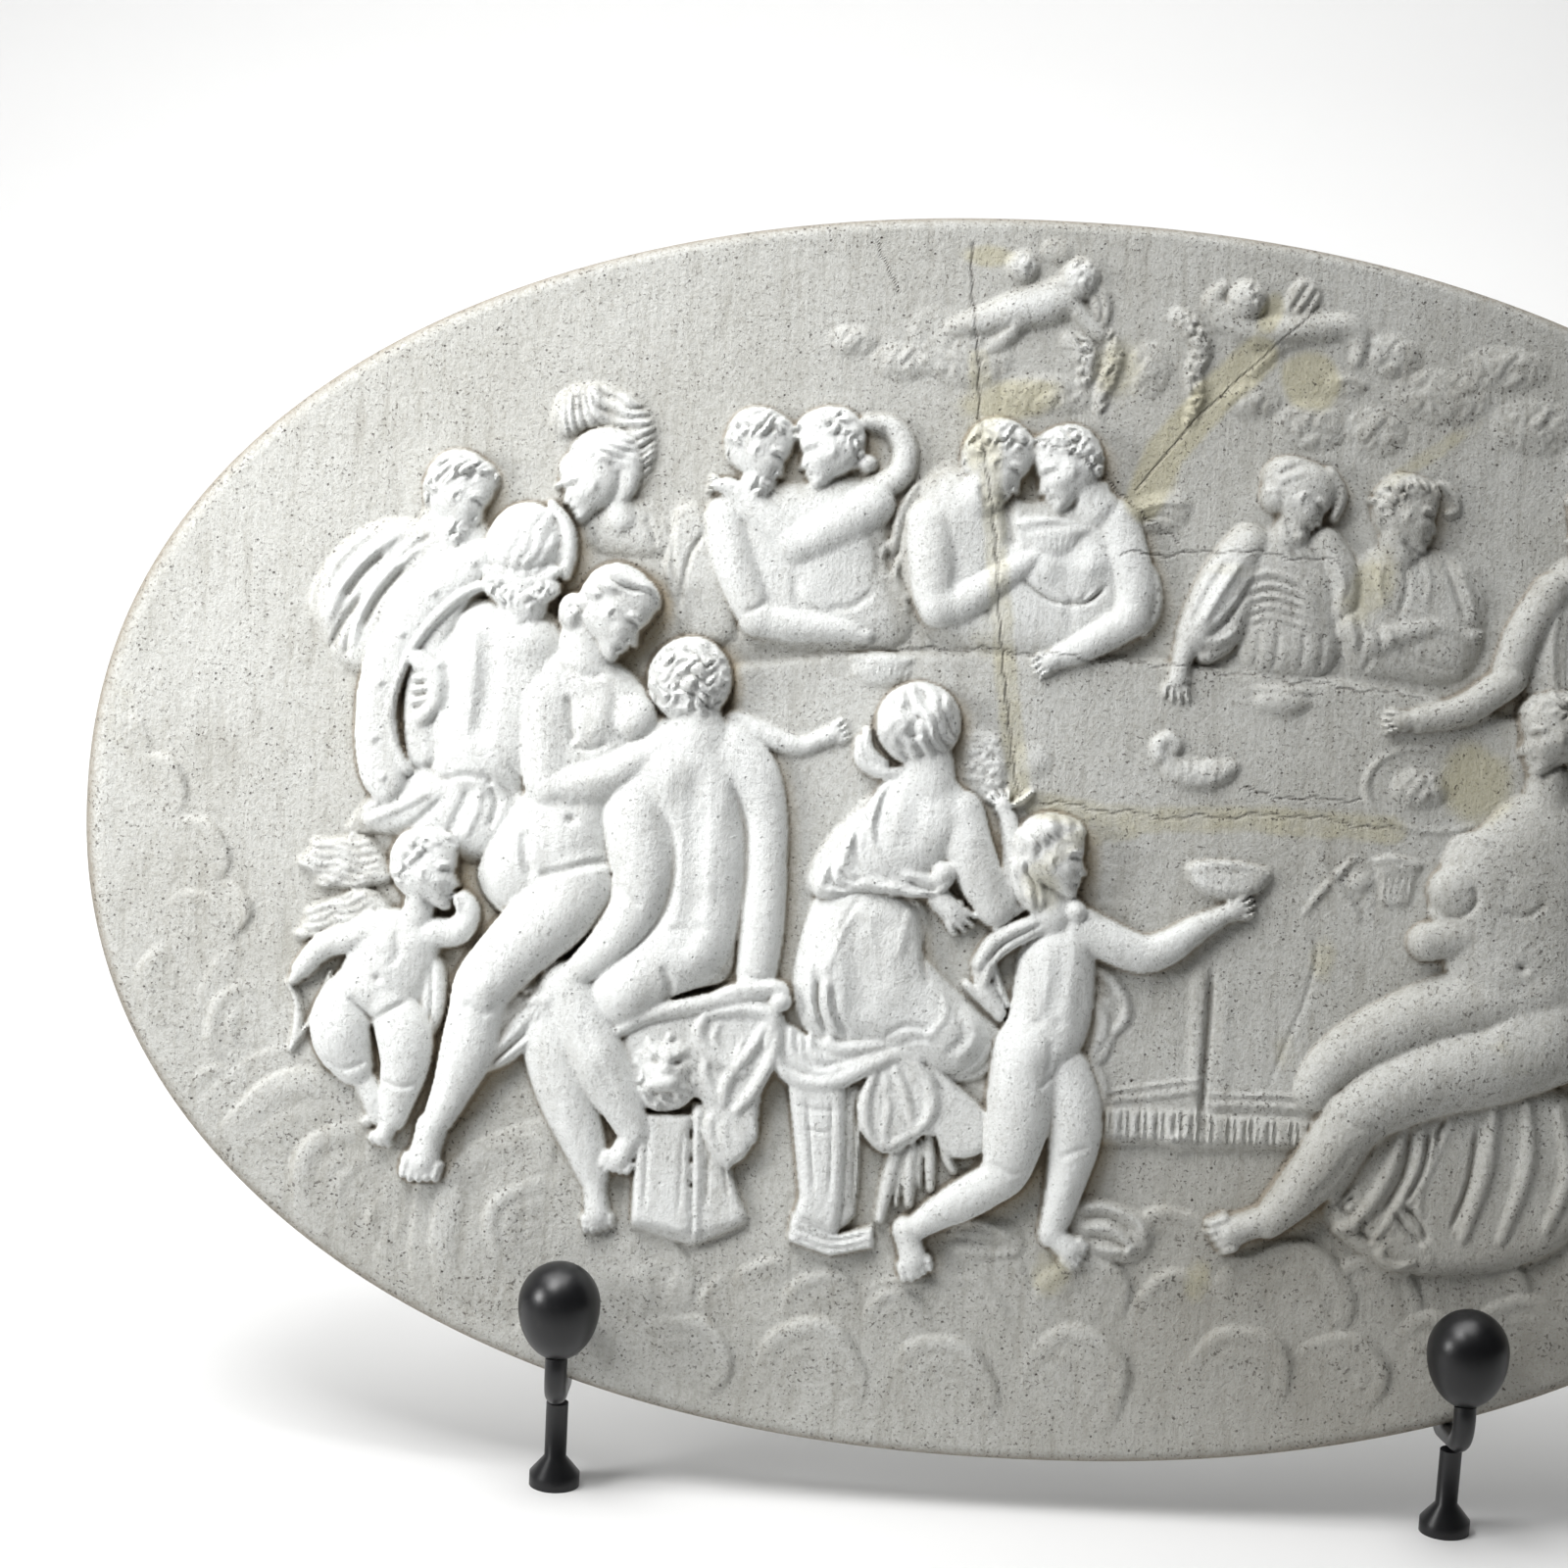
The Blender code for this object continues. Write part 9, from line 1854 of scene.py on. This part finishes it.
def finished(name, mesh, material):
    """Sets a mesh in the scene as a piece, smooth but for its sharp edges."""
    mesh.materials.append(material)
    mesh.shade_smooth()
    mesh.set_sharp_from_angle(angle=math.radians(50))
    thing = bpy.data.objects.new(name, mesh)
    bpy.context.collection.objects.link(thing)
    return thing


def circle(centre, radius, first, second):
    """Points round a centre in the plane of two directions."""
    turns = [2 * math.pi * i / ROUND_SIDES for i in range(ROUND_SIDES)]
    return [centre + radius * (math.cos(a) * first + math.sin(a) * second) for a in turns]


def turned_piece(name, profile, place, lean, material):
    """A piece turned from pairs of radius and rise, from below up, about a leaning axis."""
    turn = Matrix.Rotation(-lean, 3, 'X')
    across, deep, up = turn @ Vector((1, 0, 0)), turn @ Vector((0, 1, 0)), turn @ Vector((0, 0, 1))
    rings = [circle(place + rise * up, radius, across, deep) for radius, rise in profile]
    return shell(name, rings, material)


def rod(name, path, material):
    """A round rod along a path."""
    rings = []
    for i, place in enumerate(path):
        ahead = (path[min(i + 1, len(path) - 1)] - path[max(i - 1, 0)]).normalized()
        side = Vector((0, 1, 0)) if abs(ahead.x) > 0.9 else Vector((1, 0, 0))
        rings.append(circle(place, ROD_RADIUS, side, ahead.cross(side)))
    return shell(name, rings, material)


def bent(corners, radii):
    """A path of straight runs whose corners are arcs."""
    path = [corners[0]]
    for before, corner, after, radius in zip(corners, corners[1:], corners[2:], radii):
        a = (before - corner).normalized()
        b = (after - corner).normalized()
        half = a.angle(b) / 2
        middle = corner + (a + b).normalized() * radius / math.sin(half)
        start = corner + a * radius / math.tan(half) - middle
        end = corner + b * radius / math.tan(half) - middle
        sweep = start.angle(end)
        for i in range(ARC_PIECES + 1):
            t = i / ARC_PIECES
            arc = (start * math.sin((1 - t) * sweep) + end * math.sin(t * sweep)) / math.sin(sweep)
            path.append(middle + arc)
    return path + [corners[-1]]


def egg_profile():
    """Pairs of radius and rise of a finial, from the rod up to its tip."""
    seat = math.asin(ROD_RADIUS / FINIAL_RADIUS)
    lower = [seat + (math.pi / 2 - seat) * i / EGG_ROWS for i in range(EGG_ROWS)]
    upper = [math.pi / 2 * i / EGG_ROWS for i in range(EGG_ROWS)]
    return ([(FINIAL_RADIUS * math.sin(a), -FINIAL_LOWER * math.cos(a)) for a in lower]
            + [(FINIAL_RADIUS * math.cos(a), FINIAL_UPPER * math.sin(a)) for a in upper]
            + [(TIP_RADIUS, FINIAL_UPPER)])


def make_side(side, name, material):
    """One arm of the stand with its finial and front foot."""
    x = side * ARM_SPACING / 2
    share = abs(2 * x / LENGTH)
    rim = HEIGHT / 2 * (1 - share ** OUTLINE_POWER) ** (1 / OUTLINE_POWER)
    slope = HEIGHT / LENGTH * share ** (OUTLINE_POWER - 1) / (2 * rim / HEIGHT) ** (OUTLINE_POWER - 1)
    cradle = -rim - (ROD_RADIUS + CLEARANCE) * math.hypot(1, slope)
    front = -(FINIAL_RADIUS + FINIAL_STANDOFF)
    back = THICKNESS + CLEARANCE + ROD_RADIUS
    turn = Matrix.Rotation(-LEAN, 3, 'X')
    centre = plaque_centre()

    def leaned(depth, rise):
        return centre + turn @ Vector((x, depth, rise))

    egg_rise = FINIAL_RISE - rim
    profile = egg_profile()
    finial = turned_piece("egg_" + name, profile, leaned(front, egg_rise), LEAN, material)
    top = leaned(back, cradle + BACKREST_HEIGHT)
    corners = [leaned(front, egg_rise + profile[0][1] - CLEARANCE), leaned(front, cradle),
               leaned(back, cradle), top, Vector((x, top.y + REAR_REACH, 0.3 * top.z)),
               Vector((x, top.y + REAR_REACH, 0))]
    heel_bend = ROD_RADIUS + 0.6 * BACK_CHAMFER
    bends = (BEND_RADIUS, heel_bend, TOP_BEND_RADIUS, 2 * TOP_BEND_RADIUS)
    arm = rod("bent_" + name, bent(corners, bends), material)
    under = leaned((front + back) / 2, cradle)
    high = under.z - ROD_RADIUS / math.cos(LEAN) - ROD_RADIUS * math.tan(LEAN) - CLEARANCE
    profile = [(FOOT_RADIUS, 0), (FOOT_RADIUS, 0.15 * high), (ROD_RADIUS, 0.35 * high), (ROD_RADIUS, high)]
    foot = turned_piece("stub_" + name, profile, Vector((x, under.y, 0)), 0, material)
    return {"finial_" + name: finial, "arm_" + name: arm, "front_foot_" + name: foot}


def make_stand(material):
    """Smooth pieces in place of the stand's solids."""
    pieces = {**make_side(-1, "left", material), **make_side(1, "right", material)}
    for name in ("low", "high"):
        low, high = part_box("cross_bar_" + name)
        y, z = (low[1] + high[1]) / 2, (low[2] + high[2]) / 2
        ends = [Vector((low[0], y, z)), Vector((high[0], y, z))]
        pieces["cross_bar_" + name] = rod("bar_" + name, ends, material)
    for name, piece in pieces.items():
        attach(piece, "root")
        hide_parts(name)


def make_camera():
    """Camera square to the plaque, framed as in the photograph."""
    turn = Matrix.Rotation(-LEAN, 4, 'X')
    data = bpy.data.cameras.new("camera")
    data.sensor_width = SENSOR_WIDTH
    data.lens = SENSOR_WIDTH * CAMERA_DISTANCE / (FRAME_PIXELS * METRES_PER_PIXEL)
    camera = bpy.data.objects.new("camera", data)
    stand_off = turn @ Vector((0, -CAMERA_DISTANCE, 0))
    look = turn @ Matrix.Rotation(math.radians(90), 4, 'X') @ Matrix.Rotation(CAMERA_ROLL, 4, 'Z')
    camera.matrix_world = Matrix.Translation(plaque_centre() + turn @ CAMERA_AIM + stand_off) @ look
    bpy.context.collection.objects.link(camera)
    bpy.context.scene.camera = camera


def area_light(name, place, target, size, power, spread):
    """A square lamp at a place, turned to a target, with its beam's spread in degrees."""
    data = bpy.data.lights.new(name, 'AREA')
    data.size = size
    data.spread = math.radians(spread)
    data.energy = power
    light = bpy.data.objects.new(name, data)
    light.location = place
    light.rotation_euler = (target - place).to_track_quat('-Z', 'Y').to_euler()
    bpy.context.collection.objects.link(light)


def make_floor():
    """A pale floor that bends up into a wall behind the object."""
    radius = FLOOR_BEND_RADIUS
    turns = [i * math.pi / 16 for i in range(9)]
    outline = [(-FLOOR_SIZE / 2, 0.0)]
    outline += [(FLOOR_BEND_START + math.sin(a) * radius, radius - math.cos(a) * radius) for a in turns]
    outline.append((FLOOR_BEND_START + radius, FLOOR_SIZE / 2))
    points = [(x, y, z) for y, z in outline for x in (-FLOOR_SIZE, FLOOR_SIZE)]
    faces = [(2 * i, 2 * i + 1, 2 * i + 3, 2 * i + 2) for i in range(len(outline) - 1)]
    mesh = bpy.data.meshes.new("floor")
    mesh.from_pydata(points, [], faces)
    mesh.shade_smooth()
    mesh.materials.append(floor_material())
    floor = bpy.data.objects.new("floor", mesh)
    bpy.context.collection.objects.link(floor)


def make_lights():
    """A low window on the left and a high one, and soft light on the floor and the wall."""
    world = bpy.data.worlds.new("studio")
    world.use_nodes = True
    background = world.node_tree.nodes["Background"]
    background.inputs["Color"].default_value = (0.93, 0.96, 1, 1)
    background.inputs["Strength"].default_value = 0.03
    bpy.context.scene.world = world
    centre = plaque_centre()
    turn = Matrix.Rotation(-LEAN, 4, 'X')
    target = centre + turn @ Vector((-0.2, 0, 0.06))
    area_light("window", centre + turn @ Vector((-0.75, -0.36, 0.08)), target, 0.25, 0.9, 80)
    area_light("sky", centre + turn @ Vector((-0.38, -0.46, 0.56)), target, 0.35, 1.15, 80)
    area_light("wash", Vector((-0.3, 0.45, 2.0)), Vector((-0.1, 0.95, 0.3)), 2.0, 26, 110)
    area_light("backdrop", Vector((-0.2, 0.8, 1.8)), Vector((-0.2, 1.7, 0.9)), 1.2, 9, 130)


def build():
    bpy.context.scene.view_settings.view_transform = 'Standard'
    make_camera()
    make_floor()
    make_lights()
    plaster = plaster_material()
    black = black_material()
    for strip in make_plaque(plaster):
        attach(strip, "root")
        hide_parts("relief_plaque")
    make_stand(black)


build()
